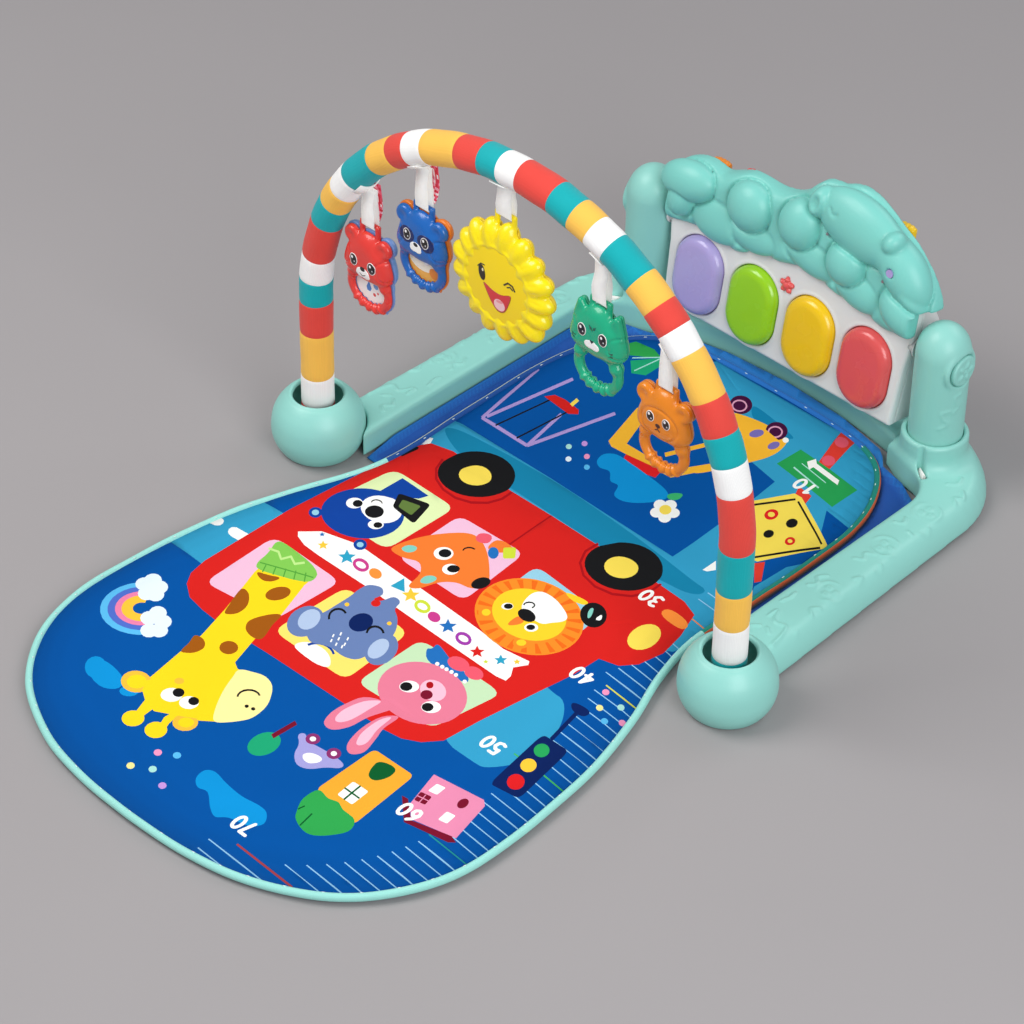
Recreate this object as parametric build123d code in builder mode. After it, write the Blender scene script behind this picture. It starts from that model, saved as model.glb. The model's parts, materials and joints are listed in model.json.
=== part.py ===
from build123d import *
import math
import os

# Activity play gym: a floor frame with a mat, a tilting toy piano and an arch of hanging toys.
# Origin: on the floor, midway between the two arch feet.
# +X to the right as the child sees the piano, +Y towards the piano, +Z up. Millimetres.

os.makedirs("parts", exist_ok=True)

# ---------------------------------------------------------------- driving dimensions
CLEAR = 0.4               # clearance per side between fitted parts
SIDES = (1, -1)           # right, left

# base frame
FRAME_Z0 = 1.5            # frame underside; rubber pads reach the floor
ARM_TOP = 24.0            # top of the side arms
FRAME_WALL = 2.8          # roof thickness of arms and rail
ARM_IN_X = 175.0          # inner side of each arm
ARM_OUT_X = 223.0         # outer side at the front
ARM_FRONT_Y = 13.0        # front end, before it is rounded to the arch socket
ARM_BACK_Y = 350.0
ARM_CAVITY_H = ARM_TOP - FRAME_WALL - FRAME_Z0
RIB_OVERLAP = 0.5         # ribs and bosses run this far into the arm's roof
SEAM_X = 118.0            # joint between an arm and the rear rail
RAIL_TOP = 25.0
RAIL_INSERT_H = RAIL_TOP - 2 - FRAME_Z0     # ribs and bosses inside the rail

# flat tongues that join socket and rail to the arms
TONGUE_Z = 10.0
TONGUE_H = 6.0
TONGUE_GAP_Z = 0.6        # gap above and below a tongue
SOCKET_TONGUE_W = 24.0
RAIL_TONGUE_W = 13.0
RAIL_TONGUE_Y = 338.5

# screws and rubber pads of the frame, (x, y) on the right side
ARM_SCREW = (200, 52)
RAIL_SCREW = (125, RAIL_TONGUE_Y)
POST_SCREW_DY = 12        # post screws, in front of and behind the post axis
SCREW_HOLE_R = 1.8
PILOT_R = 1.6
PAD_R = 6.0
PAD_RECESS_R = 6.2
PAD_RECESS_H = 2.4
PAD_H = 3.3

# arch
ARCH_X = 213.0            # half span of the arch, tube centre lines
ARCH_BEND_Z = 144.0       # the legs are straight up to here, then a half circle
TUBE_R = 10.0
TUBE_BORE_R = 8.0
TUBE_END_Z = 8.0
PEG_R = 7.9
SLEEVE_R = 13.0
SLEEVE_BORE_R = 10.5
SLEEVE_END_Z = 37.0
SOCKET_R = 37.0           # egg-shaped foot, widest radius
SOCKET_H = 52.0

# posts that carry the piano
POST_X = 149.0
POST_Y = 311.0
POST_R = 21.5
POST_TOP = 145.0
POST_SEAT_Z = 26.0
POST_FOOT_Z = POST_SEAT_Z + 0.2
POST_CAP_RECESS = 17.5    # from post axis to the floor of the cap recess
COLLAR_R = 26.5
COLLAR_TOP = 44.0
COLLAR_FLOOR_Z = 22.0

FOOT_PADS_ARM = [(199, 105), (196, 215), (176, 322)]
FOOT_PADS_RAIL = [(-50, 342), (50, 342)]
FOOT_PADS_SOCKET = [(ARCH_X + 20, -8), (ARCH_X - 10, -20)]

# strap through each arm's inner back corner
STRAP_XY = (160.5, 283.5)
STRAP_TURN = -30          # degrees about Z, right side

# piano; stations are measured forwards from the pivot plane, heights up the panel
PIVOT_Y = POST_Y
PIVOT_Z = 112.0
PIN_R = 4.0
PIN_IN_X = 108            # inner end of each pin
BUSH_BORE_R = 7.0
LEAN = 9.0                # piano leans back, degrees
PANEL_FACE = 8.0          # front face of the panel
PANEL_WALL = 2.5
CASE_BACK = -30.0         # rear face of the case
CASE_DEPTH = -CASE_BACK - 0.2

LEAN_SIN = math.sin(math.radians(LEAN))
LEAN_COS = math.cos(math.radians(LEAN))
PANEL_NORMAL = (0, -LEAN_COS, LEAN_SIN)
PANEL_UP = (0, LEAN_SIN, LEAN_COS)


# ---------------------------------------------------------------- working planes
def panel_point(forward, height):
    """(y, z) of a point given by its station in front of the pivot and its height up the panel."""
    return (PIVOT_Y + height * LEAN_SIN - forward * LEAN_COS,
            PIVOT_Z + height * LEAN_COS + forward * LEAN_SIN)


def panel_plane(forward):
    """Plane parallel to the piano panel: x right, y up the panel, facing the child."""
    return Plane(origin=(0, *panel_point(forward, 0)), x_dir=(1, 0, 0), z_dir=PANEL_NORMAL)


def up_plane(height):
    """Plane across the piano at a height up the panel: x right, y towards the rear."""
    return Plane(origin=(0, *panel_point(0, height)), x_dir=(1, 0, 0), z_dir=PANEL_UP)


def side_plane(x, towards=1):
    """Plane facing along X at station x, centred on the pivot axis."""
    return Plane(origin=(x, PIVOT_Y, PIVOT_Z), x_dir=(0, 1, 0), z_dir=(towards, 0, 0))


def right_plane(x, y, z):
    """Upright plane facing +X: x towards the rear, y up."""
    return Plane(origin=(x, y, z), x_dir=(0, 1, 0), z_dir=(1, 0, 0))


def front_plane(x, y, z):
    """Upright plane facing -Y: x right, y up."""
    return Plane(origin=(x, y, z), x_dir=(1, 0, 0), z_dir=(0, -1, 0))


def rear_plane(x, y, z):
    """Upright plane facing +Y: x left, y up."""
    return Plane(origin=(x, y, z), x_dir=(-1, 0, 0), z_dir=(0, 1, 0))


def mirrored(part):
    """The left-hand copy of a right-hand piece."""
    with BuildPart() as left:
        add(mirror(part, about=Plane.YZ))
    return left.part


def write(name, part):
    part.label = name
    export_step(part, "parts/" + name + ".step")


# ================================================================= base frame
# (x, y) round the hollow under the right arm
ARM_CAVITY = [
    (179, 48), (178.5, 250), (169, 277), (149, 289), (SEAM_X + 3, 297), (SEAM_X + 3, 346),
    (155, 346), (178, 338), (194, 316), (205, 290), (209.5, 264), (217, 48),
]
ARM_RIB_YS = (80, 130, 160, 190, 240)
RAIL_RIB_XS = (-80, -20, 20, 80)


def make_arm():
    with BuildPart() as arm:
        with BuildSketch(Plane.XY.offset(FRAME_Z0)):
            with BuildLine():
                Line((ARM_IN_X + 1, ARM_FRONT_Y), (ARM_IN_X, 250))
                ThreePointArc((ARM_IN_X, 250), (167, 272.5), (147, 285))
                Line((147, 285), (SEAM_X, 294))
                Line((SEAM_X, 294), (SEAM_X, ARM_BACK_Y))
                Line((SEAM_X, ARM_BACK_Y), (157, ARM_BACK_Y))
                ThreePointArc((157, ARM_BACK_Y), (197, 320), (214, 266))
                Line((214, 266), (ARM_OUT_X, ARM_FRONT_Y))
                Line((ARM_OUT_X, ARM_FRONT_Y), (ARM_IN_X + 1, ARM_FRONT_Y))
            make_face()
        extrude(amount=ARM_TOP - FRAME_Z0)
        # round the outer top edges
        top = arm.faces().sort_by(Axis.Z)[-1]
        fillet([e for e in top.edges() if e.center().X > 182 and e.center().Y > 20], radius=9)
        # hollow from below
        with BuildSketch(Plane.XY.offset(FRAME_Z0)):
            with BuildLine():
                Polyline(*ARM_CAVITY, close=True)
            make_face()
        extrude(amount=ARM_CAVITY_H, mode=Mode.SUBTRACT)
        # collar that holds the post: body, recess below, seat above
        for z, radius, height, mode in (
            (FRAME_Z0, COLLAR_R, COLLAR_TOP - FRAME_Z0, Mode.ADD),
            (FRAME_Z0, COLLAR_R - 4, COLLAR_FLOOR_Z - FRAME_Z0, Mode.SUBTRACT),
            (POST_SEAT_Z, POST_R + CLEAR, 30, Mode.SUBTRACT),
        ):
            with BuildSketch(Plane.XY.offset(z)):
                with Locations((POST_X, POST_Y)):
                    Circle(radius)
            extrude(amount=height, mode=mode)
        # cross ribs
        with BuildSketch(Plane.XY.offset(FRAME_Z0)):
            for y in ARM_RIB_YS:
                with Locations((194.5, y)):
                    Rectangle(34, 2)
        extrude(amount=ARM_CAVITY_H + RIB_OVERLAP)
        # bosses for the rubber pads
        for radius, height, mode in (
            (8.5, ARM_CAVITY_H + RIB_OVERLAP, Mode.ADD),
            (PAD_RECESS_R, PAD_RECESS_H, Mode.SUBTRACT),
        ):
            with BuildSketch(Plane.XY.offset(FRAME_Z0)):
                with Locations(*FOOT_PADS_ARM):
                    Circle(radius)
            extrude(amount=height, mode=mode)
        # bridges under the socket tongue and the rail tongue
        with BuildSketch(Plane.XY.offset(FRAME_Z0)):
            with Locations(ARM_SCREW):
                Rectangle(40, 14)
            with Locations(RAIL_SCREW):
                Rectangle(14, 15)
        extrude(amount=3.0)
        # screw boss on each bridge: boss, head recess, hole
        for radius, height, mode in (
            (5.5, 9.0 - FRAME_Z0, Mode.ADD),
            (3.4, 2.4, Mode.SUBTRACT),
            (SCREW_HOLE_R, 10, Mode.SUBTRACT),
        ):
            with BuildSketch(Plane.XY.offset(FRAME_Z0)):
                with Locations(ARM_SCREW, RAIL_SCREW):
                    Circle(radius)
            extrude(amount=height, mode=mode)
        # screw holes for the post, through the collar floor
        with BuildSketch(Plane.XY.offset(20)):
            with Locations((POST_X, POST_Y - POST_SCREW_DY), (POST_X, POST_Y + POST_SCREW_DY)):
                Circle(SCREW_HOLE_R)
        extrude(amount=10, mode=Mode.SUBTRACT)
        # curved front end round the arch socket
        with BuildSketch(Plane.XY):
            with Locations((ARCH_X, 0)):
                Circle(SOCKET_R + 2 * CLEAR)
        extrude(amount=40, mode=Mode.SUBTRACT)
        # openings for the socket tongue and, in the seam wall, the rail tongue
        for x, y, length_x, length_y in (
            (ARM_SCREW[0], 44, SOCKET_TONGUE_W + 2 * CLEAR, 40),
            (SEAM_X + 2, RAIL_TONGUE_Y, 12, RAIL_TONGUE_W + 2 * CLEAR),
        ):
            with BuildSketch(Plane.XY.offset(TONGUE_Z - TONGUE_GAP_Z)):
                with Locations((x, y)):
                    Rectangle(length_x, length_y)
            extrude(amount=TONGUE_H + 2 * TONGUE_GAP_Z, mode=Mode.SUBTRACT)
        # strap slot
        with BuildSketch(Plane.XY):
            with Locations(Location((*STRAP_XY, 0), (0, 0, STRAP_TURN))):
                SlotOverall(14, 4.6)
        extrude(amount=40, mode=Mode.SUBTRACT)
    return arm.part


def draw_rail_loop(half_x, front_end_y, front_mid_y, back_end_y, back_mid_y):
    """Draw two straight ends and two bowed sides in the active line builder."""
    Line((-half_x, front_end_y), (-half_x, back_end_y))
    ThreePointArc((-half_x, back_end_y), (0, back_mid_y), (half_x, back_end_y))
    Line((half_x, back_end_y), (half_x, front_end_y))
    ThreePointArc((half_x, front_end_y), (0, front_mid_y), (-half_x, front_end_y))


def make_rear_rail():
    with BuildPart() as rail:
        with BuildSketch(Plane.XY.offset(FRAME_Z0)):
            with BuildLine():
                draw_rail_loop(SEAM_X - 0.3, 304, 331, ARM_BACK_Y, 362)
            make_face()
        extrude(amount=RAIL_TOP - FRAME_Z0)
        # round the long top edges
        top = rail.faces().sort_by(Axis.Z)[-1]
        fillet([e for e in top.edges() if abs(e.center().X) < 50], radius=4)
        # hollow from below
        with BuildSketch(Plane.XY.offset(FRAME_Z0)):
            with BuildLine():
                draw_rail_loop(SEAM_X - 3, 309, 334.5, ARM_BACK_Y - 3, 358.5)
            make_face()
        extrude(amount=RAIL_TOP - FRAME_WALL - FRAME_Z0, mode=Mode.SUBTRACT)
        # cross ribs, slightly shorter towards the ends
        with BuildSketch(Plane.XY.offset(FRAME_Z0)):
            for x in RAIL_RIB_XS:
                with Locations((x, 340)):
                    Rectangle(2, 24 - abs(x) * 0.02)
        extrude(amount=RAIL_INSERT_H)
        # bosses for the rubber pads
        for radius, height, mode in (
            (8.2, RAIL_INSERT_H, Mode.ADD),
            (PAD_RECESS_R, PAD_RECESS_H, Mode.SUBTRACT),
        ):
            with BuildSketch(Plane.XY.offset(FRAME_Z0)):
                with Locations(*FOOT_PADS_RAIL):
                    Circle(radius)
            extrude(amount=height, mode=mode)
        # tongues into the arms, each with a screw hole
        with BuildSketch(Plane.XY.offset(TONGUE_Z)):
            with Locations((-122, RAIL_TONGUE_Y), (122, RAIL_TONGUE_Y)):
                Rectangle(18, RAIL_TONGUE_W)
        extrude(amount=TONGUE_H)
        with BuildSketch(Plane.XY.offset(TONGUE_Z - 1)):
            with Locations((-RAIL_SCREW[0], RAIL_SCREW[1]), RAIL_SCREW):
                Circle(PILOT_R)
        extrude(amount=TONGUE_H + 2, mode=Mode.SUBTRACT)
    return rail.part


def make_arch_socket():
    """Egg-shaped foot: hollow, with an inner peg that the arch tube slides over."""
    lip_z = SOCKET_H - 1.5
    lip_inner_z = SOCKET_H - 2.5
    with BuildPart() as socket:
        # half profile: x is the radius, y the height
        with BuildSketch(front_plane(ARCH_X, 0, 0)):
            with BuildLine():
                Line((0, FRAME_Z0), (33.0, FRAME_Z0))
                Spline((33.0, FRAME_Z0), (SOCKET_R, 15), (35.0, 31), (28.5, 44), (23.0, lip_z))
                ThreePointArc((23.0, lip_z), (20.8, SOCKET_H), (19.6, lip_inner_z))
                Spline((19.6, lip_inner_z), (25.8, 42), (32.0, 30), (34.0, 15), (32.5, 4.5))
                Polyline((32.5, 4.5), (PEG_R, 4.5), (PEG_R, 44), (6.4, 47), (0, 47), (0, FRAME_Z0))
            make_face()
        revolve(axis=Axis((ARCH_X, 0, 0), (0, 0, 1)))
        # tongue into the arm, with its screw hole
        with BuildSketch(Plane.XY.offset(TONGUE_Z)):
            with Locations((ARM_SCREW[0], 46)):
                Rectangle(SOCKET_TONGUE_W, 28)
        extrude(amount=TONGUE_H)
        with BuildSketch(Plane.XY.offset(TONGUE_Z - 1)):
            with Locations(ARM_SCREW):
                Circle(PILOT_R)
        extrude(amount=TONGUE_H + 2, mode=Mode.SUBTRACT)
        # recesses for the rubber pads
        with BuildSketch(Plane.XY.offset(FRAME_Z0)):
            with Locations(*FOOT_PADS_SOCKET):
                Circle(PAD_RECESS_R)
        extrude(amount=2.0, mode=Mode.SUBTRACT)
    return socket.part


def make_post():
    shoulder = (POST_R - 0.3, POST_TOP - 22)
    with BuildPart() as post:
        # half profile: x is the radius, y the height
        with BuildSketch(front_plane(POST_X, POST_Y, 0)):
            with BuildLine():
                Line((0, POST_FOOT_Z), (POST_R - 0.6, POST_FOOT_Z))
                Line((POST_R - 0.6, POST_FOOT_Z), (POST_R, 60))
                Line((POST_R, 60), shoulder)
                Spline(shoulder, (17.5, POST_TOP - 8.5), (9.5, POST_TOP - 1.8), (0, POST_TOP),
                       tangents=((0, 1), (-1, 0)))
                Line((0, POST_TOP), (0, POST_FOOT_Z))
            make_face()
        revolve(axis=Axis((POST_X, POST_Y, 0), (0, 0, 1)))
        # hollow core, split by the pivot boss
        for z, radius, height in ((30, 18, 66), (122, 14, 12)):
            with BuildSketch(Plane.XY.offset(z)):
                with Locations((POST_X, POST_Y)):
                    Circle(radius)
            extrude(amount=height, mode=Mode.SUBTRACT)
        # pivot bore and cap recess
        for x, radius, depth in ((POST_X - 30, PIN_R, 52), (POST_X + POST_CAP_RECESS, 13.4, 10)):
            with BuildSketch(side_plane(x)):
                Circle(radius)
            extrude(amount=depth, mode=Mode.SUBTRACT)
        # screw holes from below
        with BuildSketch(Plane.XY.offset(25)):
            with Locations((POST_X, POST_Y - POST_SCREW_DY), (POST_X, POST_Y + POST_SCREW_DY)):
                Circle(PILOT_R)
        extrude(amount=8, mode=Mode.SUBTRACT)
    return post.part


def make_pivot_pins():
    with BuildPart() as pins:
        for side in SIDES:
            with BuildSketch(side_plane(side * PIN_IN_X, side)):
                Circle(PIN_R)
            extrude(amount=POST_X + 15 - PIN_IN_X)
    return pins.part


def make_pivot_caps():
    cap_x = POST_X + POST_CAP_RECESS + 0.1
    cap_h = 6.0
    with BuildPart() as caps:
        for side in SIDES:
            with BuildSketch(side_plane(side * cap_x, side)):
                Circle(13.0)
            extrude(amount=cap_h)
        outer_faces = caps.faces().filter_by(
            lambda face: abs(abs(face.center().X) - (cap_x + cap_h)) < 0.01)
        fillet(outer_faces.edges(), radius=1.5)
    return caps.part


# x, y, underside of the head, head height, shank length; right side
FRAME_SCREWS = [
    (*ARM_SCREW, FRAME_Z0 + 0.6, 1.7, 12.0),
    (*RAIL_SCREW, FRAME_Z0 + 0.6, 1.7, 12.0),
    (POST_X, POST_Y - POST_SCREW_DY, 20.0, 1.9, 8.0),
    (POST_X, POST_Y + POST_SCREW_DY, 20.0, 1.9, 8.0),
]


def make_frame_screws():
    with BuildPart() as screws:
        for side in SIDES:
            for x, y, head_z, head_h, shank_length in FRAME_SCREWS:
                for z, radius, height in (
                    (head_z, 3.0, head_h),
                    (head_z + head_h, 1.5, shank_length),
                ):
                    with BuildSketch(Plane.XY.offset(z)):
                        with Locations((side * x, y)):
                            Circle(radius)
                    extrude(amount=height)
    return screws.part


def make_anti_slip_feet():
    right_pads = FOOT_PADS_ARM + FOOT_PADS_RAIL[1:] + FOOT_PADS_SOCKET
    with BuildPart() as feet:
        with BuildSketch(Plane.XY):
            for side in SIDES:
                with Locations(*[(side * x, y) for x, y in right_pads]):
                    Circle(PAD_R)
        extrude(amount=PAD_H)
    return feet.part


# ================================================================= mat
MAT_T = 10.0
BINDING_Z = 0.5
BINDING_H = 6.5

# (x, y) down the right half of the mat's edge, front to rear
MAT_HALF = [
    (62, -387), (107, -376), (156, -350), (191, -309), (208, -260), (209, -200),
    (201, -124), (186, -66), (168, -16), (159, 28), (160, 90), (161, 165),
    (158, 212), (147, 249), (125, 281), (97, 297), (60, 303),
]
MAT_POINTS = [(0, -391)] + MAT_HALF + [(0, 304)] + [(-x, y) for x, y in reversed(MAT_HALF)]

# (x, y) round the right half of the skirt's outer edge, front to rear
SKIRT_HALF = [
    (173.4, 14), (173.4, 246), (165, 268), (146, 279), (122, 285),
    (114, 294), (106, 301), (60, 319), (0, 328),
]


def mat_loop(inset):
    """The mat's outline, moved inwards by inset, as spline points."""
    count = len(MAT_POINTS)
    points = []
    for i, (x, y) in enumerate(MAT_POINTS):
        before = MAT_POINTS[i - 1]
        after = MAT_POINTS[(i + 1) % count]
        along_x = after[0] - before[0]
        along_y = after[1] - before[1]
        length = math.hypot(along_x, along_y)
        points.append((x - inset * along_y / length, y + inset * along_x / length))
    return points


def make_mat_pad():
    with BuildPart() as pad:
        with BuildSketch(Plane.XY):
            with BuildLine():
                Spline(*mat_loop(3.6), periodic=True)
            make_face()
        extrude(amount=MAT_T)
    return pad.part


def make_mat_binding():
    with BuildPart() as binding:
        for inset, mode in ((0.0, Mode.ADD), (3.2, Mode.SUBTRACT)):
            with BuildSketch(Plane.XY.offset(BINDING_Z)):
                with BuildLine():
                    Spline(*mat_loop(inset), periodic=True)
                make_face()
            extrude(amount=BINDING_H, mode=mode)
    return binding.part


def make_mat_skirt():
    """Thin sheet between the rear of the mat and the frame."""
    left_half = [(-x, y) for x, y in reversed(SKIRT_HALF[:-1])]
    with BuildPart() as skirt:
        with BuildSketch(Plane.XY.offset(0.3)):
            with BuildLine():
                Polyline(*SKIRT_HALF, *left_half, close=True)
            make_face()
        extrude(amount=1.6)
        with BuildSketch(Plane.XY):
            with BuildLine():
                Spline(*mat_loop(-0.5), periodic=True)
            make_face()
        extrude(amount=5, mode=Mode.SUBTRACT)
    return skirt.part


def make_mat_corner_straps():
    with BuildPart() as straps:
        for side in SIDES:
            place = Location((side * STRAP_XY[0], STRAP_XY[1], 0), (0, 0, side * STRAP_TURN))
            with BuildSketch(Plane.XY.offset(FRAME_Z0 + 0.5)):
                with Locations(place):
                    Rectangle(10, 1.6)
            extrude(amount=ARM_TOP - FRAME_Z0 + 1.2)
    return straps.part


# ================================================================= piano
# (x, height) round the panel and the case, outside and inside their walls
OUTLINE = [
    (-118, -74), (118, -74), (121, -20), (125, 8), (125, 42), (100, 76), (62, 90),
    (24, 84), (0, 70), (-30, 61), (-90, 55), (-125, 38), (-125, 8), (-121, -20),
]
INNER = [
    (-115.5, -71.5), (115.5, -71.5), (118.4, -20), (122.4, 8), (122.4, 41), (98.5, 73.6),
    (62, 87.3), (25, 81.4), (0.6, 67.4), (-30, 58.4), (-89.5, 52.4), (-122.4, 36.5),
    (-122.4, 8), (-118.4, -20),
]
OUTLINE_CORNER_R = 7

# (x, height) of features on the panel
LOW_SCREWS = [(-57.5, -56), (57.5, -56)]      # these pass the membrane and the board
PANEL_SCREWS = LOW_SCREWS + [(-108, 26), (108, 30), (4, 54)]
COVER_SCREWS = [(-96, 34), (34, 60), (92, 46)]
FLOWER = (0, -4)
LAMP = (104, 62)
SPEAKER = (-62, 22)
BATTERY = (0, -36)

CORE_R = 1.3              # cores that the piano screws bite into
LAMP_HOLE_R = 3.4

# keys
KEYS = {"key_purple": -86.0, "key_green": -29.0, "key_yellow": 29.0, "key_red": 86.0}   # x
KEY_H = -36.0
KEY_W = 48.0
KEY_L = 68.0
BUTTON_BASE = 5.0         # rear of the key and flower bodies
FLANGE_BASE = 3.8
FLANGE_T = 1.5

# flower button
FLOWER_CENTRE_R = 4
PETAL_R = 2.8
PETAL_RING_R = 4.2
PETALS = 5

# function buttons in the top wall: x, height of the wall there, height of the button's top
FUNCTION_BUTTONS = {
    "orange": (-98, 55.0, 63.5),
    "red": (-64, 59.5, 66.5),
    "coral": (40, 86.0, 99.0),
    "yellow": (84, 81.5, 92.0),
}
FUNCTION_W = 18.2
FUNCTION_T = 8.2
FUNCTION_BACK = 14        # centre of the buttons, behind the pivot plane
FUNCTION_DEPTH = 14       # body below the wall

# batteries
CELL_HEIGHTS = (-52, -36, -20)
CELL_STATION = -20
TUB_W, TUB_H = 64, 56
TUB_WALL = 2


def make_front_panel():
    with BuildPart() as panel:
        with BuildSketch(panel_plane(0)):
            with BuildLine():
                Polyline(*OUTLINE, close=True)
            make_face()
            fillet(vertices(), radius=OUTLINE_CORNER_R)
        extrude(amount=PANEL_FACE)
        with BuildSketch(panel_plane(0)):
            with BuildLine():
                Polyline(*INNER, close=True)
            make_face()
        extrude(amount=PANEL_FACE - PANEL_WALL, mode=Mode.SUBTRACT)
        # screw bosses behind the face
        for radius, depth, mode in (
            (3.0, PANEL_FACE - 1, Mode.ADD),
            (CORE_R, PANEL_FACE - 2, Mode.SUBTRACT),
        ):
            with BuildSketch(panel_plane(0)):
                with Locations(*PANEL_SCREWS):
                    Circle(radius)
            extrude(amount=depth, mode=mode)
        # key and flower openings
        with BuildSketch(panel_plane(0)):
            with Locations(*[(x, KEY_H) for x in KEYS.values()]):
                SlotOverall(KEY_L + 2 * CLEAR, KEY_W + 2 * CLEAR, rotation=90)
            with Locations(FLOWER):
                Circle(FLOWER_CENTRE_R + CLEAR)
                with PolarLocations(PETAL_RING_R, PETALS, start_angle=90):
                    Circle(PETAL_R + CLEAR)
        extrude(amount=PANEL_FACE + 1, mode=Mode.SUBTRACT)
        # holes for the cover screws and the lamp
        for points, radius in ((COVER_SCREWS, SCREW_HOLE_R), ([LAMP], LAMP_HOLE_R)):
            with BuildSketch(panel_plane(0)):
                with Locations(*points):
                    Circle(radius)
            extrude(amount=PANEL_FACE + 1, mode=Mode.SUBTRACT)
        # bush bores in the side walls
        for side in SIDES:
            with BuildSketch(side_plane(side * 100, side)):
                Circle(BUSH_BORE_R)
            extrude(amount=40, mode=Mode.SUBTRACT)
    return panel.part


def make_rear_case():
    with BuildPart() as case:
        with BuildSketch(panel_plane(CASE_BACK)):
            with BuildLine():
                Polyline(*OUTLINE, close=True)
            make_face()
            fillet(vertices(), radius=OUTLINE_CORNER_R)
        extrude(amount=CASE_DEPTH)
        with BuildSketch(panel_plane(CASE_BACK + PANEL_WALL)):
            with BuildLine():
                Polyline(*INNER, close=True)
            make_face()
        extrude(amount=-CASE_BACK, mode=Mode.SUBTRACT)
        # screw columns: column, bore for the head, hole for the shank
        for radius, depth, mode in (
            (3.6, CASE_DEPTH, Mode.ADD),
            (2.8, 20, Mode.SUBTRACT),
            (1.6, 35, Mode.SUBTRACT),
        ):
            with BuildSketch(panel_plane(CASE_BACK)):
                with Locations(*PANEL_SCREWS):
                    Circle(radius)
            extrude(amount=depth, mode=mode)
        # battery tub, open to the rear
        for wall, depth, mode in ((0, 22, Mode.ADD), (TUB_WALL, 20, Mode.SUBTRACT)):
            with BuildSketch(panel_plane(CASE_BACK)):
                with Locations(BATTERY):
                    Rectangle(TUB_W - 2 * wall, TUB_H - 2 * wall)
            extrude(amount=depth, mode=mode)
        # speaker grille and speaker ring
        with BuildSketch(panel_plane(CASE_BACK)):
            with Locations(SPEAKER):
                Circle(1.6)
                with PolarLocations(6, 6):
                    Circle(1.6)
                with PolarLocations(12, 12):
                    Circle(1.6)
        extrude(amount=PANEL_WALL, mode=Mode.SUBTRACT)
        with BuildSketch(panel_plane(CASE_BACK + PANEL_WALL - 0.5)):
            with Locations(SPEAKER):
                Circle(23)
                Circle(20.5, mode=Mode.SUBTRACT)
        extrude(amount=6)
        # power switch slot
        with BuildSketch(panel_plane(CASE_BACK)):
            with Locations((62, 20)):
                Rectangle(14, 6)
        extrude(amount=PANEL_WALL, mode=Mode.SUBTRACT)
        # bush bores
        for side in SIDES:
            with BuildSketch(side_plane(side * 100, side)):
                Circle(BUSH_BORE_R)
            extrude(amount=40, mode=Mode.SUBTRACT)
        # openings for the function buttons in the top wall
        for x, _, _ in FUNCTION_BUTTONS.values():
            with BuildSketch(up_plane(40)):
                with Locations((x, FUNCTION_BACK)):
                    SlotOverall(FUNCTION_W + 2 * CLEAR, FUNCTION_T + 2 * CLEAR)
            extrude(amount=60, mode=Mode.SUBTRACT)
    return case.part


# lobes of the puffy cover, a cloud with an animal's head and shoulders at the right:
# x, height, radius
LOBES = [
    (-100, 30, 31), (-62, 32, 33), (-30, 36, 31), (10, 48, 33),
    (48, 62, 39), (54, 41, 32), (86, 45, 37), (103, 40, 30),
]
COVER_BASE = PANEL_FACE + 0.1
COVER_DEPTH = 18
COVER_WALL = 3
COVER_RIM = -4            # rear edge of the rim that overhangs the panel


def lobes_sketch(inset):
    with BuildSketch() as lobes:
        for x, height, radius in LOBES:
            with Locations((x, height)):
                Circle(radius - inset)
    return lobes.sketch


def grown_panel_sketch():
    """Panel outline with room for the cover's rim at the sides and the top."""
    points = [(x * 1.004, height + (0.5 if height > 10 else 0)) for x, height in OUTLINE]
    with BuildSketch() as grown:
        with BuildLine():
            Polyline(*points, close=True)
        make_face()
    return grown.sketch


def make_cloud_cover():
    outer = lobes_sketch(0)
    inner = lobes_sketch(COVER_WALL)
    panel_grown = grown_panel_sketch()
    with BuildPart() as cover:
        with BuildSketch(panel_plane(COVER_BASE)):
            add(outer)
        extrude(amount=COVER_DEPTH)
        with BuildSketch(panel_plane(COVER_RIM)):
            add(outer)
            add(panel_grown, mode=Mode.SUBTRACT)
        extrude(amount=COVER_BASE - COVER_RIM)
        with BuildSketch(panel_plane(COVER_BASE)):
            add(inner)
        extrude(amount=COVER_DEPTH - COVER_WALL, mode=Mode.SUBTRACT)
        # bosses for the cover screws, then the lamp hole
        for points, radius, depth, mode in (
            (COVER_SCREWS, 4, 16, Mode.ADD),
            (COVER_SCREWS, CORE_R, 10, Mode.SUBTRACT),
            ([LAMP], LAMP_HOLE_R, 30, Mode.SUBTRACT),
        ):
            with BuildSketch(panel_plane(COVER_BASE)):
                with Locations(*points):
                    Circle(radius)
            extrude(amount=depth, mode=mode)
        # room for the posts as the piano tilts
        for side in SIDES:
            with BuildSketch(side_plane(side * 126.4, side)):
                Circle(37)
            extrude(amount=20, mode=Mode.SUBTRACT)
        # room for the function buttons
        for x, _, _ in FUNCTION_BUTTONS.values():
            with BuildSketch(up_plane(40)):
                with Locations((x, FUNCTION_BACK)):
                    SlotOverall(FUNCTION_W + 2 * CLEAR, FUNCTION_T + 2 * CLEAR)
            extrude(amount=80, mode=Mode.SUBTRACT)
    return cover.part


def make_lamp_lens():
    with BuildPart() as lens:
        with BuildSketch(panel_plane(2.0)):
            with Locations(LAMP):
                Circle(LAMP_HOLE_R - 0.2)
        extrude(amount=25.5)
    return lens.part


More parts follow.
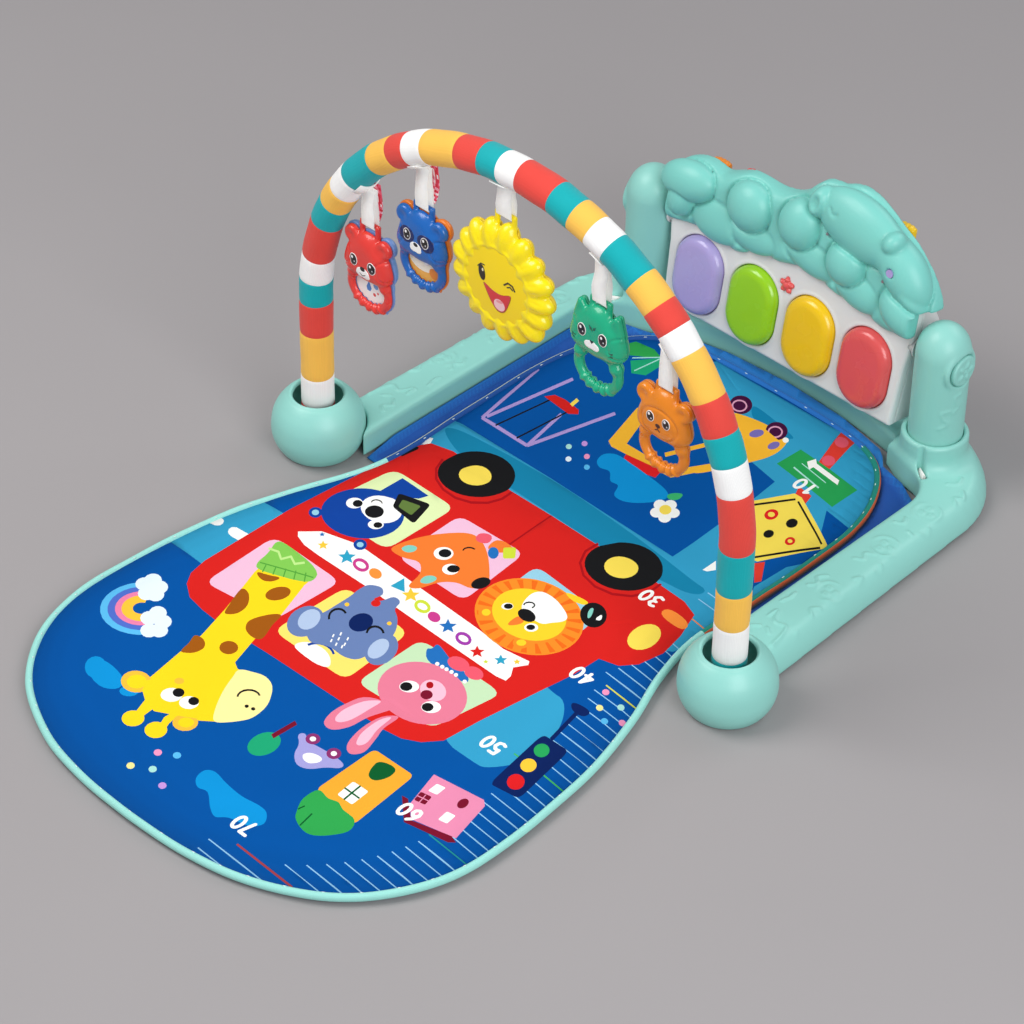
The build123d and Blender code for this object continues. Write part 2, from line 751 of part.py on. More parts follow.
def make_pivot_bushings():
    with BuildPart() as bushings:
        for side in SIDES:
            # barrel, outer flange, bore
            for x, radius, length, mode in (
                (114, BUSH_BORE_R - 0.1, 11.6, Mode.ADD),
                (125.4, 9.0, 1.2, Mode.ADD),
                (100, PIN_R + 0.05, 40, Mode.SUBTRACT),
            ):
                with BuildSketch(side_plane(side * x, side)):
                    Circle(radius)
                extrude(amount=length, mode=mode)
    return bushings.part


def make_key_membrane():
    with BuildPart() as membrane:
        with BuildSketch(panel_plane(-1.8)):
            with Locations((0, KEY_H)):
                RectangleRounded(226, 60, 4)
            with Locations(*LOW_SCREWS):
                Circle(5, mode=Mode.SUBTRACT)
        extrude(amount=1.0)
    return membrane.part


def make_circuit_board():
    board_t = 1.6
    component_h = 2.4
    board_base = -3.6
    with BuildPart() as board:
        with BuildSketch(panel_plane(board_base)):
            with Locations((0, KEY_H)):
                Rectangle(222, 56)
            with Locations(*LOW_SCREWS):
                Circle(5, mode=Mode.SUBTRACT)
        extrude(amount=board_t)
        # two blocks and a disc on the rear side
        with BuildSketch(panel_plane(board_base - component_h)):
            with Locations((-80, -30), (80, -44)):
                Rectangle(14, 10)
            with Locations((86, -26)):
                Circle(5)
        extrude(amount=component_h)
    return board.part


def make_speaker():
    base = CASE_BACK + PANEL_WALL + 0.2
    with BuildPart() as speaker:
        for station, radius, depth in ((base, 20, 4), (base + 4, 14, 8)):
            with BuildSketch(panel_plane(station)):
                with Locations(SPEAKER):
                    Circle(radius)
            extrude(amount=depth)
    return speaker.part


def make_battery_cells():
    with BuildPart() as cells:
        for height in CELL_HEIGHTS:
            # can and terminal
            for x, radius, length in ((-25.2, 7.1, 49.2), (24.0, 2.7, 1.2)):
                with BuildSketch(right_plane(x, *panel_point(CELL_STATION, height))):
                    Circle(radius)
                extrude(amount=length)
    return cells.part


def make_battery_contacts():
    with BuildPart() as contacts:
        for height in CELL_HEIGHTS:
            for x in (-27.0, 27.0):
                with BuildSketch(panel_plane(-26)):
                    with Locations((x, height)):
                        Rectangle(0.6, 11)
                extrude(amount=12)
    return contacts.part


def make_piano_screws():
    head_h = 2.0
    with BuildPart() as screws:
        for points, head_base, head_r, shank_length in (
            (PANEL_SCREWS, CASE_BACK + 17.8, 2.5, 14),
            (COVER_SCREWS, 3.4, 3.0, 11),
        ):
            for point in points:
                for station, radius, length in (
                    (head_base, head_r, head_h),
                    (head_base + head_h, 1.25, shank_length),
                ):
                    with BuildSketch(panel_plane(station)):
                        with Locations(point):
                            Circle(radius)
                    extrude(amount=length)
    return screws.part


def make_key(x):
    with BuildPart() as key:
        with BuildSketch(panel_plane(BUTTON_BASE)):
            with Locations((x, KEY_H)):
                SlotOverall(KEY_L, KEY_W, rotation=90)
        extrude(amount=10.0)
        fillet(key.faces().sort_by(Axis((0, 0, 0), PANEL_NORMAL))[-1].edges(), radius=6)
        # flange behind the panel, then the hollow
        for growth, depth, mode in ((2.6, FLANGE_T, Mode.ADD), (-5, 4.6, Mode.SUBTRACT)):
            with BuildSketch(panel_plane(FLANGE_BASE)):
                with Locations((x, KEY_H)):
                    SlotOverall(KEY_L + growth, KEY_W + growth, rotation=90)
            extrude(amount=depth, mode=mode)
        # central stem
        with BuildSketch(panel_plane(2.6)):
            with Locations((x, KEY_H)):
                Circle(4)
        extrude(amount=7)
    return key.part


def make_function_button(x, wall_height, top_height):
    with BuildPart() as button:
        with BuildSketch(up_plane(wall_height - FUNCTION_DEPTH)):
            with Locations((x, FUNCTION_BACK)):
                SlotOverall(FUNCTION_W, FUNCTION_T)
        extrude(amount=top_height - wall_height + FUNCTION_DEPTH)
        fillet(button.faces().sort_by(Axis((0, 0, 0), PANEL_UP))[-1].edges(), radius=2.5)
        # flange at the foot
        with BuildSketch(up_plane(wall_height - FUNCTION_DEPTH - 1)):
            with Locations((x, FUNCTION_BACK)):
                SlotOverall(FUNCTION_W + 2, FUNCTION_T + 2)
        extrude(amount=1.5)
    return button.part


def make_flower_button():
    with BuildPart() as button:
        with BuildSketch(panel_plane(BUTTON_BASE)):
            with Locations(FLOWER):
                Circle(FLOWER_CENTRE_R)
                with PolarLocations(PETAL_RING_R, PETALS, start_angle=90):
                    Circle(PETAL_R)
        extrude(amount=5.6)
        # flange and stem
        for station, radius, depth in ((FLANGE_BASE, 8.4, FLANGE_T), (1.8, 2, 3)):
            with BuildSketch(panel_plane(station)):
                with Locations(FLOWER):
                    Circle(radius)
            extrude(amount=depth)
    return button.part


def make_power_switch():
    with BuildPart() as switch:
        # slider and its inner plate
        for station, width, height, depth in (
            (CASE_BACK - 2.0, 6, 5, 5.5),
            (CASE_BACK + PANEL_WALL + 0.2, 20, 9, 1.2),
        ):
            with BuildSketch(panel_plane(station)):
                with Locations((60, 20)):
                    Rectangle(width, height)
            extrude(amount=depth)
    return switch.part


def make_battery_door():
    lip_w = TUB_W - 2 * TUB_WALL - 2 * CLEAR
    lip_h = TUB_H - 2 * TUB_WALL - 2 * CLEAR
    with BuildPart() as door:
        with BuildSketch(panel_plane(CASE_BACK - 2.1)):
            with Locations(BATTERY):
                RectangleRounded(TUB_W + 2, TUB_H + 2, 4)
        extrude(amount=2.0)
        # locating lip inside the tub
        with BuildSketch(panel_plane(CASE_BACK - 0.1)):
            with Locations(BATTERY):
                Rectangle(lip_w, lip_h)
                Rectangle(lip_w - 3.2, lip_h - 3.2, mode=Mode.SUBTRACT)
        extrude(amount=2.4)
    return door.part


# ================================================================= toy arch
def arch_point(angle):
    """Point on the bend's centre line; 0 degrees is the right leg, 180 the left leg."""
    turn = math.radians(angle)
    return (ARCH_X * math.cos(turn), 0, ARCH_BEND_Z + ARCH_X * math.sin(turn))


def arch_path(start, end, leg_to=None):
    """Centre line between two angles, with straight legs down to height leg_to."""
    with BuildLine() as path:
        if leg_to is not None and start == 0:
            Line((ARCH_X, 0, leg_to), (ARCH_X, 0, ARCH_BEND_Z))
        ThreePointArc(arch_point(start), arch_point((start + end) / 2), arch_point(end))
        if leg_to is not None and end == 180:
            Line((-ARCH_X, 0, ARCH_BEND_Z), (-ARCH_X, 0, leg_to))
    return path.line


def make_arch_pipe(end_angle, end_z, outer_r, bore_r):
    """Pipe from the right leg's foot, along the arch to end_angle."""
    path = arch_path(0, end_angle, end_z)
    with BuildPart() as pipe:
        with BuildSketch(Plane.XY.offset(end_z)):
            with Locations((ARCH_X, 0)):
                Circle(outer_r)
                Circle(bore_r, mode=Mode.SUBTRACT)
        sweep(path=path)
    return pipe.part


def make_arch_coupler():
    """Solid plug inside the joint at the top of the arch."""
    path = arch_path(83, 97)
    with BuildPart() as coupler:
        with BuildSketch(Plane(origin=(path @ 0), z_dir=(path % 0))):
            Circle(PEG_R)
        sweep(path=path)
    return coupler.part


# ================================================================= hanging toys
# x of the toy, height of its hanging bar and of its face centre; for the rattles also
# the height of the lowest point and the half width of the head
RATTLES = {
    "red": dict(x=-153.0, bar_z=240.0, face_z=206.0, bottom_z=161.0, half_w=23.5),
    "blue": dict(x=-97.0, bar_z=284.0, face_z=248.0, bottom_z=210.0, half_w=24.0),
    "green": dict(x=77.5, bar_z=290.0, face_z=256.0, bottom_z=210.0, half_w=26.0),
    "orange": dict(x=142.0, bar_z=250.0, face_z=219.0, bottom_z=174.0, half_w=24.0),
}
SUN = dict(x=-15.5, bar_z=317.0, face_z=259.0)
BAR_R = 1.6
LUG_DX = 8.2              # lugs that hold the bar, each side of the toy's centre
LUG_W = 3.0
LUG_BACK_Y = 3.2
LUG_DEPTH = 6.4
LUG_ROOM_W = 3.4          # notch for a lug in the rear shell
LUG_ROOM_BACK_Y = 3.4
LUG_ROOM_DEPTH = 4.0
SHELL_Y = 0.1             # each half shell starts this far from the mid plane

RIBBON_W = 12.0
STRAP_HALF_W = 4
STRAP_RISE = 2.4          # lower end of the strap above the bar

HEAD_HALF_H = 22.0
HEAD_WALL = 3.5
GRIP_R = 20.0
GRIP_BORE_R = 12.5

SUN_R = 42
SUN_BORE_R = 38
RAYS = 17
RAY_RING_R = 41

# (x, z) from the face centre
BEADS = ((-8, -8), (6, -10), (-2, 4), (9, 3))


def make_ribbon(toy):
    """Ring round the sleeve, strap, and loop round the toy's bar."""
    x = toy["x"]
    bar_z = toy["bar_z"]
    # the strap leaves the inner side of the sleeve straight above the toy
    inner_r = ARCH_X - SLEEVE_R - 1.1
    angle = math.acos(x / inner_r)
    tangent = (-math.sin(angle), 0, math.cos(angle))
    ring = Plane(origin=arch_point(math.degrees(angle)), x_dir=(0, 1, 0), z_dir=tangent)
    strap_top = ARCH_BEND_Z + inner_r * math.sin(angle)
    strap_h = strap_top - bar_z - STRAP_RISE
    skew = STRAP_HALF_W * tangent[2] / tangent[0]
    with BuildPart() as ribbon:
        with BuildSketch(ring.offset(-RIBBON_W / 2)):
            Circle(SLEEVE_R + 1.6)
            Circle(SLEEVE_R + 0.6, mode=Mode.SUBTRACT)
        extrude(amount=RIBBON_W)
        with BuildSketch(front_plane(x, 0.5, bar_z + STRAP_RISE)):
            with BuildLine():
                Polyline((-STRAP_HALF_W, 0), (STRAP_HALF_W, 0), (STRAP_HALF_W, strap_h + skew),
                         (-STRAP_HALF_W, strap_h - skew), close=True)
            make_face()
        extrude(amount=1.0)
        with BuildSketch(right_plane(x - 5, 0, bar_z)):
            Circle(3.0)
            Circle(BAR_R + 0.4, mode=Mode.SUBTRACT)
        extrude(amount=10)
    return ribbon.part


def make_rattle_shell(toy, is_front):
    """Half shell of a rattle: head above, open grip ring below."""
    x = toy["x"]
    bar_z = toy["bar_z"]
    face_z = toy["face_z"]
    half_w = toy["half_w"]
    depth = 9.0 if is_front else 8.0
    hollow_depth = depth - 2.2
    mid = front_plane(x, -SHELL_Y, 0) if is_front else rear_plane(x, SHELL_Y, 0)
    lug_z = (bar_z + face_z) / 2 + 1
    with BuildPart() as shell:
        # head, two small upper lobes, grip ring
        with BuildSketch(mid):
            with Locations((0, face_z)):
                Ellipse(half_w, HEAD_HALF_H)
            with Locations((-16, face_z + 15), (16, face_z + 15)):
                Circle(7.5)
            with Locations((0, toy["bottom_z"] + GRIP_R)):
                Circle(GRIP_R)
                Circle(GRIP_BORE_R, mode=Mode.SUBTRACT)
        extrude(amount=depth)
        # hollow head
        with BuildSketch(mid):
            with Locations((0, face_z)):
                Ellipse(half_w - HEAD_WALL, HEAD_HALF_H - HEAD_WALL)
        extrude(amount=hollow_depth, mode=Mode.SUBTRACT)
        if is_front:
            # lugs, cleared out of the hollow, and the bar that the ribbon passes round
            with BuildSketch(front_plane(x, LUG_BACK_Y, 0)):
                with Locations((-LUG_DX, lug_z), (LUG_DX, lug_z)):
                    Rectangle(LUG_W, bar_z - face_z + 4)
            extrude(amount=LUG_DEPTH)
            with BuildSketch(mid):
                with Locations((0, face_z)):
                    Ellipse(half_w - HEAD_WALL, HEAD_HALF_H - HEAD_WALL)
            extrude(amount=hollow_depth, mode=Mode.SUBTRACT)
            with BuildSketch(right_plane(x - LUG_DX, 0, bar_z)):
                Circle(BAR_R)
            extrude(amount=2 * LUG_DX)
        else:
            # room for the front shell's lugs
            with BuildSketch(front_plane(x, LUG_ROOM_BACK_Y, 0)):
                with Locations((-LUG_DX, lug_z), (LUG_DX, lug_z)):
                    Rectangle(LUG_ROOM_W, bar_z - face_z + 5)
            extrude(amount=LUG_ROOM_DEPTH, mode=Mode.SUBTRACT)
    return shell.part


def make_rattle_beads(toy):
    with BuildPart() as beads:
        for dx, dz in BEADS:
            with Locations((toy["x"] + dx, -2.8, toy["face_z"] + dz)):
                Sphere(2.4)
    return beads.part


def make_sun_shell(is_front):
    """Half shell of the sun: a hollow disc with round rays."""
    x = SUN["x"]
    bar_z = SUN["bar_z"]
    face_z = SUN["face_z"]
    depth = 10 if is_front else 6
    ray_r = 9 if is_front else 8
    mid = front_plane(x, -SHELL_Y, face_z) if is_front else rear_plane(x, SHELL_Y, face_z)
    with BuildPart() as shell:
        with BuildSketch(mid):
            Circle(SUN_R)
            with PolarLocations(RAY_RING_R, RAYS):
                Circle(ray_r)
        extrude(amount=depth)
        with BuildSketch(mid):
            Circle(SUN_BORE_R)
        extrude(amount=depth - 2.5, mode=Mode.SUBTRACT)
        if is_front:
            # lugs and the bar that the ribbon passes round
            with BuildSketch(front_plane(x, LUG_BACK_Y, bar_z - 7)):
                with Locations((-LUG_DX, 0), (LUG_DX, 0)):
                    Rectangle(LUG_W, 19)
            extrude(amount=LUG_DEPTH)
            with BuildSketch(right_plane(x - LUG_DX, 0, bar_z)):
                Circle(BAR_R)
            extrude(amount=2 * LUG_DX)
        else:
            # room for the front shell's lugs
            with BuildSketch(front_plane(x, LUG_ROOM_BACK_Y, bar_z - 7)):
                with Locations((-LUG_DX, 0), (LUG_DX, 0)):
                    Rectangle(LUG_ROOM_W, 20)
            extrude(amount=LUG_ROOM_DEPTH, mode=Mode.SUBTRACT)
    return shell.part


# ================================================================= write every piece
# pieces in mirrored pairs: right name, left name, right-hand piece
for right_name, left_name, right_part in (
    ("right_arm", "left_arm", make_arm()),
    ("right_arch_socket", "left_arch_socket", make_arch_socket()),
    ("right_post", "left_post", make_post()),
    # the tubes stop just short of the top, so that they don't touch
    ("arch_tube_right", "arch_tube_left",
     make_arch_pipe(89.92, TUBE_END_Z, TUBE_R, TUBE_BORE_R)),
):
    left_part = mirrored(right_part)
    write(right_name, right_part)
    write(left_name, left_part)

for name, make_piece in {
    "rear_rail": make_rear_rail,
    "pivot_pins": make_pivot_pins,
    "pivot_caps": make_pivot_caps,
    "frame_screws": make_frame_screws,
    "anti_slip_feet": make_anti_slip_feet,
    "mat_pad": make_mat_pad,
    "mat_binding": make_mat_binding,
    "mat_skirt": make_mat_skirt,
    "mat_corner_straps": make_mat_corner_straps,
    "piano_front_panel": make_front_panel,
    "piano_rear_case": make_rear_case,
    "cloud_cover": make_cloud_cover,
    "lamp_lens": make_lamp_lens,
    "pivot_bushings": make_pivot_bushings,
    "key_membrane": make_key_membrane,
    "circuit_board": make_circuit_board,
    "speaker": make_speaker,
    "battery_cells": make_battery_cells,
    "battery_contacts": make_battery_contacts,
    "piano_screws": make_piano_screws,
    "flower_button": make_flower_button,
    "power_switch": make_power_switch,
    "battery_door": make_battery_door,
    "arch_coupler": make_arch_coupler,
}.items():
    write(name, make_piece())

write("arch_sleeve", make_arch_pipe(180, SLEEVE_END_Z, SLEEVE_R, SLEEVE_BORE_R))
for name, key_x in KEYS.items():
    write(name, make_key(key_x))
for colour, sizes in FUNCTION_BUTTONS.items():
    write("function_button_" + colour, make_function_button(*sizes))

write("ribbon_sun", make_ribbon(SUN))
write("sun_front_shell", make_sun_shell(is_front=True))
write("sun_rear_shell", make_sun_shell(is_front=False))
for colour, toy in RATTLES.items():
    write("ribbon_" + colour, make_ribbon(toy))
    write(colour + "_front_shell", make_rattle_shell(toy, is_front=True))
    write(colour + "_rear_shell", make_rattle_shell(toy, is_front=False))
for colour in ("red", "blue"):
    write(colour + "_rattle_beads", make_rattle_beads(RATTLES[colour]))
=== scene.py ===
import bpy
import json
import math
import numpy as np
from mathutils import Matrix, Vector
from mathutils.bvhtree import BVHTree
from mathutils.geometry import delaunay_2d_cdt


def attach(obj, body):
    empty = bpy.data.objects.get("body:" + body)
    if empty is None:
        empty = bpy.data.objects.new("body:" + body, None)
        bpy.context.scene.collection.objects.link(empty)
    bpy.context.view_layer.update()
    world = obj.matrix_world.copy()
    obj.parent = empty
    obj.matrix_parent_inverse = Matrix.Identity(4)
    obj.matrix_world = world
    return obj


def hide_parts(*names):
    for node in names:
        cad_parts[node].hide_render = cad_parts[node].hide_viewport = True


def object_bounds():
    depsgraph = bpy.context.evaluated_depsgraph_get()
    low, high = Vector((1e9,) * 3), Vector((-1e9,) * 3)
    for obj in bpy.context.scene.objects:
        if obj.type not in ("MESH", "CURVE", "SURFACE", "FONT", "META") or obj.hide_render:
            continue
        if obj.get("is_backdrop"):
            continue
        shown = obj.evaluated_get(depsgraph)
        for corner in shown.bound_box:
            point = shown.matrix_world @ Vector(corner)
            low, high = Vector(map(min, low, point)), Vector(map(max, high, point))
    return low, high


# Activity play gym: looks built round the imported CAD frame. Working lengths here are millimetres.
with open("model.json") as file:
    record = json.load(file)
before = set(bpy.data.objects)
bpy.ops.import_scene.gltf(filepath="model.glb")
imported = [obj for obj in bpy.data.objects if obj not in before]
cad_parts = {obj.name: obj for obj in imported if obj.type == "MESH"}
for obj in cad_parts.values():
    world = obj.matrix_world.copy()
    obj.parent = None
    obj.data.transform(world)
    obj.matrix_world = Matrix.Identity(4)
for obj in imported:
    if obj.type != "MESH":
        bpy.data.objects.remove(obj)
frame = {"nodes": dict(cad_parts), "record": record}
CAD_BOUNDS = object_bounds()
NODES = frame["nodes"]
NODE_BODY = {n: b for b, ns in [(b["name"], b["nodes"]) for b in frame["record"]["behaviour"]["bodies"]] for n in ns} \
    if isinstance(frame["record"]["behaviour"]["bodies"], list) else \
    {n: b for b, ns in frame["record"]["behaviour"]["bodies"].items() for n in ns}

scene = bpy.context.scene
scene.view_settings.view_transform = "Standard"
scene.view_settings.look = "None"


# ------------------------------------------------------------------ colour and materials
def lin(c, a=1.0):
    out = []
    for v in c[:3]:
        v = v / 255.0
        out.append(v / 12.92 if v <= 0.04045 else ((v + 0.055) / 1.055) ** 2.4)
    return (out[0], out[1], out[2], a)


def base_material(name):
    m = bpy.data.materials.new(name)
    m.use_nodes = True
    nt = m.node_tree
    return m, nt, nt.nodes["Principled BSDF"]


def node(nt, kind, **kw):
    n = nt.nodes.new(kind)
    for k, v in kw.items():
        setattr(n, k, v)
    return n


def colour_source(nt, rgb, attr):
    if attr:
        a = node(nt, "ShaderNodeAttribute", attribute_name=attr)
        return a.outputs["Color"]
    c = node(nt, "ShaderNodeRGB")
    c.outputs[0].default_value = lin(rgb)
    return c.outputs[0]


def shade(nt, src, fac_socket, lo, hi):
    """Multiply a colour by a grey that runs from lo to hi with fac."""
    mr = node(nt, "ShaderNodeMapRange")
    mr.inputs["To Min"].default_value = lo
    mr.inputs["To Max"].default_value = hi
    nt.links.new(fac_socket, mr.inputs["Value"])
    comb = node(nt, "ShaderNodeCombineColor")
    for i in range(3):
        nt.links.new(mr.outputs[0], comb.inputs[i])
    mix = node(nt, "ShaderNodeMix", data_type="RGBA", blend_type="MULTIPLY")
    mix.inputs[0].default_value = 1.0
    nt.links.new(src, mix.inputs[6])
    nt.links.new(comb.outputs[0], mix.inputs[7])
    return mix.outputs[2]


def plastic(name, rgb=None, rough=0.36, grain=1.0, coat=0.0, attr=None, sss=0.0, mottle=0.03, spec=0.5):
    """Moulded plastic: faint flow mottling, fine mould grain and slightly uneven gloss."""
    m, nt, b = base_material(name)
    tc = node(nt, "ShaderNodeTexCoord")
    n1 = node(nt, "ShaderNodeTexNoise")
    n1.inputs["Scale"].default_value = 14.0
    n1.inputs["Detail"].default_value = 3.0
    nt.links.new(tc.outputs["Object"], n1.inputs["Vector"])
    col = shade(nt, colour_source(nt, rgb, attr), n1.outputs["Fac"], 1.0 - mottle, 1.0 + mottle * 0.6)
    nt.links.new(col, b.inputs["Base Color"])
    n2 = node(nt, "ShaderNodeTexNoise")
    n2.inputs["Scale"].default_value = 620.0
    n2.inputs["Detail"].default_value = 2.0
    nt.links.new(tc.outputs["Object"], n2.inputs["Vector"])
    bump = node(nt, "ShaderNodeBump")
    bump.inputs["Strength"].default_value = 0.12 * grain
    bump.inputs["Distance"].default_value = 0.0004
    nt.links.new(n2.outputs["Fac"], bump.inputs["Height"])
    nt.links.new(bump.outputs[0], b.inputs["Normal"])
    n3 = node(nt, "ShaderNodeTexNoise")
    n3.inputs["Scale"].default_value = 45.0
    nt.links.new(tc.outputs["Object"], n3.inputs["Vector"])
    mr = node(nt, "ShaderNodeMapRange")
    mr.inputs["To Min"].default_value = rough - 0.05
    mr.inputs["To Max"].default_value = rough + 0.07
    nt.links.new(n3.outputs["Fac"], mr.inputs["Value"])
    nt.links.new(mr.outputs[0], b.inputs["Roughness"])
    b.inputs["Coat Weight"].default_value = coat
    b.inputs["Coat Roughness"].default_value = 0.12
    b.inputs["Specular IOR Level"].default_value = spec
    return m


def fabric(name, rgb=None, attr=None, pitch=1.1, strength=0.35, rough=0.85, mottle=0.05, sheen=0.08, spec=0.25):
    """Woven cloth: crossing threads at a fixed pitch (mm), slightly uneven dye."""
    m, nt, b = base_material(name)
    tc = node(nt, "ShaderNodeTexCoord")
    scale = 0.31416 / (pitch * 0.001)
    waves = []
    for axis in ("X", "Y", "Z"):
        w = node(nt, "ShaderNodeTexWave", wave_type="BANDS", bands_direction=axis)
        w.inputs["Scale"].default_value = scale
        w.inputs["Distortion"].default_value = 0.6
        w.inputs["Detail"].default_value = 1.0
        nt.links.new(tc.outputs["Object"], w.inputs["Vector"])
        waves.append(w.outputs["Fac"])
    mul = node(nt, "ShaderNodeMath", operation="MULTIPLY")
    nt.links.new(waves[0], mul.inputs[0])
    nt.links.new(waves[1], mul.inputs[1])
    add = node(nt, "ShaderNodeMath", operation="MULTIPLY_ADD")
    nt.links.new(waves[2], add.inputs[0])
    add.inputs[1].default_value = 0.4
    nt.links.new(mul.outputs[0], add.inputs[2])
    n1 = node(nt, "ShaderNodeTexNoise")
    n1.inputs["Scale"].default_value = 22.0
    n1.inputs["Detail"].default_value = 4.0
    nt.links.new(tc.outputs["Object"], n1.inputs["Vector"])
    c1 = shade(nt, colour_source(nt, rgb, attr), n1.outputs["Fac"], 1.0 - mottle, 1.0 + mottle * 0.5)
    col = shade(nt, c1, add.outputs[0], 0.955, 1.02)
    nt.links.new(col, b.inputs["Base Color"])
    bump = node(nt, "ShaderNodeBump")
    bump.inputs["Strength"].default_value = strength
    bump.inputs["Distance"].default_value = 0.0003
    nt.links.new(add.outputs[0], bump.inputs["Height"])
    nt.links.new(bump.outputs[0], b.inputs["Normal"])
    b.inputs["Roughness"].default_value = rough
    b.inputs["Specular IOR Level"].default_value = spec
    b.inputs["Sheen Weight"].default_value = sheen
    return m


def metal(name, rgb, rough=0.3):
    m, nt, b = base_material(name)
    tc = node(nt, "ShaderNodeTexCoord")
    n1 = node(nt, "ShaderNodeTexNoise")
    n1.inputs["Scale"].default_value = 300.0
    nt.links.new(tc.outputs["Object"], n1.inputs["Vector"])
    nt.links.new(shade(nt, colour_source(nt, rgb, None), n1.outputs["Fac"], 0.85, 1.05), b.inputs["Base Color"])
    mr = node(nt, "ShaderNodeMapRange")
    mr.inputs["To Min"].default_value = rough - 0.08
    mr.inputs["To Max"].default_value = rough + 0.12
    nt.links.new(n1.outputs["Fac"], mr.inputs["Value"])
    nt.links.new(mr.outputs[0], b.inputs["Roughness"])
    b.inputs["Metallic"].default_value = 1.0
    return m


MINT = plastic("mint_plastic", (144, 210, 200), rough=0.42, coat=0.06)
MINT_COVER = plastic("mint_cover_plastic", (124, 206, 196), rough=0.42, coat=0.06)
WHITE = plastic("white_plastic", (222, 223, 222), rough=0.42)
KEYCOL = {"purple": (170, 158, 212), "green": (148, 206, 20), "yellow": (240, 196, 4), "red": (224, 84, 84)}
KEYMAT = {k: plastic("key_%s_plastic" % k, v, rough=0.26, coat=0.35) for k, v in KEYCOL.items()}
TOYCOL = {"red": (226, 58, 50), "blue": (16, 98, 182), "sun": (255, 230, 0), "green": (20, 172, 128),
          "orange": (232, 134, 22)}
REARCOL = {"red": (112, 150, 214), "blue": (238, 126, 30), "sun": (250, 214, 10), "green": (20, 160, 120),
           "orange": (222, 124, 20)}
TOYMAT = {k: plastic("toy_%s_plastic" % k, v, rough=0.27, coat=0.3, grain=0.5) for k, v in TOYCOL.items()}
REARMAT = {k: plastic("toy_%s_rear_plastic" % k, v, rough=0.3, coat=0.25, grain=0.5) for k, v in REARCOL.items()}
GREY = plastic("grey_plastic", (76, 79, 84), rough=0.5)
BLACK = plastic("black_plastic", (22, 22, 24), rough=0.5)
BEAD = plastic("bead_plastic", (230, 230, 235), rough=0.25, coat=0.3)
BOARD = plastic("circuit_board_coat", (18, 84, 42), rough=0.35, coat=0.3, mottle=0.12)
WRAP = plastic("battery_wrap", (34, 92, 54), rough=0.3, coat=0.3, mottle=0.12)
STEEL = metal("plated_steel", (190, 190, 194))
RUBBER = plastic("matt_rubber", (54, 55, 57), rough=0.8, grain=3.0, spec=0.25)
SILICONE = plastic("silicone_rubber", (196, 196, 190), rough=0.6, grain=2.0)
MAT_PRINT = fabric("mat_print_cloth", attr="Col", pitch=1.2, strength=0.12, rough=0.62, mottle=0.03, sheen=0.0, spec=0.05)
MAT_BACK = fabric("mat_back_cloth", (16, 84, 160), pitch=1.6, strength=0.5)
BINDING = fabric("binding_tape", attr="Col", pitch=0.9, strength=0.5, rough=0.7)
SKIRT = fabric("skirt_cloth", attr="Col", pitch=1.0, strength=0.4, rough=0.65)
SLEEVE = fabric("striped_sleeve_cloth", attr="Col", pitch=0.8, strength=0.35, rough=0.72, sheen=0.12)
RIBBON = fabric("ribbon_cloth_painted_glow", attr="Col", pitch=0.6, strength=0.5, rough=0.7)
for _n in RIBBON.node_tree.nodes:
    if _n.type == "BSDF_PRINCIPLED":
        # thin satin lets light through; a little glow of its own colour stands in for it, as painted light that
        # brightens the ribbons
        RIBBON.node_tree.links.new(_n.inputs["Base Color"].links[0].from_socket, _n.inputs["Emission Color"])
        _n.inputs["Emission Strength"].default_value = 0.16
PAINT = plastic("pad_printed_ink", attr="Col", rough=0.3, coat=0.25, grain=0.3, mottle=0.01)


# ------------------------------------------------------------------ mesh helpers
def new_object(name, verts, faces, body, mat, replaces=(), slot=None, smooth=True, face_cols=None, mats=None,
               mat_index=None):
    """verts in mm; faces a list or array. Rides on body and stands for the CAD nodes in replaces."""
    me = bpy.data.meshes.new(name)
    v = (np.asarray(verts, float) * 0.001).tolist()
    f = faces.tolist() if isinstance(faces, np.ndarray) else faces
    me.from_pydata(v, [], f)
    me.validate(verbose=False)
    for m in (mats or [mat]):
        me.materials.append(m)
    if mat_index is not None:
        me.polygons.foreach_set("material_index", np.asarray(mat_index, np.int32))
    me.polygons.foreach_set("use_smooth", np.full(len(me.polygons), smooth))
    if face_cols is not None:
        a = me.attributes.new("Col", "FLOAT_COLOR", "CORNER")
        counts = np.array([p.loop_total for p in me.polygons])
        a.data.foreach_set("color", np.repeat(np.asarray(face_cols, np.float32), counts, axis=0).ravel())
    me.update()
    o = bpy.data.objects.new(name, me)
    bpy.context.collection.objects.link(o)
    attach(o, body)
    if replaces:
        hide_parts(*replaces)
    return o


def smin(a, b, k):
    h = np.clip(0.5 + 0.5 * (b - a) / k, 0.0, 1.0)
    return b * (1 - h) + a * h - k * h * (1 - h)


def smax(a, b, k):
    return -smin(-a, -b, k)


def poly_sd(px, py, pts):
    """Signed distance to a closed polygon, negative inside."""
    px, py = np.broadcast_arrays(px, py)
    d = np.full(px.shape, 1e18)
    inside = np.zeros(px.shape, bool)
    n = len(pts)
    for i in range(n):
        ax, ay = pts[i]
        bx, by = pts[i - 1]
        ex, ey, wx, wy = bx - ax, by - ay, px - ax, py - ay
        t = np.clip((wx * ex + wy * ey) / (ex * ex + ey * ey + 1e-12), 0, 1)
        dx, dy = wx - ex * t, wy - ey * t
        d = np.minimum(d, dx * dx + dy * dy)
        if ay != by:
            inside ^= ((ay > py) != (by > py)) & (px < ex * (py - ay) / ey + ax)
    return np.where(inside, -1.0, 1.0) * np.sqrt(d)


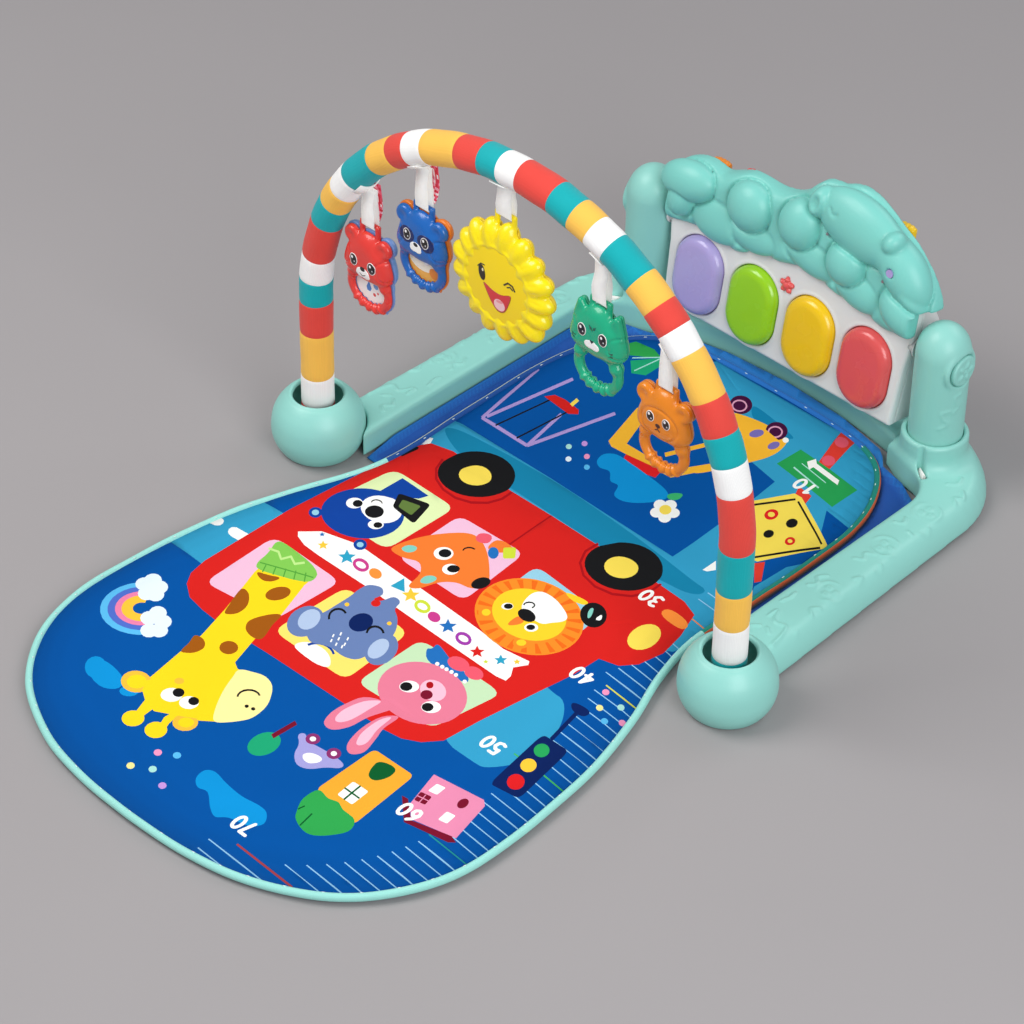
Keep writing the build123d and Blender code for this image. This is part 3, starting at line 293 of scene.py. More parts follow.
def line_d(px, py, pts):
    """Distance to an open polyline."""
    px, py = np.broadcast_arrays(px, py)
    d = np.full(px.shape, 1e18)
    for (ax, ay), (bx, by) in zip(pts[:-1], pts[1:]):
        ex, ey, wx, wy = bx - ax, by - ay, px - ax, py - ay
        t = np.clip((wx * ex + wy * ey) / (ex * ex + ey * ey + 1e-12), 0, 1)
        d = np.minimum(d, (wx - ex * t) ** 2 + (wy - ey * t) ** 2)
    return np.sqrt(d)


def arc_pts(a, b, c, n=10):
    """Points on the circle through a, b, c, from a to c."""
    (x1, y1), (x2, y2), (x3, y3) = a, b, c
    d = 2 * (x1 * (y2 - y3) + x2 * (y3 - y1) + x3 * (y1 - y2))
    ux = ((x1**2 + y1**2) * (y2 - y3) + (x2**2 + y2**2) * (y3 - y1) + (x3**2 + y3**2) * (y1 - y2)) / d
    uy = ((x1**2 + y1**2) * (x3 - x2) + (x2**2 + y2**2) * (x1 - x3) + (x3**2 + y3**2) * (x2 - x1)) / d
    r = math.hypot(x1 - ux, y1 - uy)
    a0, am, a1 = (math.atan2(p[1] - uy, p[0] - ux) for p in (a, b, c))
    ccw = (am - a0) % (2 * math.pi) < (a1 - a0) % (2 * math.pi)
    span = (a1 - a0) % (2 * math.pi) if ccw else -((a0 - a1) % (2 * math.pi))
    return [(ux + r * math.cos(a0 + span * k / n), uy + r * math.sin(a0 + span * k / n)) for k in range(n + 1)]


def catmull(pts, m=6, closed=True):
    p = np.array(pts, float)
    n = len(p)
    out = []
    for i in range(n if closed else n - 1):
        if closed:
            a, b, c, d = p[i - 1], p[i], p[(i + 1) % n], p[(i + 2) % n]
        else:
            a, b, c, d = p[max(i - 1, 0)], p[i], p[i + 1], p[min(i + 2, n - 1)]
        for k in range(m):
            t = k / m
            out.append(tuple(0.5 * ((2 * b) + (-a + c) * t + (2 * a - 5 * b + 4 * c - d) * t * t
                                    + (-a + 3 * b - 3 * c + d) * t ** 3)))
    if not closed:
        out.append(tuple(p[-1]))
    return out


class Grid:
    def __init__(self, lo, hi, h):
        self.lo, self.h = np.array(lo, float), h
        n = np.ceil((np.array(hi, float) - self.lo) / h).astype(int) + 1
        ax = [self.lo[i] + h * np.arange(n[i]) for i in range(3)]
        self.x, self.y, self.z = ax[0][:, None, None], ax[1][None, :, None], ax[2][None, None, :]
        self.shape = tuple(n)

    def mesh(self, f):
        """Surface nets of the zero level of f."""
        f = np.broadcast_to(f, self.shape).astype(np.float64)
        s = f < 0
        nx, ny, nz = self.shape
        cnt = np.zeros((nx - 1, ny - 1, nz - 1), np.int8)
        for i in (0, 1):
            for j in (0, 1):
                for k in (0, 1):
                    cnt += s[i:nx - 1 + i, j:ny - 1 + j, k:nz - 1 + k]
        act = (cnt > 0) & (cnt < 8)
        idx = -np.ones(act.shape, np.int64)
        ijk = np.argwhere(act)
        idx[act] = np.arange(len(ijk))
        pos, num = np.zeros((len(ijk), 3)), np.zeros(len(ijk))
        c = [(i, j, k) for i in (0, 1) for j in (0, 1) for k in (0, 1)]
        for a in c:
            for b in c:
                if sum(abs(p - q) for p, q in zip(a, b)) != 1 or a > b:
                    continue
                va = f[ijk[:, 0] + a[0], ijk[:, 1] + a[1], ijk[:, 2] + a[2]]
                vb = f[ijk[:, 0] + b[0], ijk[:, 1] + b[1], ijk[:, 2] + b[2]]
                cross = (va < 0) != (vb < 0)
                t = np.where(cross, va / np.where(cross, va - vb, 1.0), 0.0)
                p = np.array(a, float)[None] + t[:, None] * (np.array(b, float) - np.array(a, float))[None]
                pos += np.where(cross[:, None], p, 0.0)
                num += cross
        verts = self.lo + self.h * (ijk + pos / np.maximum(num, 1)[:, None])
        quads = []
        e = (s[:-1] != s[1:])[:, 1:-1, 1:-1]
        q = np.argwhere(e) + [0, 1, 1]
        fl = s[q[:, 0], q[:, 1], q[:, 2]]
        A = np.stack([idx[q[:, 0], q[:, 1] - 1, q[:, 2] - 1], idx[q[:, 0], q[:, 1], q[:, 2] - 1],
                      idx[q[:, 0], q[:, 1], q[:, 2]], idx[q[:, 0], q[:, 1] - 1, q[:, 2]]], 1)
        quads.append(np.where(fl[:, None], A, A[:, ::-1]))
        e = (s[:, :-1] != s[:, 1:])[1:-1, :, 1:-1]
        q = np.argwhere(e) + [1, 0, 1]
        fl = s[q[:, 0], q[:, 1], q[:, 2]]
        A = np.stack([idx[q[:, 0] - 1, q[:, 1], q[:, 2] - 1], idx[q[:, 0] - 1, q[:, 1], q[:, 2]],
                      idx[q[:, 0], q[:, 1], q[:, 2]], idx[q[:, 0], q[:, 1], q[:, 2] - 1]], 1)
        quads.append(np.where(fl[:, None], A, A[:, ::-1]))
        e = (s[:, :, :-1] != s[:, :, 1:])[1:-1, 1:-1]
        q = np.argwhere(e) + [1, 1, 0]
        fl = s[q[:, 0], q[:, 1], q[:, 2]]
        A = np.stack([idx[q[:, 0] - 1, q[:, 1] - 1, q[:, 2]], idx[q[:, 0], q[:, 1] - 1, q[:, 2]],
                      idx[q[:, 0], q[:, 1], q[:, 2]], idx[q[:, 0] - 1, q[:, 1], q[:, 2]]], 1)
        quads.append(np.where(fl[:, None], A, A[:, ::-1]))
        quads = np.concatenate(quads)
        return verts, quads[(quads >= 0).all(1)]


def grain(v):
    return v


# ------------------------------------------------------------------ piano local frame
LEAN = math.radians(9.0)
SL, CL = math.sin(LEAN), math.cos(LEAN)
PIV = np.array([0.0, 311.0, 112.0])


def from_panel(v):
    """(x, h, d) on the leaned panel to (x, y, z)."""
    v = np.asarray(v, float)
    return PIV + v[:, :1] * [1, 0, 0] + v[:, 1:2] * [0, SL, CL] + v[:, 2:3] * [0, -CL, SL]


# ================================================================== base frame
ARM_RELIEF = [
    catmull([(188, 73), (189, 82), (196, 71), (205, 73), (209, 63), (211, 51)], 5, False),
    catmull([(218, 118), (219, 107), (225, 103), (221, 92), (222, 84)], 5, False),
    [(184, 92), (186, 100), (185, 106)], [(213, 77), (216, 72)], [(205, 150), (208, 156), (211, 149)],
    [(198, 221), (203, 220)], catmull([(166, 312), (171, 314), (170, 308), (176, 306)], 4, False),
    [(196, 62), (201, 58)], catmull([(190, 168), (196, 172), (192, 178), (198, 182)], 4, False),
    catmull([(184, 222), (190, 226), (187, 232)], 4, False), catmull([(183, 286), (189, 292), (186, 300)], 4, False),
    catmull([(186, 120), (190, 126), (185, 131), (189, 138)], 4, False), catmull([(209, 168), (213, 173), (208, 178)], 4, False),
    catmull([(203, 272), (198, 277), (203, 282), (197, 288)], 4, False), catmull([(206, 226), (210, 232), (206, 237)], 4, False),
    catmull([(186, 44), (191, 48), (186, 54), (191, 60)], 4, False), catmull([(210, 96), (205, 101), (209, 107)], 4, False),
]
ARM_RINGS = [((202, 126), 10.5), ((194, 249), 10.5), ((197, 195), 11.0)]


def relief_2d(X, Y):
    r = np.zeros(np.broadcast(X, Y).shape)
    for l in ARM_RELIEF:
        q = line_d(X, Y, l)
        r = r + 1.25 * np.exp(-(q / 1.35) ** 2) - 0.45 * np.exp(-((q - 3.0) / 1.2) ** 2)
    for (cx, cy), rad in ARM_RINGS:
        q = np.hypot(X - cx, Y - cy)
        a = np.arctan2(Y - cy, X - cx)
        gap = np.clip(np.cos(a * 2 + cx) + 0.9, 0, 1)
        r = np.maximum(r, gap * np.exp(-((q - rad) / 1.2) ** 2))
        # small petals inside each ring
        for k in range(3):
            px, py = cx + 4.3 * math.cos(k * 2.09 + cy), cy + 4.3 * math.sin(k * 2.09 + cy)
            r = np.maximum(r, 0.8 * np.exp(-((np.hypot(X - px, Y - py) - 1.8) / 1.0) ** 2))
    return r


def build_arm():
    g = Grid((112, 9, -1), (228, 353, 48), grain(1.25))
    outline = ([(176, 13), (175, 250)] + arc_pts((175, 250), (167, 272.5), (147, 285))[1:]
               + [(118, 294), (118, 350), (157, 350)] + arc_pts((157, 350), (197, 320), (214, 266))[1:] + [(223, 13)])
    outer = [(118, 352), (157, 350)] + arc_pts((157, 350), (197, 320), (214, 266))[1:] + [(223, 13)]
    X, Y = g.x[:, :, 0], g.y[:, :, 0]
    d2 = poly_sd(X, Y, outline)
    do = line_d(X, Y, outer)
    top = 24.0 - 1.6 * np.exp(-(do / 16.0) ** 2) + 1.15 * relief_2d(X, Y) * np.clip((do - 4) / 6, 0, 1)
    edge = np.clip(1 - do / 24.0, 0, 1)
    k = 5.0 + 17.0 * edge * edge * (3 - 2 * edge)
    z = g.z
    body = smax(d2[:, :, None], z - top[:, :, None], k[:, :, None])
    rc = np.hypot(X - 149, Y - 311)[:, :, None]
    collar = smax(rc - 26.5, z - 44.0, 6.0)
    body = smin(body, collar, 11.0)
    body = smax(body, 1.5 - z, 1.5)
    # round lip where the post goes in
    lip = np.sqrt((rc - 23.6) ** 2 + (z - 43.0) ** 2) - 2.6
    body = smin(body, lip, 2.0)
    bore = np.maximum(rc - 21.9, 26.0 - z)
    body = smax(body, -bore, 1.2)
    # hollow from below, with ribs and bosses
    inner = np.maximum(d2[:, :, None] + 3.2, z - 19.5)
    inner = np.minimum(inner, np.maximum(rc - 22.0, z - 22.0))
    inner = np.maximum(inner, body + 2.7)
    for y in (80, 130, 160, 190, 240):
        inner = np.maximum(inner, -(np.abs(g.y - y) - 1.2))
    for (bx, by, br) in [(199, 105, 8.5), (196, 215, 8.5), (176, 322, 8.5), (200, 52, 5.5), (125, 338.5, 5.5)]:
        inner = np.maximum(inner, -(np.hypot(g.x - bx, g.y - by) - br))
    body = np.maximum(body, -inner)
    for (bx, by, br) in [(199, 105, 6.4), (196, 215, 6.4), (176, 322, 6.4)]:
        body = np.maximum(body, -np.maximum(np.hypot(g.x - bx, g.y - by) - br, z - 3.6))
    for (bx, by) in [(200, 52), (125, 338.5)]:
        body = np.maximum(body, -np.maximum(np.hypot(g.x - bx, g.y - by) - 3.4, z - 3.9))
    # concave front end against the round foot
    body = smax(body, -(np.hypot(g.x - 213, g.y) - 37.9), 1.2)
    # strap slot
    u = (g.x - 160.5) * math.cos(math.radians(-30)) + (g.y - 283.5) * math.sin(math.radians(-30))
    v = -(g.x - 160.5) * math.sin(math.radians(-30)) + (g.y - 283.5) * math.cos(math.radians(-30))
    body = smax(body, -(np.hypot(np.maximum(np.abs(u) - 4.7, 0), v) - 2.3), 1.5)
    body = np.maximum(body, 118.0 - g.x)
    return g.mesh(body)


def mirror(vf):
    v, f = vf
    v = v.copy()
    v[:, 0] *= -1
    return v, f[:, ::-1]


arm = build_arm()
new_object("right_arm_shell", *arm, "base", MINT, ["right_arm"], "mint_plastic")
new_object("left_arm_shell", *mirror(arm), "base", MINT, ["left_arm"], "mint_plastic")


def build_rail():
    g = Grid((-119.5, 300, -1), (119.5, 364, 28), grain(1.4))
    front = arc_pts((-117.8, 304), (0, 318), (117.8, 304), 30)
    back = arc_pts((117.8, 350), (0, 362), (-117.8, 350), 30)
    X, Y = g.x[:, :, 0], g.y[:, :, 0]
    d2 = poly_sd(X, Y, front + back)
    df = line_d(X, Y, front)
    ribs = np.zeros(df.shape)
    for q, a in ((5.0, 0.55), (8.6, 0.5), (12.2, 0.45)):
        fade = np.clip((118 - np.abs(X)) / 25.0, 0, 1)
        ribs = np.maximum(ribs, a * fade * np.exp(-((df - q) / 1.1) ** 2))
    top = 23.6 + 1.2 * np.clip(df / 12.0, 0, 1) + ribs
    z = g.z
    body = smax(d2[:, :, None], z - top[:, :, None], 6.0)
    body = np.maximum(body, np.abs(g.x) - 117.8)
    body = smax(body, 1.5 - z, 1.5)
    inner = np.maximum(d2[:, :, None] + 3.0, z - 21.0)
    for x in (-80, -20, 20, 80):
        inner = np.maximum(inner, -(np.abs(g.x - x) - 1.3))
    for x in (-50, 50):
        inner = np.maximum(inner, -(np.hypot(g.x - x, g.y - 342) - 8.3))
    body = np.maximum(body, -inner)
    for x in (-50, 50):
        body = np.maximum(body, -np.maximum(np.hypot(g.x - x, g.y - 342) - 6.4, z - 3.6))
    return g.mesh(body)


new_object("rear_rail_shell", *build_rail(), "base", MINT, ["rear_rail"], "mint_plastic")


def build_post():
    g = Grid((125, 287, 24), (173, 335, 148), grain(1.15))
    x, y, z = g.x - 149, g.y - 311, g.z
    rho = np.hypot(x, y)
    q = np.sqrt((rho / 21.5) ** 2 + (np.maximum(z - 120.0, 0) / 25.0) ** 2)
    body = (q - 1) * 21.5
    body = smax(body, 26.2 - z, 1.5)
    # moulded S marks on the front and outer sides
    a = np.degrees(np.arctan2(y, x))
    s = (a + 38) * 0.375
    for (cs, cz, w) in ((0.0, 70.0, 4.0), (9.0, 84.0, 3.2)):
        l = catmull([(cs + w, cz + 8), (cs - w * .6, cz + 6), (cs - w * .2, cz), (cs + w * .8, cz - 4), (cs - w, cz - 9)],
                    5, False)
        d = line_d(s, z + 0 * s, l)
        body = body - 0.8 * np.exp(-(d / 1.2) ** 2)
    # recess for the round cap, raised ring round it
    rr = np.hypot(g.y - 311, z - 112.0)
    ring = np.sqrt((rr - 15.2) ** 2 + (g.x - 165.6) ** 2) - 2.2
    body = smin(body, ring, 2.5)
    body = smax(body, -np.maximum(rr - 13.6, 166.4 - g.x), 1.0)
    bore = np.maximum(rr - 4.4, g.x - 140)
    body = np.maximum(body, -bore)
    return g.mesh(body)


post = build_post()
new_object("right_post_shell", *post, "base", MINT, ["right_post"], "mint_plastic")
new_object("left_post_shell", *mirror(post), "base", MINT, ["left_post"], "mint_plastic")


def build_cap():
    g = Grid((165, 296, 97), (176, 326, 127), grain(0.75))
    rr = np.hypot(g.y - 311, g.z - 112.0)
    a = np.arctan2(g.z - 112.0, g.y - 311)
    flower = rr - (6.4 + 2.4 * np.cos(5 * a))
    top = 171.0 + 1.4 / (1 + np.exp(flower / 0.5)) - 1.3 * np.exp(-((rr - 2.4) / 0.9) ** 2)
    body = smax(rr - 12.9, g.x - top, 2.2)
    body = np.maximum(body, 166.7 - g.x)
    return g.mesh(body)


cap = build_cap()
cap_l = mirror(cap)
new_object("pivot_cap_discs", np.concatenate([cap[0], cap_l[0]]), np.concatenate([cap[1], cap_l[1] + len(cap[0])]),
           "base", MINT, ["pivot_caps"], "mint_plastic")


def build_socket():
    """Round foot as a lathe: egg outside, rolled rim, open mouth with the peg inside."""
    outer = catmull([(28.9, 0.6), (30.7, 2.2), (34.4, 8.6), (36.4, 15), (37, 22.0), (35.9, 31.5), (33.0, 39.2), (28.9, 45.2),
                     (25.6, 48.8), (23.6, 50.4)], 4, False)
    rim = [(22.8, 51.3), (21.9, 51.9), (21.0, 51.8), (20.2, 51.0), (19.7, 49.8)]
    inner = catmull([(19.6, 48.4), (21.5, 46.4), (25.8, 42), (30.4, 34), (33.2, 26), (32.4, 16), (27.0, 6.4)], 4, False)
    floor_ = [(24.6, 4.5), (20, 4.5), (7.9, 4.5), (7.9, 25), (7.9, 43.6), (7.3, 45.4), (6.2, 46.8), (3, 47.2), (0.4, 47.3)]
    under = [(0.4, 1.5), (12, 1.5)]
    prof = under[::-1] + []
    prof = [(0.4, 1.5), (15, 1.5), (27.9, 1.5)] + outer + rim + inner + floor_
    n = 72
    v, f = [], []
    for i in range(n):
        t = 2 * math.pi * i / n
        for (r, z) in prof:
            v.append((213 + r * math.cos(t), r * math.sin(t), z))
    m = len(prof)
    for i in range(n):
        for j in range(m - 1):
            a, b = i * m + j, ((i + 1) % n) * m + j
            f.append((a, b, b + 1, a + 1))
    c0, c1 = len(v), len(v) + 1
    v += [(213, 0, 1.5), (213, 0, 47.3)]
    for i in range(n):
        a, b = i * m, ((i + 1) % n) * m
        f.append((c0, b, a))
        f.append((c1, a + m - 1, b + m - 1))
    return np.array(v), f


sv, sf = build_socket()
new_object("right_arch_foot", sv, sf, "base", MINT, ["right_arch_socket"], "mint_plastic")
new_object("left_arch_foot", sv * [-1, 1, 1], [tuple(reversed(q)) for q in sf], "base", MINT, ["left_arch_socket"],
           "mint_plastic")

# ================================================================== piano
COVER_TOP = [(-146, 13), (-141, 26), (-134, 38), (-127, 47), (-117, 55), (-105, 60), (-93, 61), (-80, 59), (-70, 63),
             (-56, 69), (-42, 70), (-28, 69), (-12, 72), (0, 79), (8, 88), (15, 94), (23, 96), (31, 97), (40, 101),
             (52, 103), (66, 100), (80, 93), (92, 86), (102, 81), (112, 74), (122, 65), (131, 54), (137, 43), (139, 30)]
COVER_LOW = [(137, 20), (127, 12), (114, 6), (98, 3), (84, 6), (72, 12), (62, 11), (50, 10), (36, 13), (22, 19),
             (8, 16), (-10, 11), (-26, 10), (-36, 8), (-46, 2), (-57, 0), (-72, 2), (-88, 4), (-104, 2), (-118, -1),
             (-132, -2), (-142, 3)]
# (x, h, rx, rh, turn, top d): raised lobes, then lower lobes
LOBES = [(-107, 41, 27, 17.5, 12, 26.5), (-111, 25, 12.5, 17, -12, 24), (-44, 47, 21, 21, 0, 27), (6, 55, 19, 22, -14, 27.5),
         (55, 44, 18, 19.5, -12, 27), (114, 28, 23, 17, -24, 26.5),
         (-74, 20, 28, 19, 0, 18.5), (-38, 24, 26, 15, 0, 18), (21, 32, 30, 15, -8, 18.5), (68, 26, 26, 16, -14, 18.5)]


def ell(X, H, D, cx, ch, cd, rx, rh, rd, turn):
    c, s = math.cos(math.radians(turn)), math.sin(math.radians(turn))
    u, v = (X - cx) * c + (H - ch) * s, -(X - cx) * s + (H - ch) * c
    k0 = np.sqrt((u / rx) ** 2 + (v / rh) ** 2 + ((D - cd) / rd) ** 2)
    k1 = np.sqrt((u / rx ** 2) ** 2 + (v / rh ** 2) ** 2 + ((D - cd) / rd ** 2) ** 2)
    return k0 * (k0 - 1.0) / np.maximum(k1, 1e-6)


def build_cover():
    g = Grid((-150, -8, -7), (146, 110, 34), grain(1.3))
    X, H, D = g.x, g.y, g.z
    out = catmull(COVER_TOP + COVER_LOW, 3)
    d2 = poly_sd(X[:, :, 0], H[:, :, 0], out)[:, :, None]
    base = smax(d2, D - 15.2, 14.0)
    for (cx, ch, rx, rh, turn, top) in LOBES[6:]:
        e = ell(X, H, D, cx, ch, 10.0, rx, rh, top - 10.0, turn)
        base = smin(base + 1.1 * np.exp(-(e / 1.8) ** 2), e, 0.8)
    raised = None
    for (cx, ch, rx, rh, turn, top) in LOBES[:6]:
        e = ell(X, H, D, cx, ch, 13.0, rx, rh, top - 13.0, turn)
        raised = e if raised is None else smin(raised + 1.2 * np.exp(-(e / 1.8) ** 2), e, 0.8)
    # the sleeping animal: body and head run to a broad snout on the right
    head = ell(X, H, D, 60, 77, 11, 43, 25, 15.5, -10)
    snout = ell(X, H, D, 108, 60, 12, 30, 19, 16, -44)
    animal = smin(head, snout, 9.0)
    animal = smin(animal, ell(X, H, D, 97, 82, 18, 8, 10, 10.5, -30), 1.6)
    ear = ell(X, H, D, 23, 83, 14, 9.5, 14, 12.5, -12)
    ear = smax(ear, -(ell(X, H, D, 22, 84, 27, 5, 9, 5, -12)), 2.0)
    animal = smin(animal, ear, 1.0)
    jaw = ell(X, H, D, 116, 48, 12, 20, 9, 14, -38)
    animal = smin(animal, jaw, 1.0)
    eye = line_d(X[:, :, 0], H[:, :, 0], catmull([(37, 86), (41, 82), (45, 84)], 4, False))[:, :, None]
    animal = animal + 1.3 * np.exp(-(eye / 1.3) ** 2)
    nose = np.hypot(g.x - 104, g.y - 62)
    animal = animal + 1.6 * np.exp(-(nose / 4.0) ** 2)
    body = smin(base + 2.3 * np.exp(-(raised / 2.1) ** 2), raised, 0.8)
    body = smin(body + 2.3 * np.exp(-(animal / 2.1) ** 2), animal, 0.8)
    # the deepest creases, where three lobes meet, stop short of the hollow
    body = np.minimum(body, np.maximum(d2 + 5.0, D - 11.0))
    body = np.maximum(body, -4.0 - D)
    # hollow for the panel, and the room the posts need as the piano tilts
    panel = poly_sd(X[:, :, 0], H[:, :, 0], [(x * 1.004, h + (0.5 if h > 10 else 0)) for (x, h) in PANEL])[:, :, None]
    body = np.maximum(body, -np.maximum(panel - 0.3, D - 8.1))
    body = smax(body, -np.maximum(126.6 - np.abs(X), np.hypot(H, D) - 37.0), 3.0)
    body = np.maximum(body, -(np.hypot(X - 104, H - 62) - 3.4))
    inner = np.maximum(np.maximum(d2 + 6.0, D - 9.2), body + 2.4)
    body = np.maximum(body, -np.maximum(inner, 8.0 - D))
    v, f = g.mesh(body)
    return from_panel(v), f


PANEL = [(-118, -74), (118, -74), (121, -20), (125, 8), (125, 42), (100, 76), (62, 90), (24, 84), (0, 70), (-30, 61),
         (-90, 55), (-125, 38), (-125, 8), (-121, -20)]
INNER = [(-115.5, -71.5), (115.5, -71.5), (118.4, -20), (122.4, 8), (122.4, 41), (98.5, 73.6), (62, 87.3), (25, 81.4),
         (0.6, 67.4), (-30, 58.4), (-89.5, 52.4), (-122.4, 36.5), (-122.4, 8), (-118.4, -20)]
KEYX = {"purple": -86.0, "green": -29.0, "yellow": 29.0, "red": 86.0}
new_object("cloud_cover_shell", *build_cover(), "piano", MINT_COVER, ["cloud_cover"], "mint_plastic")


def stadium(X, H, cx, ch, w, l):
    """Distance to an upright rounded slot of width w and length l."""
    return np.hypot(X - cx, np.maximum(np.abs(H - ch) - (l - w) / 2, 0)) - w / 2


def build_panel():
    g = Grid((-127, -77, -1.5), (127, 93, 10), grain(1.05))
    X, H, D = g.x, g.y, g.z
    d2 = poly_sd(X[:, :, 0], H[:, :, 0], PANEL)
    d2 = smax(d2, d2, 0.01)[:, :, None]
    body = smax(d2 + 0.2, D - 8.0, 3.2)
    body = np.maximum(body, -D)
    inn = poly_sd(X[:, :, 0], H[:, :, 0], INNER)[:, :, None]
    body = np.maximum(body, -np.maximum(inn, D - 5.4))
    for kx in KEYX.values():
        s = stadium(X, H, kx, -36.0, 48.8, 68.8)
        # low rolled rim round each key opening
        body = smin(body, np.sqrt((s - 1.6) ** 2 + (D - 7.4) ** 2) - 1.25, 1.2)
        body = smax(body, -s, 1.0)
    a = np.arctan2(H + 4, X)
    body = smax(body, -(np.hypot(X, H + 4) - (5.9 + 1.5 * np.cos(5 * (a - math.pi / 2)))), 0.6)
    body = np.maximum(body, -(np.hypot(X - 104, H - 62) - 3.4))
    for s_ in (1, -1):
        body = np.maximum(body, -np.maximum(100 - s_ * X, np.hypot(H, D) - 7.1))
    v, f = g.mesh(body)
    return from_panel(v), f


new_object("piano_front_shell", *build_panel(), "piano", WHITE, ["piano_front_panel"], "white_plastic")


def build_key(kx):
    g = Grid((-27, -72, 2), (27, 0, 18), grain(0.9))
    X, H, D = g.x, g.y, g.z
    s = stadium(X, H, 0.0, -36.0, 48.0, 68.0)
    crown = 15.6 - 0.0011 * X ** 2 - 0.0006 * (H + 36) ** 2
    body = smax(s, D - crown, 8.5)
    body = np.maximum(body, 5.0 - D)
    fl = np.maximum(np.maximum(stadium(X, H, 0, -36, 50.6, 70.6), D - 5.2), 3.8 - D)
    body = np.minimum(body, fl)
    v, f = g.mesh(body)
    v[:, 0] += kx
    return from_panel(v), f


for k, kx in KEYX.items():
    new_object("key_%s_cap" % k, *build_key(kx), "key_" + k, KEYMAT[k], ["key_" + k], k + "_plastic")


def build_flower():
    g = Grid((-10, -14, 1), (10, 6, 13), grain(0.5))
    X, H, D = g.x, g.y + 4, g.z
    body = ell(X, H, D, 0, 0, 5.0, 5.0, 5.0, 6.2, 0)
    for k in range(5):
        t = math.radians(90 + 72 * k)
        body = smin(body, ell(X, H, D, 4.6 * math.cos(t), 4.6 * math.sin(t), 5.0, 2.9, 2.9, 5.6, 0), 0.5)
    body = np.maximum(body, 4.2 - D)
    body = np.minimum(body, np.maximum(np.maximum(np.hypot(X, H) - 8.3, D - 5.0), 3.8 - D))
    v, f = g.mesh(body)
    return from_panel(v), f


new_object("flower_button_cap", *build_flower(), "flower_button", KEYMAT["red"], ["flower_button"], "red_plastic")


FBUTTONS = {"orange": (-98, 55.0, 63.5, TOYMAT["orange"]), "red": (-64, 59.5, 66.5, KEYMAT["red"]),
            "coral": (40, 86.0, 99.0, KEYMAT["red"]), "yellow": (84, 81.5, 92.0, KEYMAT["yellow"])}
DROP = {"orange": 7.5, "red": 5.5, "coral": 5.5, "yellow": 9.0}


def build_rear_case():
    """Rear shell: flat middle, shoulders falling away behind the cover, tub for the cells, grille and switch slot."""
    g = Grid((-128, -77, -33), (128, 94, 0.9), grain(1.2))
    X, H, D = g.x, g.y, g.z
    p2 = poly_sd(X[:, :, 0], H[:, :, 0], PANEL)[:, :, None]
    hi = np.clip((H - 3) / 42.0, 0, 1)
    hi = hi * hi * (3 - 2 * hi)
    slope = 0.74 * hi * (1 + 0.28 * np.clip((X - 40) / 60.0, 0, 1))
    fall = p2 + slope * np.maximum(-D, 0) + 0.2
    out = smax(fall, -30.0 - D, 6.0)
    out = np.maximum(out, D + 0.2)
    inner = np.maximum(np.maximum(fall + 2.6, -27.6 - D), out + 2.3)
    body = np.maximum(out, -inner)
    # screw columns
    for (x, h) in [(-57.5, -56), (57.5, -56), (-108, 26), (108, 30), (4, 54)]:
        r = np.hypot(X - x, H - h)
        body = np.minimum(body, np.maximum(np.maximum(r - 3.8, out), D + 0.2))
        body = np.maximum(body, -np.maximum(r - 2.7, D + 10.0))
    # battery tub and the opening its door closes
    bx, bh = np.abs(X), np.abs(H + 36)
    tub = np.maximum(np.maximum(bx - 32, bh - 28), np.maximum(-29.9 - D, D + 8))
    body = np.minimum(body, tub)
    body = np.maximum(body, -np.maximum(np.maximum(bx - 30, bh - 26), D + 10))
    # grille of round holes inside a raised ring, and a row of cooling lines
    q = np.hypot(X + 62, H - 22)
    for n, rad in ((1, 0.0), (6, 5.4), (12, 10.8)):
        for k in range(n):
            a = 2 * math.pi * k / n
            hole = np.hypot(X + 62 + rad * math.cos(a), H - 22 + rad * math.sin(a)) - 1.75
            body = np.maximum(body, -np.maximum(hole, D + 26.0))
    body = smin(body, np.sqrt((q - 16.0) ** 2 + (D + 29.9) ** 2) - 1.1, 0.8)
    for h in (-10, -16, -22, -28):
        for sx in (-88, 88):
            body = body + 0.9 * np.exp(-((H - h) / 1.1) ** 2) * (np.abs(X - sx) < 16) * (D < -28.2)
    # switch slot with a raised frame
    sx, sh = np.abs(X - 62), np.abs(H - 20)
    frame_d = np.maximum(np.maximum(sx - 9.6, sh - 5.6), np.abs(D + 30.2) - 0.8)
    body = smin(body, frame_d, 0.6)
    body = np.maximum(body, -np.maximum(np.maximum(sx - 7.0, sh - 3.0), D + 26.5))
    # openings for the buttons along the top
    for (fx, h0, h1, m) in FBUTTONS.values():
        body = np.maximum(body, -np.maximum(np.hypot(np.maximum(np.abs(X - fx) - 5.0, 0), D + 14.0) - 4.7, 34.0 - H))
    for s_ in (1, -1):
        body = np.maximum(body, -np.maximum(100 - s_ * X, np.hypot(H, D) - 7.1))
    v, f = g.mesh(body)
    return from_panel(v), f


new_object("piano_rear_shell", *build_rear_case(), "piano", WHITE, ["piano_rear_case"], "white_plastic")


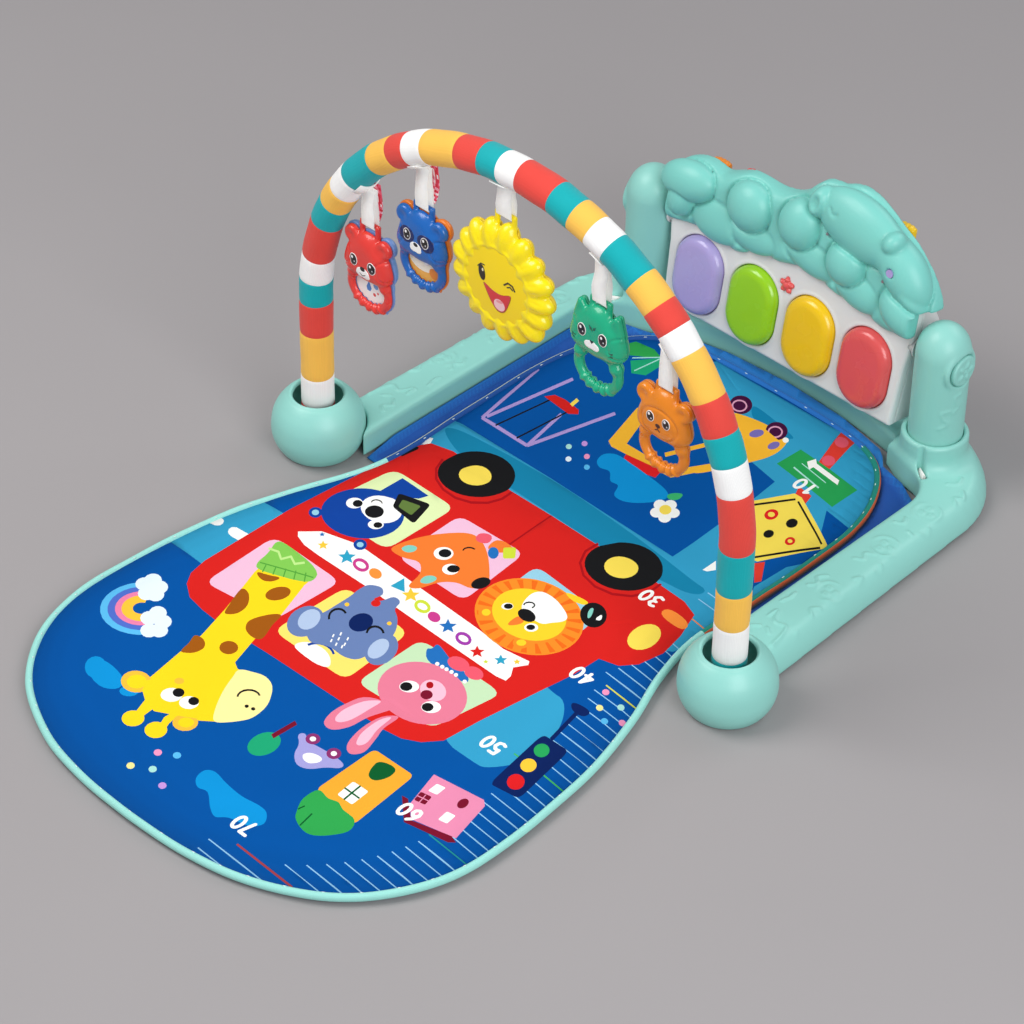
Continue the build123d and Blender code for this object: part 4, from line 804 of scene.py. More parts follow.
def build_speaker():
    """Small cone speaker: basket, cone, dust cap and magnet, as a lathe about the panel normal."""
    prof = [(0.0, -24.4), (3.4, -24.2), (4.4, -22.8), (11.4, -25.6), (13.2, -26.2), (15.0, -26.2), (15.0, -23.4), (11.5, -19.0),
            (8.0, -16.4), (8.0, -10.8), (7.2, -10.2), (0.0, -10.2)]
    n = 40
    v, f = [], []
    for i in range(n):
        t = 2 * math.pi * i / n
        for (r, d) in prof:
            r = max(r, 0.05)
            v.append((-62 + r * math.cos(t), 22 + r * math.sin(t), d))
    m = len(prof)
    for i in range(n):
        for j in range(m - 1):
            a, b = i * m + j, ((i + 1) % n) * m + j
            f.append((a, a + 1, b + 1, b))
    f.append(tuple(i * m for i in range(n)))
    f.append(tuple((n - 1 - i) * m + m - 1 for i in range(n)))
    return from_panel(v), f


new_object("small_speaker", *build_speaker(), "piano", BLACK, ["speaker"], "black_plastic")


def build_function_button(fx, h0, h1, name):
    g = Grid((fx - 12, h0 - 17, -21), (fx + 12, h1 + 1.5, -7), grain(0.8))
    X, H, D = g.x, g.y, g.z
    s = np.hypot(np.maximum(np.abs(X - fx) - 5.0, 0), D + 14.0) - 4.1
    body = smax(s, H - (h1 - 0.012 * (X - fx) ** 2), 3.4)
    ribs = 0.35 * np.cos((X - fx) * 1.6) * np.clip((H - h1 + 5) / 3, 0, 1)
    body = body - ribs * 0.6
    body = np.maximum(body, (h0 - 14.0) - H)
    v, f = g.mesh(body)
    return from_panel(v), f


for nm, (fx, h0, h1, m) in FBUTTONS.items():
    n = "function_button_" + nm
    new_object(n + "_cap", *build_function_button(fx, h0 - DROP[nm], h1 - DROP[nm], nm), n, m, [n],
               {"orange": "orange_plastic", "red": "red_plastic", "coral": "red_plastic", "yellow": "yellow_plastic"}[nm])


# ================================================================== mat
MAT_HALF = [(62, -387), (107, -376), (156, -350), (191, -309), (208, -260), (209, -200), (201, -124), (186, -66),
            (168, -16), (159, 28), (160, 90), (161, 165), (158, 212), (147, 249), (125, 281), (97, 297), (60, 303)]
MAT_PTS = [(0, -391)] + MAT_HALF + [(0, 304)] + [(-x, y) for (x, y) in reversed(MAT_HALF)]


def mat_loop(inset, m=8):
    p = np.array(catmull(MAT_PTS, m))
    t = np.roll(p, -1, 0) - np.roll(p, 1, 0)
    t /= np.linalg.norm(t, axis=1)[:, None]
    return p + inset * np.stack([-t[:, 1], t[:, 0]], 1)


MAT_OUT = mat_loop(5.2)


def edge_dist(x, y):
    """Distance inwards from the mat's edge."""
    pts = [tuple(q) for q in MAT_OUT[::2]]
    return -poly_sd(x, y, pts)


PCOL = {
    "deep": (0, 82, 160), "lightblue": (52, 158, 200), "stripe": (22, 132, 172), "white": (250, 250, 246),
    "red": (214, 34, 30), "darkred": (170, 18, 26), "black": (24, 24, 26), "hub": (250, 222, 88),
    "orangebump": (255, 146, 60), "paleGreen": (222, 238, 178), "palePink": (238, 190, 216), "paleBlue": (150, 205, 226),
    "paleYellow": (255, 226, 110), "paleGreen2": (196, 226, 184), "blue2": (35, 110, 185), "yel2": (255, 200, 60),
    "teal2": (45, 160, 195), "lime": (205, 220, 60), "magenta": (200, 60, 140), "purple2": (160, 60, 170),
    "bear": (16, 66, 156), "screen": (96, 122, 60), "fox": (240, 124, 50), "mint2": (130, 205, 190),
    "pinkred": (235, 90, 110), "mane": (250, 140, 40), "mane2": (238, 108, 28), "lion": (255, 208, 44),
    "koala": (104, 128, 178), "koalaIn": (176, 196, 226), "navy": (10, 34, 92), "rabbit": (228, 124, 150),
    "rabbitIn": (250, 190, 210), "maroon": (122, 18, 44), "giraffe": (255, 216, 30), "ear2": (246, 190, 60),
    "cream": (255, 240, 160), "spot": (160, 88, 18), "hat": (130, 200, 84), "hat2": (190, 232, 140),
    "hat3": (84, 160, 60), "cloudblue": (12, 146, 214), "rb1": (90, 186, 236), "rb2": (80, 110, 200),
    "rb3": (236, 130, 170), "rb4": (255, 196, 60), "cloud": (228, 242, 250), "pink2": (240, 150, 190),
    "yel3": (240, 232, 150), "mint3": (170, 226, 216), "lav2": (200, 150, 220), "treeg": (30, 165, 115),
    "lav": (164, 160, 218), "plum": (140, 50, 110), "house": (244, 170, 50), "dkgreen": (10, 92, 44),
    "bush": (48, 164, 78), "pinkhouse": (232, 140, 176), "grn": (40, 166, 90), "red2": (222, 32, 36),
    "swing": (176, 152, 214), "leaf": (60, 180, 110), "housey": (248, 184, 52), "ground2": (20, 130, 175),
    "plum2": (70, 18, 60), "pink3": (226, 160, 190), "lilac": (120, 110, 180), "postred": (228, 62, 50),
    "green2": (40, 160, 84), "fold": (42, 128, 198), "tick": (150, 205, 240), "tickw": (240, 248, 252),
    "t70": (170, 66, 70), "t60": (40, 150, 150), "t50": (70, 180, 90), "t40": (220, 220, 80), "t30": (240, 140, 60),
}
PRINT = [
    ("lightblue", [-208.3,-175.4,-197.7,-84.1,-157.7,-86.6,-159.4,-171.8,-203.9,-166.8]),
    ("lightblue", [-164.2,50,-159.3,89.6,82.6,85.1,84.2,165.9,173,65.2,93.3,-14.8,-111.8,-1.9]),
    ("lightblue", [-162.3,90.9,83.6,85,82.2,140.1,159.2,53.6,157.6,36.1,153.3,8.2,117.3,-27.9,-87.1,-30.3,-174.8,-11.1,-170.6,19.7]),
    ("stripe", [-148.1,74.5,-150.2,76.6,-151,78.4,-150.1,79.9,-147.2,81.3,-142.3,82.4,-135.6,83.2,-126.7,83.9,-115,84.6,-100,85.5,-82,86.4,-62.5,87.1,-42.6,87.3,-21.8,86.8,0.2,85.7,22,84.4,42.2,83,61.5,81.3,80.3,79.3,96.8,77.4,109.4,76,116.9,75.4,120.5,75.3,122.2,75.3,123.6,74.9,125.2,73.9,125.8,72.5,125.8,71.1,125.2,69.5,123.9,67.8,121.9,66,119.4,64.2,116.4,62.7,113.3,61.7,109.9,61,105.5,60.4,99.2,59.6,91.3,58.3,82.2,56.8,70.7,55.4,55.6,54.7,34.4,55.1,8.4,56.2,-18.3,57.4,-41.3,58.3,-59.7,58.7,-75.5,58.7,-89.2,58.7,-100.8,59.1,-109.9,59.9,-116.3,60.8,-121.6,62,-127,63.7,-133.1,66,-139.2,68.9,-144.5,71.9]),
    ("white", [-202.9,-131.4,-189,-131.4,-193.8,-120.7,-207.8,-120.7]),
    ("white", [-202.4,-123.1,-200.1,-126.3,-199.8,-129.4,-201.6,-131.2,-204.8,-131.1,-208.3,-129,-210.6,-125.8,-210.9,-122.7,-209.1,-120.9,-205.8,-121.1]),
    ("white", [-188.5,-123.1,-186.5,-126,-186.3,-129,-188.1,-130.8,-191.2,-130.8,-194.3,-129,-196.4,-126,-196.5,-123.1,-194.7,-121.3,-191.6,-121.3]),
    ("white", [-170.1,-133.4,-156.5,-133.1,-161.4,-122.6,-175,-122.8]),
    ("white", [-169.6,-125.2,-167.6,-128.1,-167.5,-131,-169.3,-132.8,-172.3,-132.8,-175.4,-131,-177.4,-128.1,-177.6,-125.2,-175.8,-123.4,-172.7,-123.4]),
    ("white", [-156.1,-124.9,-154.1,-127.8,-154,-130.8,-155.8,-132.6,-158.8,-132.6,-161.9,-130.8,-163.9,-127.9,-164,-124.9,-162.2,-123.1,-159.2,-123.1]),
    ("white", [-160.8,51.5,-144.1,52.7,-148.8,62.1,-165.5,60.9]),
    ("white", [-160.8,58.5,-159,55.8,-158.8,53.3,-160.3,51.9,-162.8,52.1,-165.5,53.8,-167.3,56.5,-167.5,59,-166.1,60.5,-163.5,60.3]),
    ("white", [108.7,89.7,108.9,104.6,115.8,96.8,112.2,90.8]),
    ("lightblue", [116.3,-88.7,119.4,-89.4,122.6,-89.9,125.9,-90.2,129.2,-90.4,132.5,-90.3,135.9,-91.4,139.4,-93.6,142.9,-96.9,146.5,-101.3,149.6,-105.8,152.2,-110.4,154.4,-115,156.2,-119.7,157.6,-124.7,158.7,-129.8,159.5,-135.2,159.9,-140.7,160.1,-145.8,160,-150.5,159.6,-154.7,159,-158.6,157.8,-162.5,156,-166.6,153.5,-170.9,150.5,-175.3,147.7,-178.7,145.1,-181.1,142.7,-182.4,140.6,-182.7,136.8,-183,131.4,-183.1,124.4,-183.2,115.7,-183.2,108.3,-181.3,102.1,-177.6,97.1,-172,93.4,-164.5,92.1,-154.8,93.2,-142.9,96.7,-128.8,102.7,-112.4,107.9,-100.3,112.5,-92.4]),
    ("red", [-145.4,56.2,-152.2,49.4,-156.4,31.8,-158.6,-25.3,-161.8,-80.1,-161.3,-167.5,-157.8,-184.5,-150.5,-195.4,-137.3,-204.4,-120.4,-207.4,-100,-208.8,-49,-206.6,12.9,-205.8,65.9,-205.2,83.4,-202.5,96.1,-195.2,106.1,-182.7,109.7,-150.1,116.4,-105.8,122.5,-65.3,123.2,-39.6,138,-34.3,146.4,-22,150,1,145.9,24.4,138,48.2,123.3,53.5,96.2,54.6,35,54.8,-15.8,56.3,-58.1,56.5,-112.3,58.6,-124.3,59.7]),
    ("black", [-156.9,33.5,-152.9,47.3,-148.6,46.3,-147.3,43.2,-149.9,29.4,-153.3,29.2]),
    ("darkred", [-56.2,56.2,-54.6,43.1,-58.9,31.1,-68.2,22.1,-81.2,17.5,-95.5,18.3,-109,24.1,-119.1,34.3,-124.3,47,-121.9,46.7,-117.3,35.1,-108,25.8,-95.6,20.6,-82.2,20.1,-70.1,24.4,-61.2,32.9,-57.1,44,-58.4,56]),
    ("darkred", [98.6,55.9,99.4,41.3,93.3,28.2,81.5,19.2,66.4,16.2,51,19.7,38.4,29.1,31.4,42.5,31.4,57.3,33.8,56.1,33.6,42.5,39.9,30.2,51.5,21.6,65.8,18.6,80,21.6,91.2,30.1,97.1,42.2,96.5,55.7]),
    ("darkred", [-16.6,56.7,-13.9,7.6,-12.2,7,-14.9,56]),
    ("black", [-68.3,70.9,-65.3,66.9,-63.1,62.4,-61.7,57.6,-61.2,52.7,-61.6,47.7,-63,42.8,-65.1,38.2,-68.1,34,-71.7,30.4,-75.9,27.3,-80.6,25,-85.6,23.5,-90.8,22.8,-96,23,-101.1,24.1,-105.8,26,-110.2,28.6,-113.9,32,-117,36,-119.3,40.4,-120.7,45.2,-121.3,50.2,-120.9,55.2,-119.6,60.2,-117.5,64.8,-114.5,69.1,-110.8,72.8,-106.5,75.9,-101.7,78.2,-96.6,79.7,-91.4,80.4,-86.2,80.1,-81.1,79,-76.3,77,-72,74.3]),
    ("hub", [-81.3,58.1,-79.2,55.1,-78.1,51.7,-78,48.1,-79,44.7,-80.9,41.7,-83.7,39.4,-87,37.9,-90.6,37.4,-94.3,37.9,-97.7,39.3,-100.6,41.7,-102.6,44.7,-103.8,48.1,-103.9,51.7,-102.9,55.1,-101,58.1,-98.2,60.5,-94.9,62,-91.2,62.5,-87.5,61.9,-84.1,60.4]),
    ("black", [88.1,68.2,90.9,64.1,92.8,59.6,93.9,54.9,94.2,50,93.5,45.1,91.9,40.4,89.6,36,86.5,32,82.7,28.6,78.4,25.8,73.7,23.8,68.7,22.6,63.5,22.2,58.4,22.7,53.5,24,48.9,26.1,44.8,28.9,41.3,32.4,38.4,36.5,36.4,41,35.2,45.8,34.9,50.7,35.6,55.7,37.1,60.4,39.5,64.9,42.6,69,46.5,72.4,50.8,75.2,55.6,77.3,60.7,78.5,65.9,78.8,71,78.3,76,76.9,80.6,74.7,84.7,71.8]),
    ("hub", [73.8,56.7,75.8,53.6,76.8,50.1,76.8,46.4,75.8,42.9,73.8,39.8,71,37.5,67.7,36,64,35.5,60.4,36,57,37.6,54.2,40,52.2,43.1,51.1,46.7,51.1,50.4,52.1,53.9,54.1,57,56.9,59.4,60.3,60.9,63.9,61.3,67.6,60.8,71,59.2]),
    ("hub", [132,17.3,134.8,15.1,137.1,11.8,138.7,7.8,139.6,3.3,139.7,-1.1,138.9,-5.3,137.4,-8.8,135.2,-11.4,132.5,-12.9,129.6,-13.1,126.6,-12,123.9,-9.8,121.6,-6.6,119.9,-2.6,119,1.9,118.9,6.4,119.6,10.6,121.2,14.1,123.4,16.7,126.1,18.2,129,18.4]),
    ("orangebump", [119.3,33,119.3,35.9,120.7,38,123.6,39.4,128,39.9,133.7,39.7,138.1,38.9,141.2,37.4,142.9,35.2,143.3,32.4,142,30.3,139.2,29,134.7,28.4,128.6,28.5,124,29.3,120.9,30.8]),
    ("paleGreen", [-142.6,1,-141.5,5.6,-139.3,8.9,-136.1,10.8,-131.8,11.3,-82.5,9.7,-78.3,8.9,-75.4,6.9,-73.6,3.6,-73.1,-0.9,-73.7,-53,-74.4,-57.3,-76.4,-60.5,-79.7,-62.4,-84.2,-63,-138.6,-63.2,-143.2,-62.6,-146.3,-60.6,-148,-57.4,-148.2,-52.9]),
    ("palePink", [-63.6,-4.1,-63.2,0.2,-61.5,3.3,-58.7,5.2,-54.6,5.9,-6.7,7.3,-2.6,6.8,0.4,5,2.4,1.9,3.4,-2.6,7.7,-54,7.5,-58.3,5.9,-61.3,3.1,-63.2,-1.2,-63.7,-51.7,-63.2,-56.1,-62.6,-59.2,-60.8,-61.2,-57.8,-62,-53.6]),
    ("paleBlue", [19.7,-5.7,20.1,-1.7,21.8,1.1,24.9,2.5,29.3,2.7,81.3,-1.8,85.7,-2.7,89,-4.6,91.2,-7.5,92.2,-11.2,97,-54.6,96.8,-58.2,95.1,-60.8,92.1,-62.4,87.7,-62.9,34.4,-62.5,29.7,-61.9,26.3,-60.2,24.1,-57.3,23.2,-53.3]),
    ("paleYellow", [-64.1,-124.6,-63.3,-120.1,-61.3,-117,-58.2,-115.3,-53.9,-114.9,-3.8,-117.7,0.5,-118.5,3.6,-120.5,5.6,-123.7,6.5,-128,9.8,-177.8,9.5,-181.9,7.7,-184.9,4.5,-186.7,-0.1,-187.2,-55.3,-186.8,-60.1,-186.1,-63.4,-184.2,-65.3,-181.1,-65.9,-176.7]),
    ("paleGreen2", [17.4,-126.1,18,-122,20.2,-119.1,23.9,-117.3,29.1,-116.8,89.2,-117.5,94.2,-118.2,97.5,-119.8,99.3,-122.6,99.4,-126.5,92.3,-171.4,91.1,-175.2,88.8,-178,85.4,-179.8,80.9,-180.5,28.4,-183,23.9,-182.6,20.7,-181,18.7,-178.2,18,-174.2]),
    ("palePink", [-144.5,-122,-144,-117.4,-142.1,-114.2,-138.9,-112.4,-134.4,-111.8,-81.3,-113.3,-76.9,-114,-73.8,-115.8,-72,-118.6,-71.5,-122.5,-73.7,-168,-74.4,-171.9,-76.3,-174.9,-79.3,-176.9,-83.5,-177.9,-132.5,-183.9,-136.8,-183.8,-139.8,-182.2,-141.8,-179.3,-142.5,-174.9]),
    ("white", [-136.6,-94.8,-124,-82.2,-92.5,-73.5,-37.2,-75.5,39,-79,67.3,-82,90.3,-78.4,92.5,-81.9,86.7,-91.6,92.1,-99.7,92.9,-105.7,84.4,-107.3,29.8,-106,-51,-103.5,-104.1,-103.8,-121.5,-102.7,-132.3,-98.9]),
    ("blue2", [-123.2,-82.4,-121.3,-83.3,-120,-82.3,-119.9,-84.1,-118.1,-85.3,-120,-85.5,-120.2,-87.3,-121.4,-85.6,-123.3,-85.6,-122.2,-84.3]),
    ("yel2", [-115.1,-89.1,-111.7,-90.7,-109.3,-88.8,-109.2,-92.2,-105.9,-94.3,-109.2,-94.7,-109.7,-98,-111.9,-94.9,-115.3,-94.8,-113.4,-92.4]),
    ("red", [51.2,-92.8,55.5,-94.9,58.6,-92.4,58.6,-96.8,62.6,-99.5,58.4,-100.1,57.8,-104.3,55.1,-100.3,50.8,-100.2,53.3,-97.1]),
    ("teal2", [70.4,-87.7,74,-89.6,76.7,-87.3,76.8,-91.2,80.2,-93.6,76.6,-94.1,76,-97.8,73.7,-94.3,69.9,-94.2,72.1,-91.5]),
    ("yel2", [81.9,-82.6,83.9,-83.7,85.5,-82.4,85.5,-84.6,87.4,-86,85.4,-86.3,85,-88.4,83.7,-86.4,81.6,-86.3,82.9,-84.8]),
    ("lime", [66.5,-99.3,68.1,-100.1,69.2,-99.1,69.2,-100.8,70.7,-101.8,69.1,-102,68.9,-103.6,67.9,-102.1,66.3,-102.1,67.2,-100.9]),
    ("teal2", [-94.7,-83.8,-89.3,-86.4,-85.5,-83.3,-85.3,-88.7,-80.3,-92,-85.5,-92.8,-86.1,-97.9,-89.6,-93,-95.1,-92.9,-92,-89.1]),
    ("magenta", [-67.2,-87.9,-66.5,-90.2,-66.8,-92.3,-68.1,-94,-70.3,-95,-73,-95.2,-75.9,-94.6,-78.6,-93.3,-80.7,-91.3,-81.9,-89.1,-82.2,-86.9,-81.3,-84.9,-79.5,-83.5,-77,-82.9,-74.2,-83.1,-71.3,-84.1,-68.9,-85.8,-67.2,-87.9,-69.9,-88.3,-70.8,-87.3,-72.1,-86.5,-73.8,-86.1,-75.6,-86,-77.1,-86.4,-78.3,-87.1,-79,-88.1,-79,-89.2,-78.4,-90.3,-77.2,-91.3,-75.7,-91.9,-73.9,-92.1,-72.2,-92,-70.8,-91.4,-69.9,-90.5,-69.6,-89.4,-69.9,-88.3]),
    ("orangebump", [-54.1,-87.3,-53.6,-89.2,-53.9,-91,-55.1,-92.3,-57.1,-93,-59.4,-93,-61.7,-92.3,-63.8,-90.9,-65.2,-89.2,-65.8,-87.3,-65.5,-85.6,-64.2,-84.2,-62.3,-83.5,-60,-83.5,-57.6,-84.2,-55.6,-85.6]),
    ("teal2", [-41.6,-90.4,-40.8,-76.6,-29.2,-87.6]),
    ("yel2", [-29.8,-80.8,-24.5,-83.4,-20.8,-80.3,-20.6,-85.6,-15.8,-88.9,-20.9,-89.6,-21.6,-94.7,-24.9,-89.9,-30.2,-89.8,-27.2,-86]),
    ("lime", [-1.3,-88.8,-0.6,-91,-1,-93.1,-2.3,-94.8,-4.4,-95.8,-7.1,-96.1,-9.9,-95.5,-12.5,-94.1,-14.5,-92.2,-15.7,-90,-15.9,-87.8,-15.1,-85.9,-13.3,-84.5,-10.8,-83.9,-8,-84.1,-5.3,-85,-2.9,-86.7,-1.3,-88.8,-3.9,-89.2,-4.8,-88.2,-6.1,-87.4,-7.7,-87,-9.4,-87,-11,-87.3,-12.2,-88,-12.8,-89,-12.8,-90.1,-12.2,-91.2,-11.1,-92.1,-9.6,-92.8,-7.9,-93,-6.3,-92.8,-4.9,-92.3,-4,-91.4,-3.6,-90.3,-3.9,-89.2]),
    ("magenta", [11.6,-91.3,12.1,-93.2,11.8,-94.9,10.6,-96.2,8.7,-96.9,6.4,-96.9,4.1,-96.2,2.1,-94.8,0.8,-93.1,0.2,-91.2,0.6,-89.5,1.8,-88.2,3.7,-87.5,5.9,-87.5,8.3,-88.2,10.2,-89.6]),
    ("blue2", [14.9,-86.4,20,-89,23.7,-85.9,23.8,-91.2,28.6,-94.4,23.6,-95.2,22.9,-100.2,19.7,-95.4,14.4,-95.3,17.4,-91.6]),
    ("purple2", [45.5,-93.2,46.2,-95.4,45.8,-97.5,44.5,-99.1,42.4,-100.1,39.8,-100.4,37,-99.8,34.5,-98.4,32.5,-96.6,31.4,-94.4,31.2,-92.2,32,-90.3,33.8,-88.9,36.2,-88.3,38.9,-88.5,41.6,-89.5,43.9,-91.1,45.5,-93.2,42.9,-93.6,42.1,-92.6,40.8,-91.8,39.2,-91.4,37.6,-91.4,36,-91.7,34.9,-92.4,34.2,-93.4,34.2,-94.5,34.8,-95.6,35.8,-96.5,37.3,-97.1,39,-97.3,40.6,-97.2,41.9,-96.6,42.9,-95.7,43.2,-94.7,42.9,-93.6]),
    ("bear", [-128.6,-15.8,-128,7.7,-97.7,5.9,-100.5,-2.1,-110,-8.7,-111.5,-16.6]),
    ("bear", [-140.9,-65.5,-139.7,-66.9,-138.8,-68.6,-138.4,-70.3,-138.5,-71.9,-139.1,-73.3,-140.1,-74.3,-141.5,-74.9,-143.1,-75,-144.9,-74.7,-146.6,-73.9,-148.1,-72.7,-149.4,-71.2,-150.2,-69.6,-150.6,-67.9,-150.6,-66.3,-150,-64.9,-148.9,-63.8,-147.6,-63.2,-145.9,-63.1,-144.2,-63.5,-142.5,-64.3]),
    ("paleBlue", [-142.5,-67.1,-141.5,-68.6,-141.3,-70.2,-141.9,-71.6,-143.3,-72.2,-144.9,-72.1,-146.5,-71.1,-147.5,-69.6,-147.8,-67.9,-147.1,-66.6,-145.8,-65.9,-144.1,-66.1]),
    ("bear", [-88.3,-69.2,-87.1,-70.6,-86.3,-72.2,-86,-73.8,-86.2,-75.4,-86.8,-76.7,-87.8,-77.8,-89.1,-78.4,-90.7,-78.5,-92.3,-78.2,-93.9,-77.5,-95.4,-76.4,-96.6,-75,-97.3,-73.4,-97.7,-71.7,-97.5,-70.2,-96.9,-68.9,-95.9,-67.8,-94.6,-67.2,-93,-67,-91.3,-67.3,-89.7,-68.1]),
    ("paleBlue", [-90,-70.9,-89.1,-72.3,-88.9,-73.8,-89.5,-75,-90.8,-75.7,-92.3,-75.5,-93.7,-74.7,-94.6,-73.3,-94.8,-71.8,-94.1,-70.6,-92.9,-69.9,-91.4,-70.1]),
    ("bear", [-93.3,-24.6,-90,-28.9,-87.5,-33.6,-86,-38.7,-85.4,-43.9,-85.9,-49.2,-87.3,-54.3,-89.6,-59.1,-92.8,-63.5,-96.8,-67.3,-101.4,-70.4,-106.5,-72.7,-112,-74.2,-117.6,-74.8,-123.3,-74.5,-128.9,-73.3,-134.1,-71.2,-138.8,-68.3,-143,-64.7,-146.4,-60.4,-148.9,-55.7,-150.5,-50.6,-151.2,-45.3,-150.8,-40,-149.4,-34.8,-147,-29.9,-143.8,-25.4,-139.8,-21.6,-135.1,-18.4,-129.9,-16.1,-124.3,-14.6,-118.6,-14.1,-112.9,-14.4,-107.3,-15.7,-102.1,-17.9,-97.3,-20.9]),
    ("white", [-96.6,-24,-94.5,-27.7,-93.6,-31.5,-93.8,-35.4,-95.2,-39,-97.7,-42.1,-101.2,-44.4,-105.3,-45.9,-109.9,-46.4,-114.5,-45.8,-119,-44.3,-122.9,-41.9,-126.1,-38.8,-128.2,-35.2,-129.2,-31.3,-129,-27.4,-127.6,-23.7,-125,-20.6,-121.5,-18.3,-117.4,-16.8,-112.8,-16.3,-108.1,-16.9,-103.7,-18.5,-99.7,-20.9]),
    ("white", [-119.3,-18.1,-117,-16.6,-114.5,-15.8,-111.8,-15.7,-108.9,-16.2,-105.8,-17.3,-103,-18.5,-100.7,-20,-98.9,-21.5,-97.5,-23.3,-96.5,-25.3,-96.1,-27.5,-96.2,-30,-96.8,-32.7,-98.8,-33.7,-102.2,-33,-107.1,-30.6,-113.3,-26.5,-117.4,-23,-119.4,-20.2]),
    ("white", [-127,-35.7,-125.8,-37.2,-125.1,-39,-124.8,-40.9,-125.2,-42.7,-126,-44.4,-127.3,-45.7,-128.9,-46.5,-130.8,-46.9,-132.7,-46.7,-134.5,-46,-136.1,-44.8,-137.3,-43.3,-138.1,-41.5,-138.3,-39.6,-138,-37.8,-137.1,-36.1,-135.8,-34.8,-134.2,-34,-132.3,-33.6,-130.4,-33.8,-128.6,-34.5]),
    ("black", [-126.7,-36.2,-125.6,-37.9,-125.2,-39.7,-125.6,-41.4,-126.8,-42.6,-128.5,-43.1,-130.4,-42.7,-132.1,-41.6,-133.2,-40,-133.6,-38.2,-133.2,-36.5,-132,-35.3,-130.3,-34.8,-128.4,-35.1]),
    ("white", [-96.6,-43.2,-95.6,-44.5,-95.1,-46,-95,-47.7,-95.4,-49.3,-96.2,-50.8,-97.4,-52,-98.9,-52.9,-100.6,-53.3,-102.2,-53.2,-103.8,-52.7,-105.1,-51.8,-106,-50.5,-106.6,-49,-106.7,-47.3,-106.3,-45.7,-105.4,-44.2,-104.2,-43,-102.7,-42.1,-101.1,-41.7,-99.4,-41.8,-97.9,-42.3]),
    ("black", [-96.9,-44.4,-96.1,-45.8,-95.8,-47.3,-96.3,-48.7,-97.4,-49.8,-98.8,-50.3,-100.4,-50.1,-101.7,-49.3,-102.6,-47.9,-102.8,-46.4,-102.3,-45,-101.3,-43.9,-99.8,-43.4,-98.3,-43.6]),
    ("black", [-107.8,-32.2,-106.5,-33.9,-105.6,-35.9,-105.4,-38,-105.8,-40.1,-106.7,-41.9,-108.1,-43.4,-110,-44.3,-112,-44.7,-114.2,-44.5,-116.2,-43.7,-118,-42.4,-119.4,-40.6,-120.2,-38.6,-120.5,-36.5,-120.1,-34.4,-119.2,-32.6,-117.7,-31.1,-115.9,-30.2,-113.8,-29.8,-111.7,-30,-109.6,-30.8]),
    ("black", [-123.2,-30.9,-124.1,-29.4,-124.3,-27.7,-123.7,-26.2,-122.6,-25,-120.9,-24.2,-119,-24.1,-117.2,-24.6,-115.6,-25.6,-116.2,-26.3,-117.4,-25.6,-118.8,-25.3,-120.3,-25.5,-121.5,-26.1,-122.5,-27,-123,-28.2,-123,-29.3,-122.4,-30.4]),
    ("black", [-115,-10.1,-115.3,-9,-115,-8.1,-113.9,-7.3,-112.2,-6.7,-93,-1.4,-91.1,-1.1,-89.6,-1.5,-88.5,-2.6,-87.7,-4.2,-82.4,-22.6,-82.1,-24.3,-82.5,-25.4,-83.5,-26,-85.2,-26.1,-103.5,-23.7,-105.3,-23.4,-106.8,-22.8,-108,-22,-108.8,-20.9]),
    ("screen", [-107.9,-12.8,-108,-12.2,-107.8,-11.7,-107.2,-11.2,-106.2,-10.9,-95.1,-7.8,-94,-7.6,-93.2,-7.8,-92.6,-8.3,-92.3,-9.1,-90.4,-18.5,-90.3,-19.4,-90.6,-20,-91.2,-20.4,-92.1,-20.5,-102.2,-20.2,-103.2,-20.1,-104,-19.8,-104.6,-19.4,-105,-18.9]),
    ("fox", [-72,-59.5,-72.7,-56.5,-72.2,-52.4,-71.2,-47.8,-69.8,-43.2,-68.4,-38.7,-66.5,-34.1,-64.2,-29.4,-61.6,-24.9,-58.4,-20.1,-54.7,-15.1,-50.9,-10.6,-47.4,-7.2,-44.3,-5,-41.5,-3.7,-38.6,-3.2,-35.3,-3.4,-31.4,-4.4,-27.1,-6.1,-22.7,-8.5,-18.3,-11.3,-13.7,-14.7,-9,-18.8,-4.5,-22.9,-0.8,-26.6,2.1,-29.5,4.4,-32.1,6.1,-34.5,7,-37.1,7,-40.2,6.4,-43.5,5,-46.7,3.1,-49.1,0.4,-50.5,-3.1,-51.2,-6.7,-51.8,-10,-53,-12.6,-54.7,-15,-56.8,-17.2,-59.3,-19.1,-62.2,-20.8,-65.8,-22.1,-70.1,-23.4,-74.2,-24.9,-77.3,-26.7,-79.4,-28.6,-80.9,-30.5,-81.3,-32.1,-80.5,-33.3,-77.7,-34.1,-73.3,-35,-68.4,-36.4,-64.5,-38.5,-61.5,-40.9,-59,-43.5,-57,-46.3,-56,-49.3,-56.3,-52.5,-57.8,-55.7,-59.4,-59,-60.5,-62.6,-61,-66.4,-61.3,-69.8,-60.9]),
    ("mint2", [-67.3,-51.4,-67,-49.5,-66.3,-47.8,-65.2,-46.4,-63.8,-45.4,-62.1,-44.6,-60.6,-44.4,-59.4,-44.8,-58.5,-45.7,-57.9,-47.2,-57.7,-48.6,-57.8,-50,-58.4,-51.4,-59.3,-52.8,-60.5,-53.8,-61.8,-54.4,-63.4,-54.7,-65.1,-54.6,-66.4,-54,-67.1,-53]),
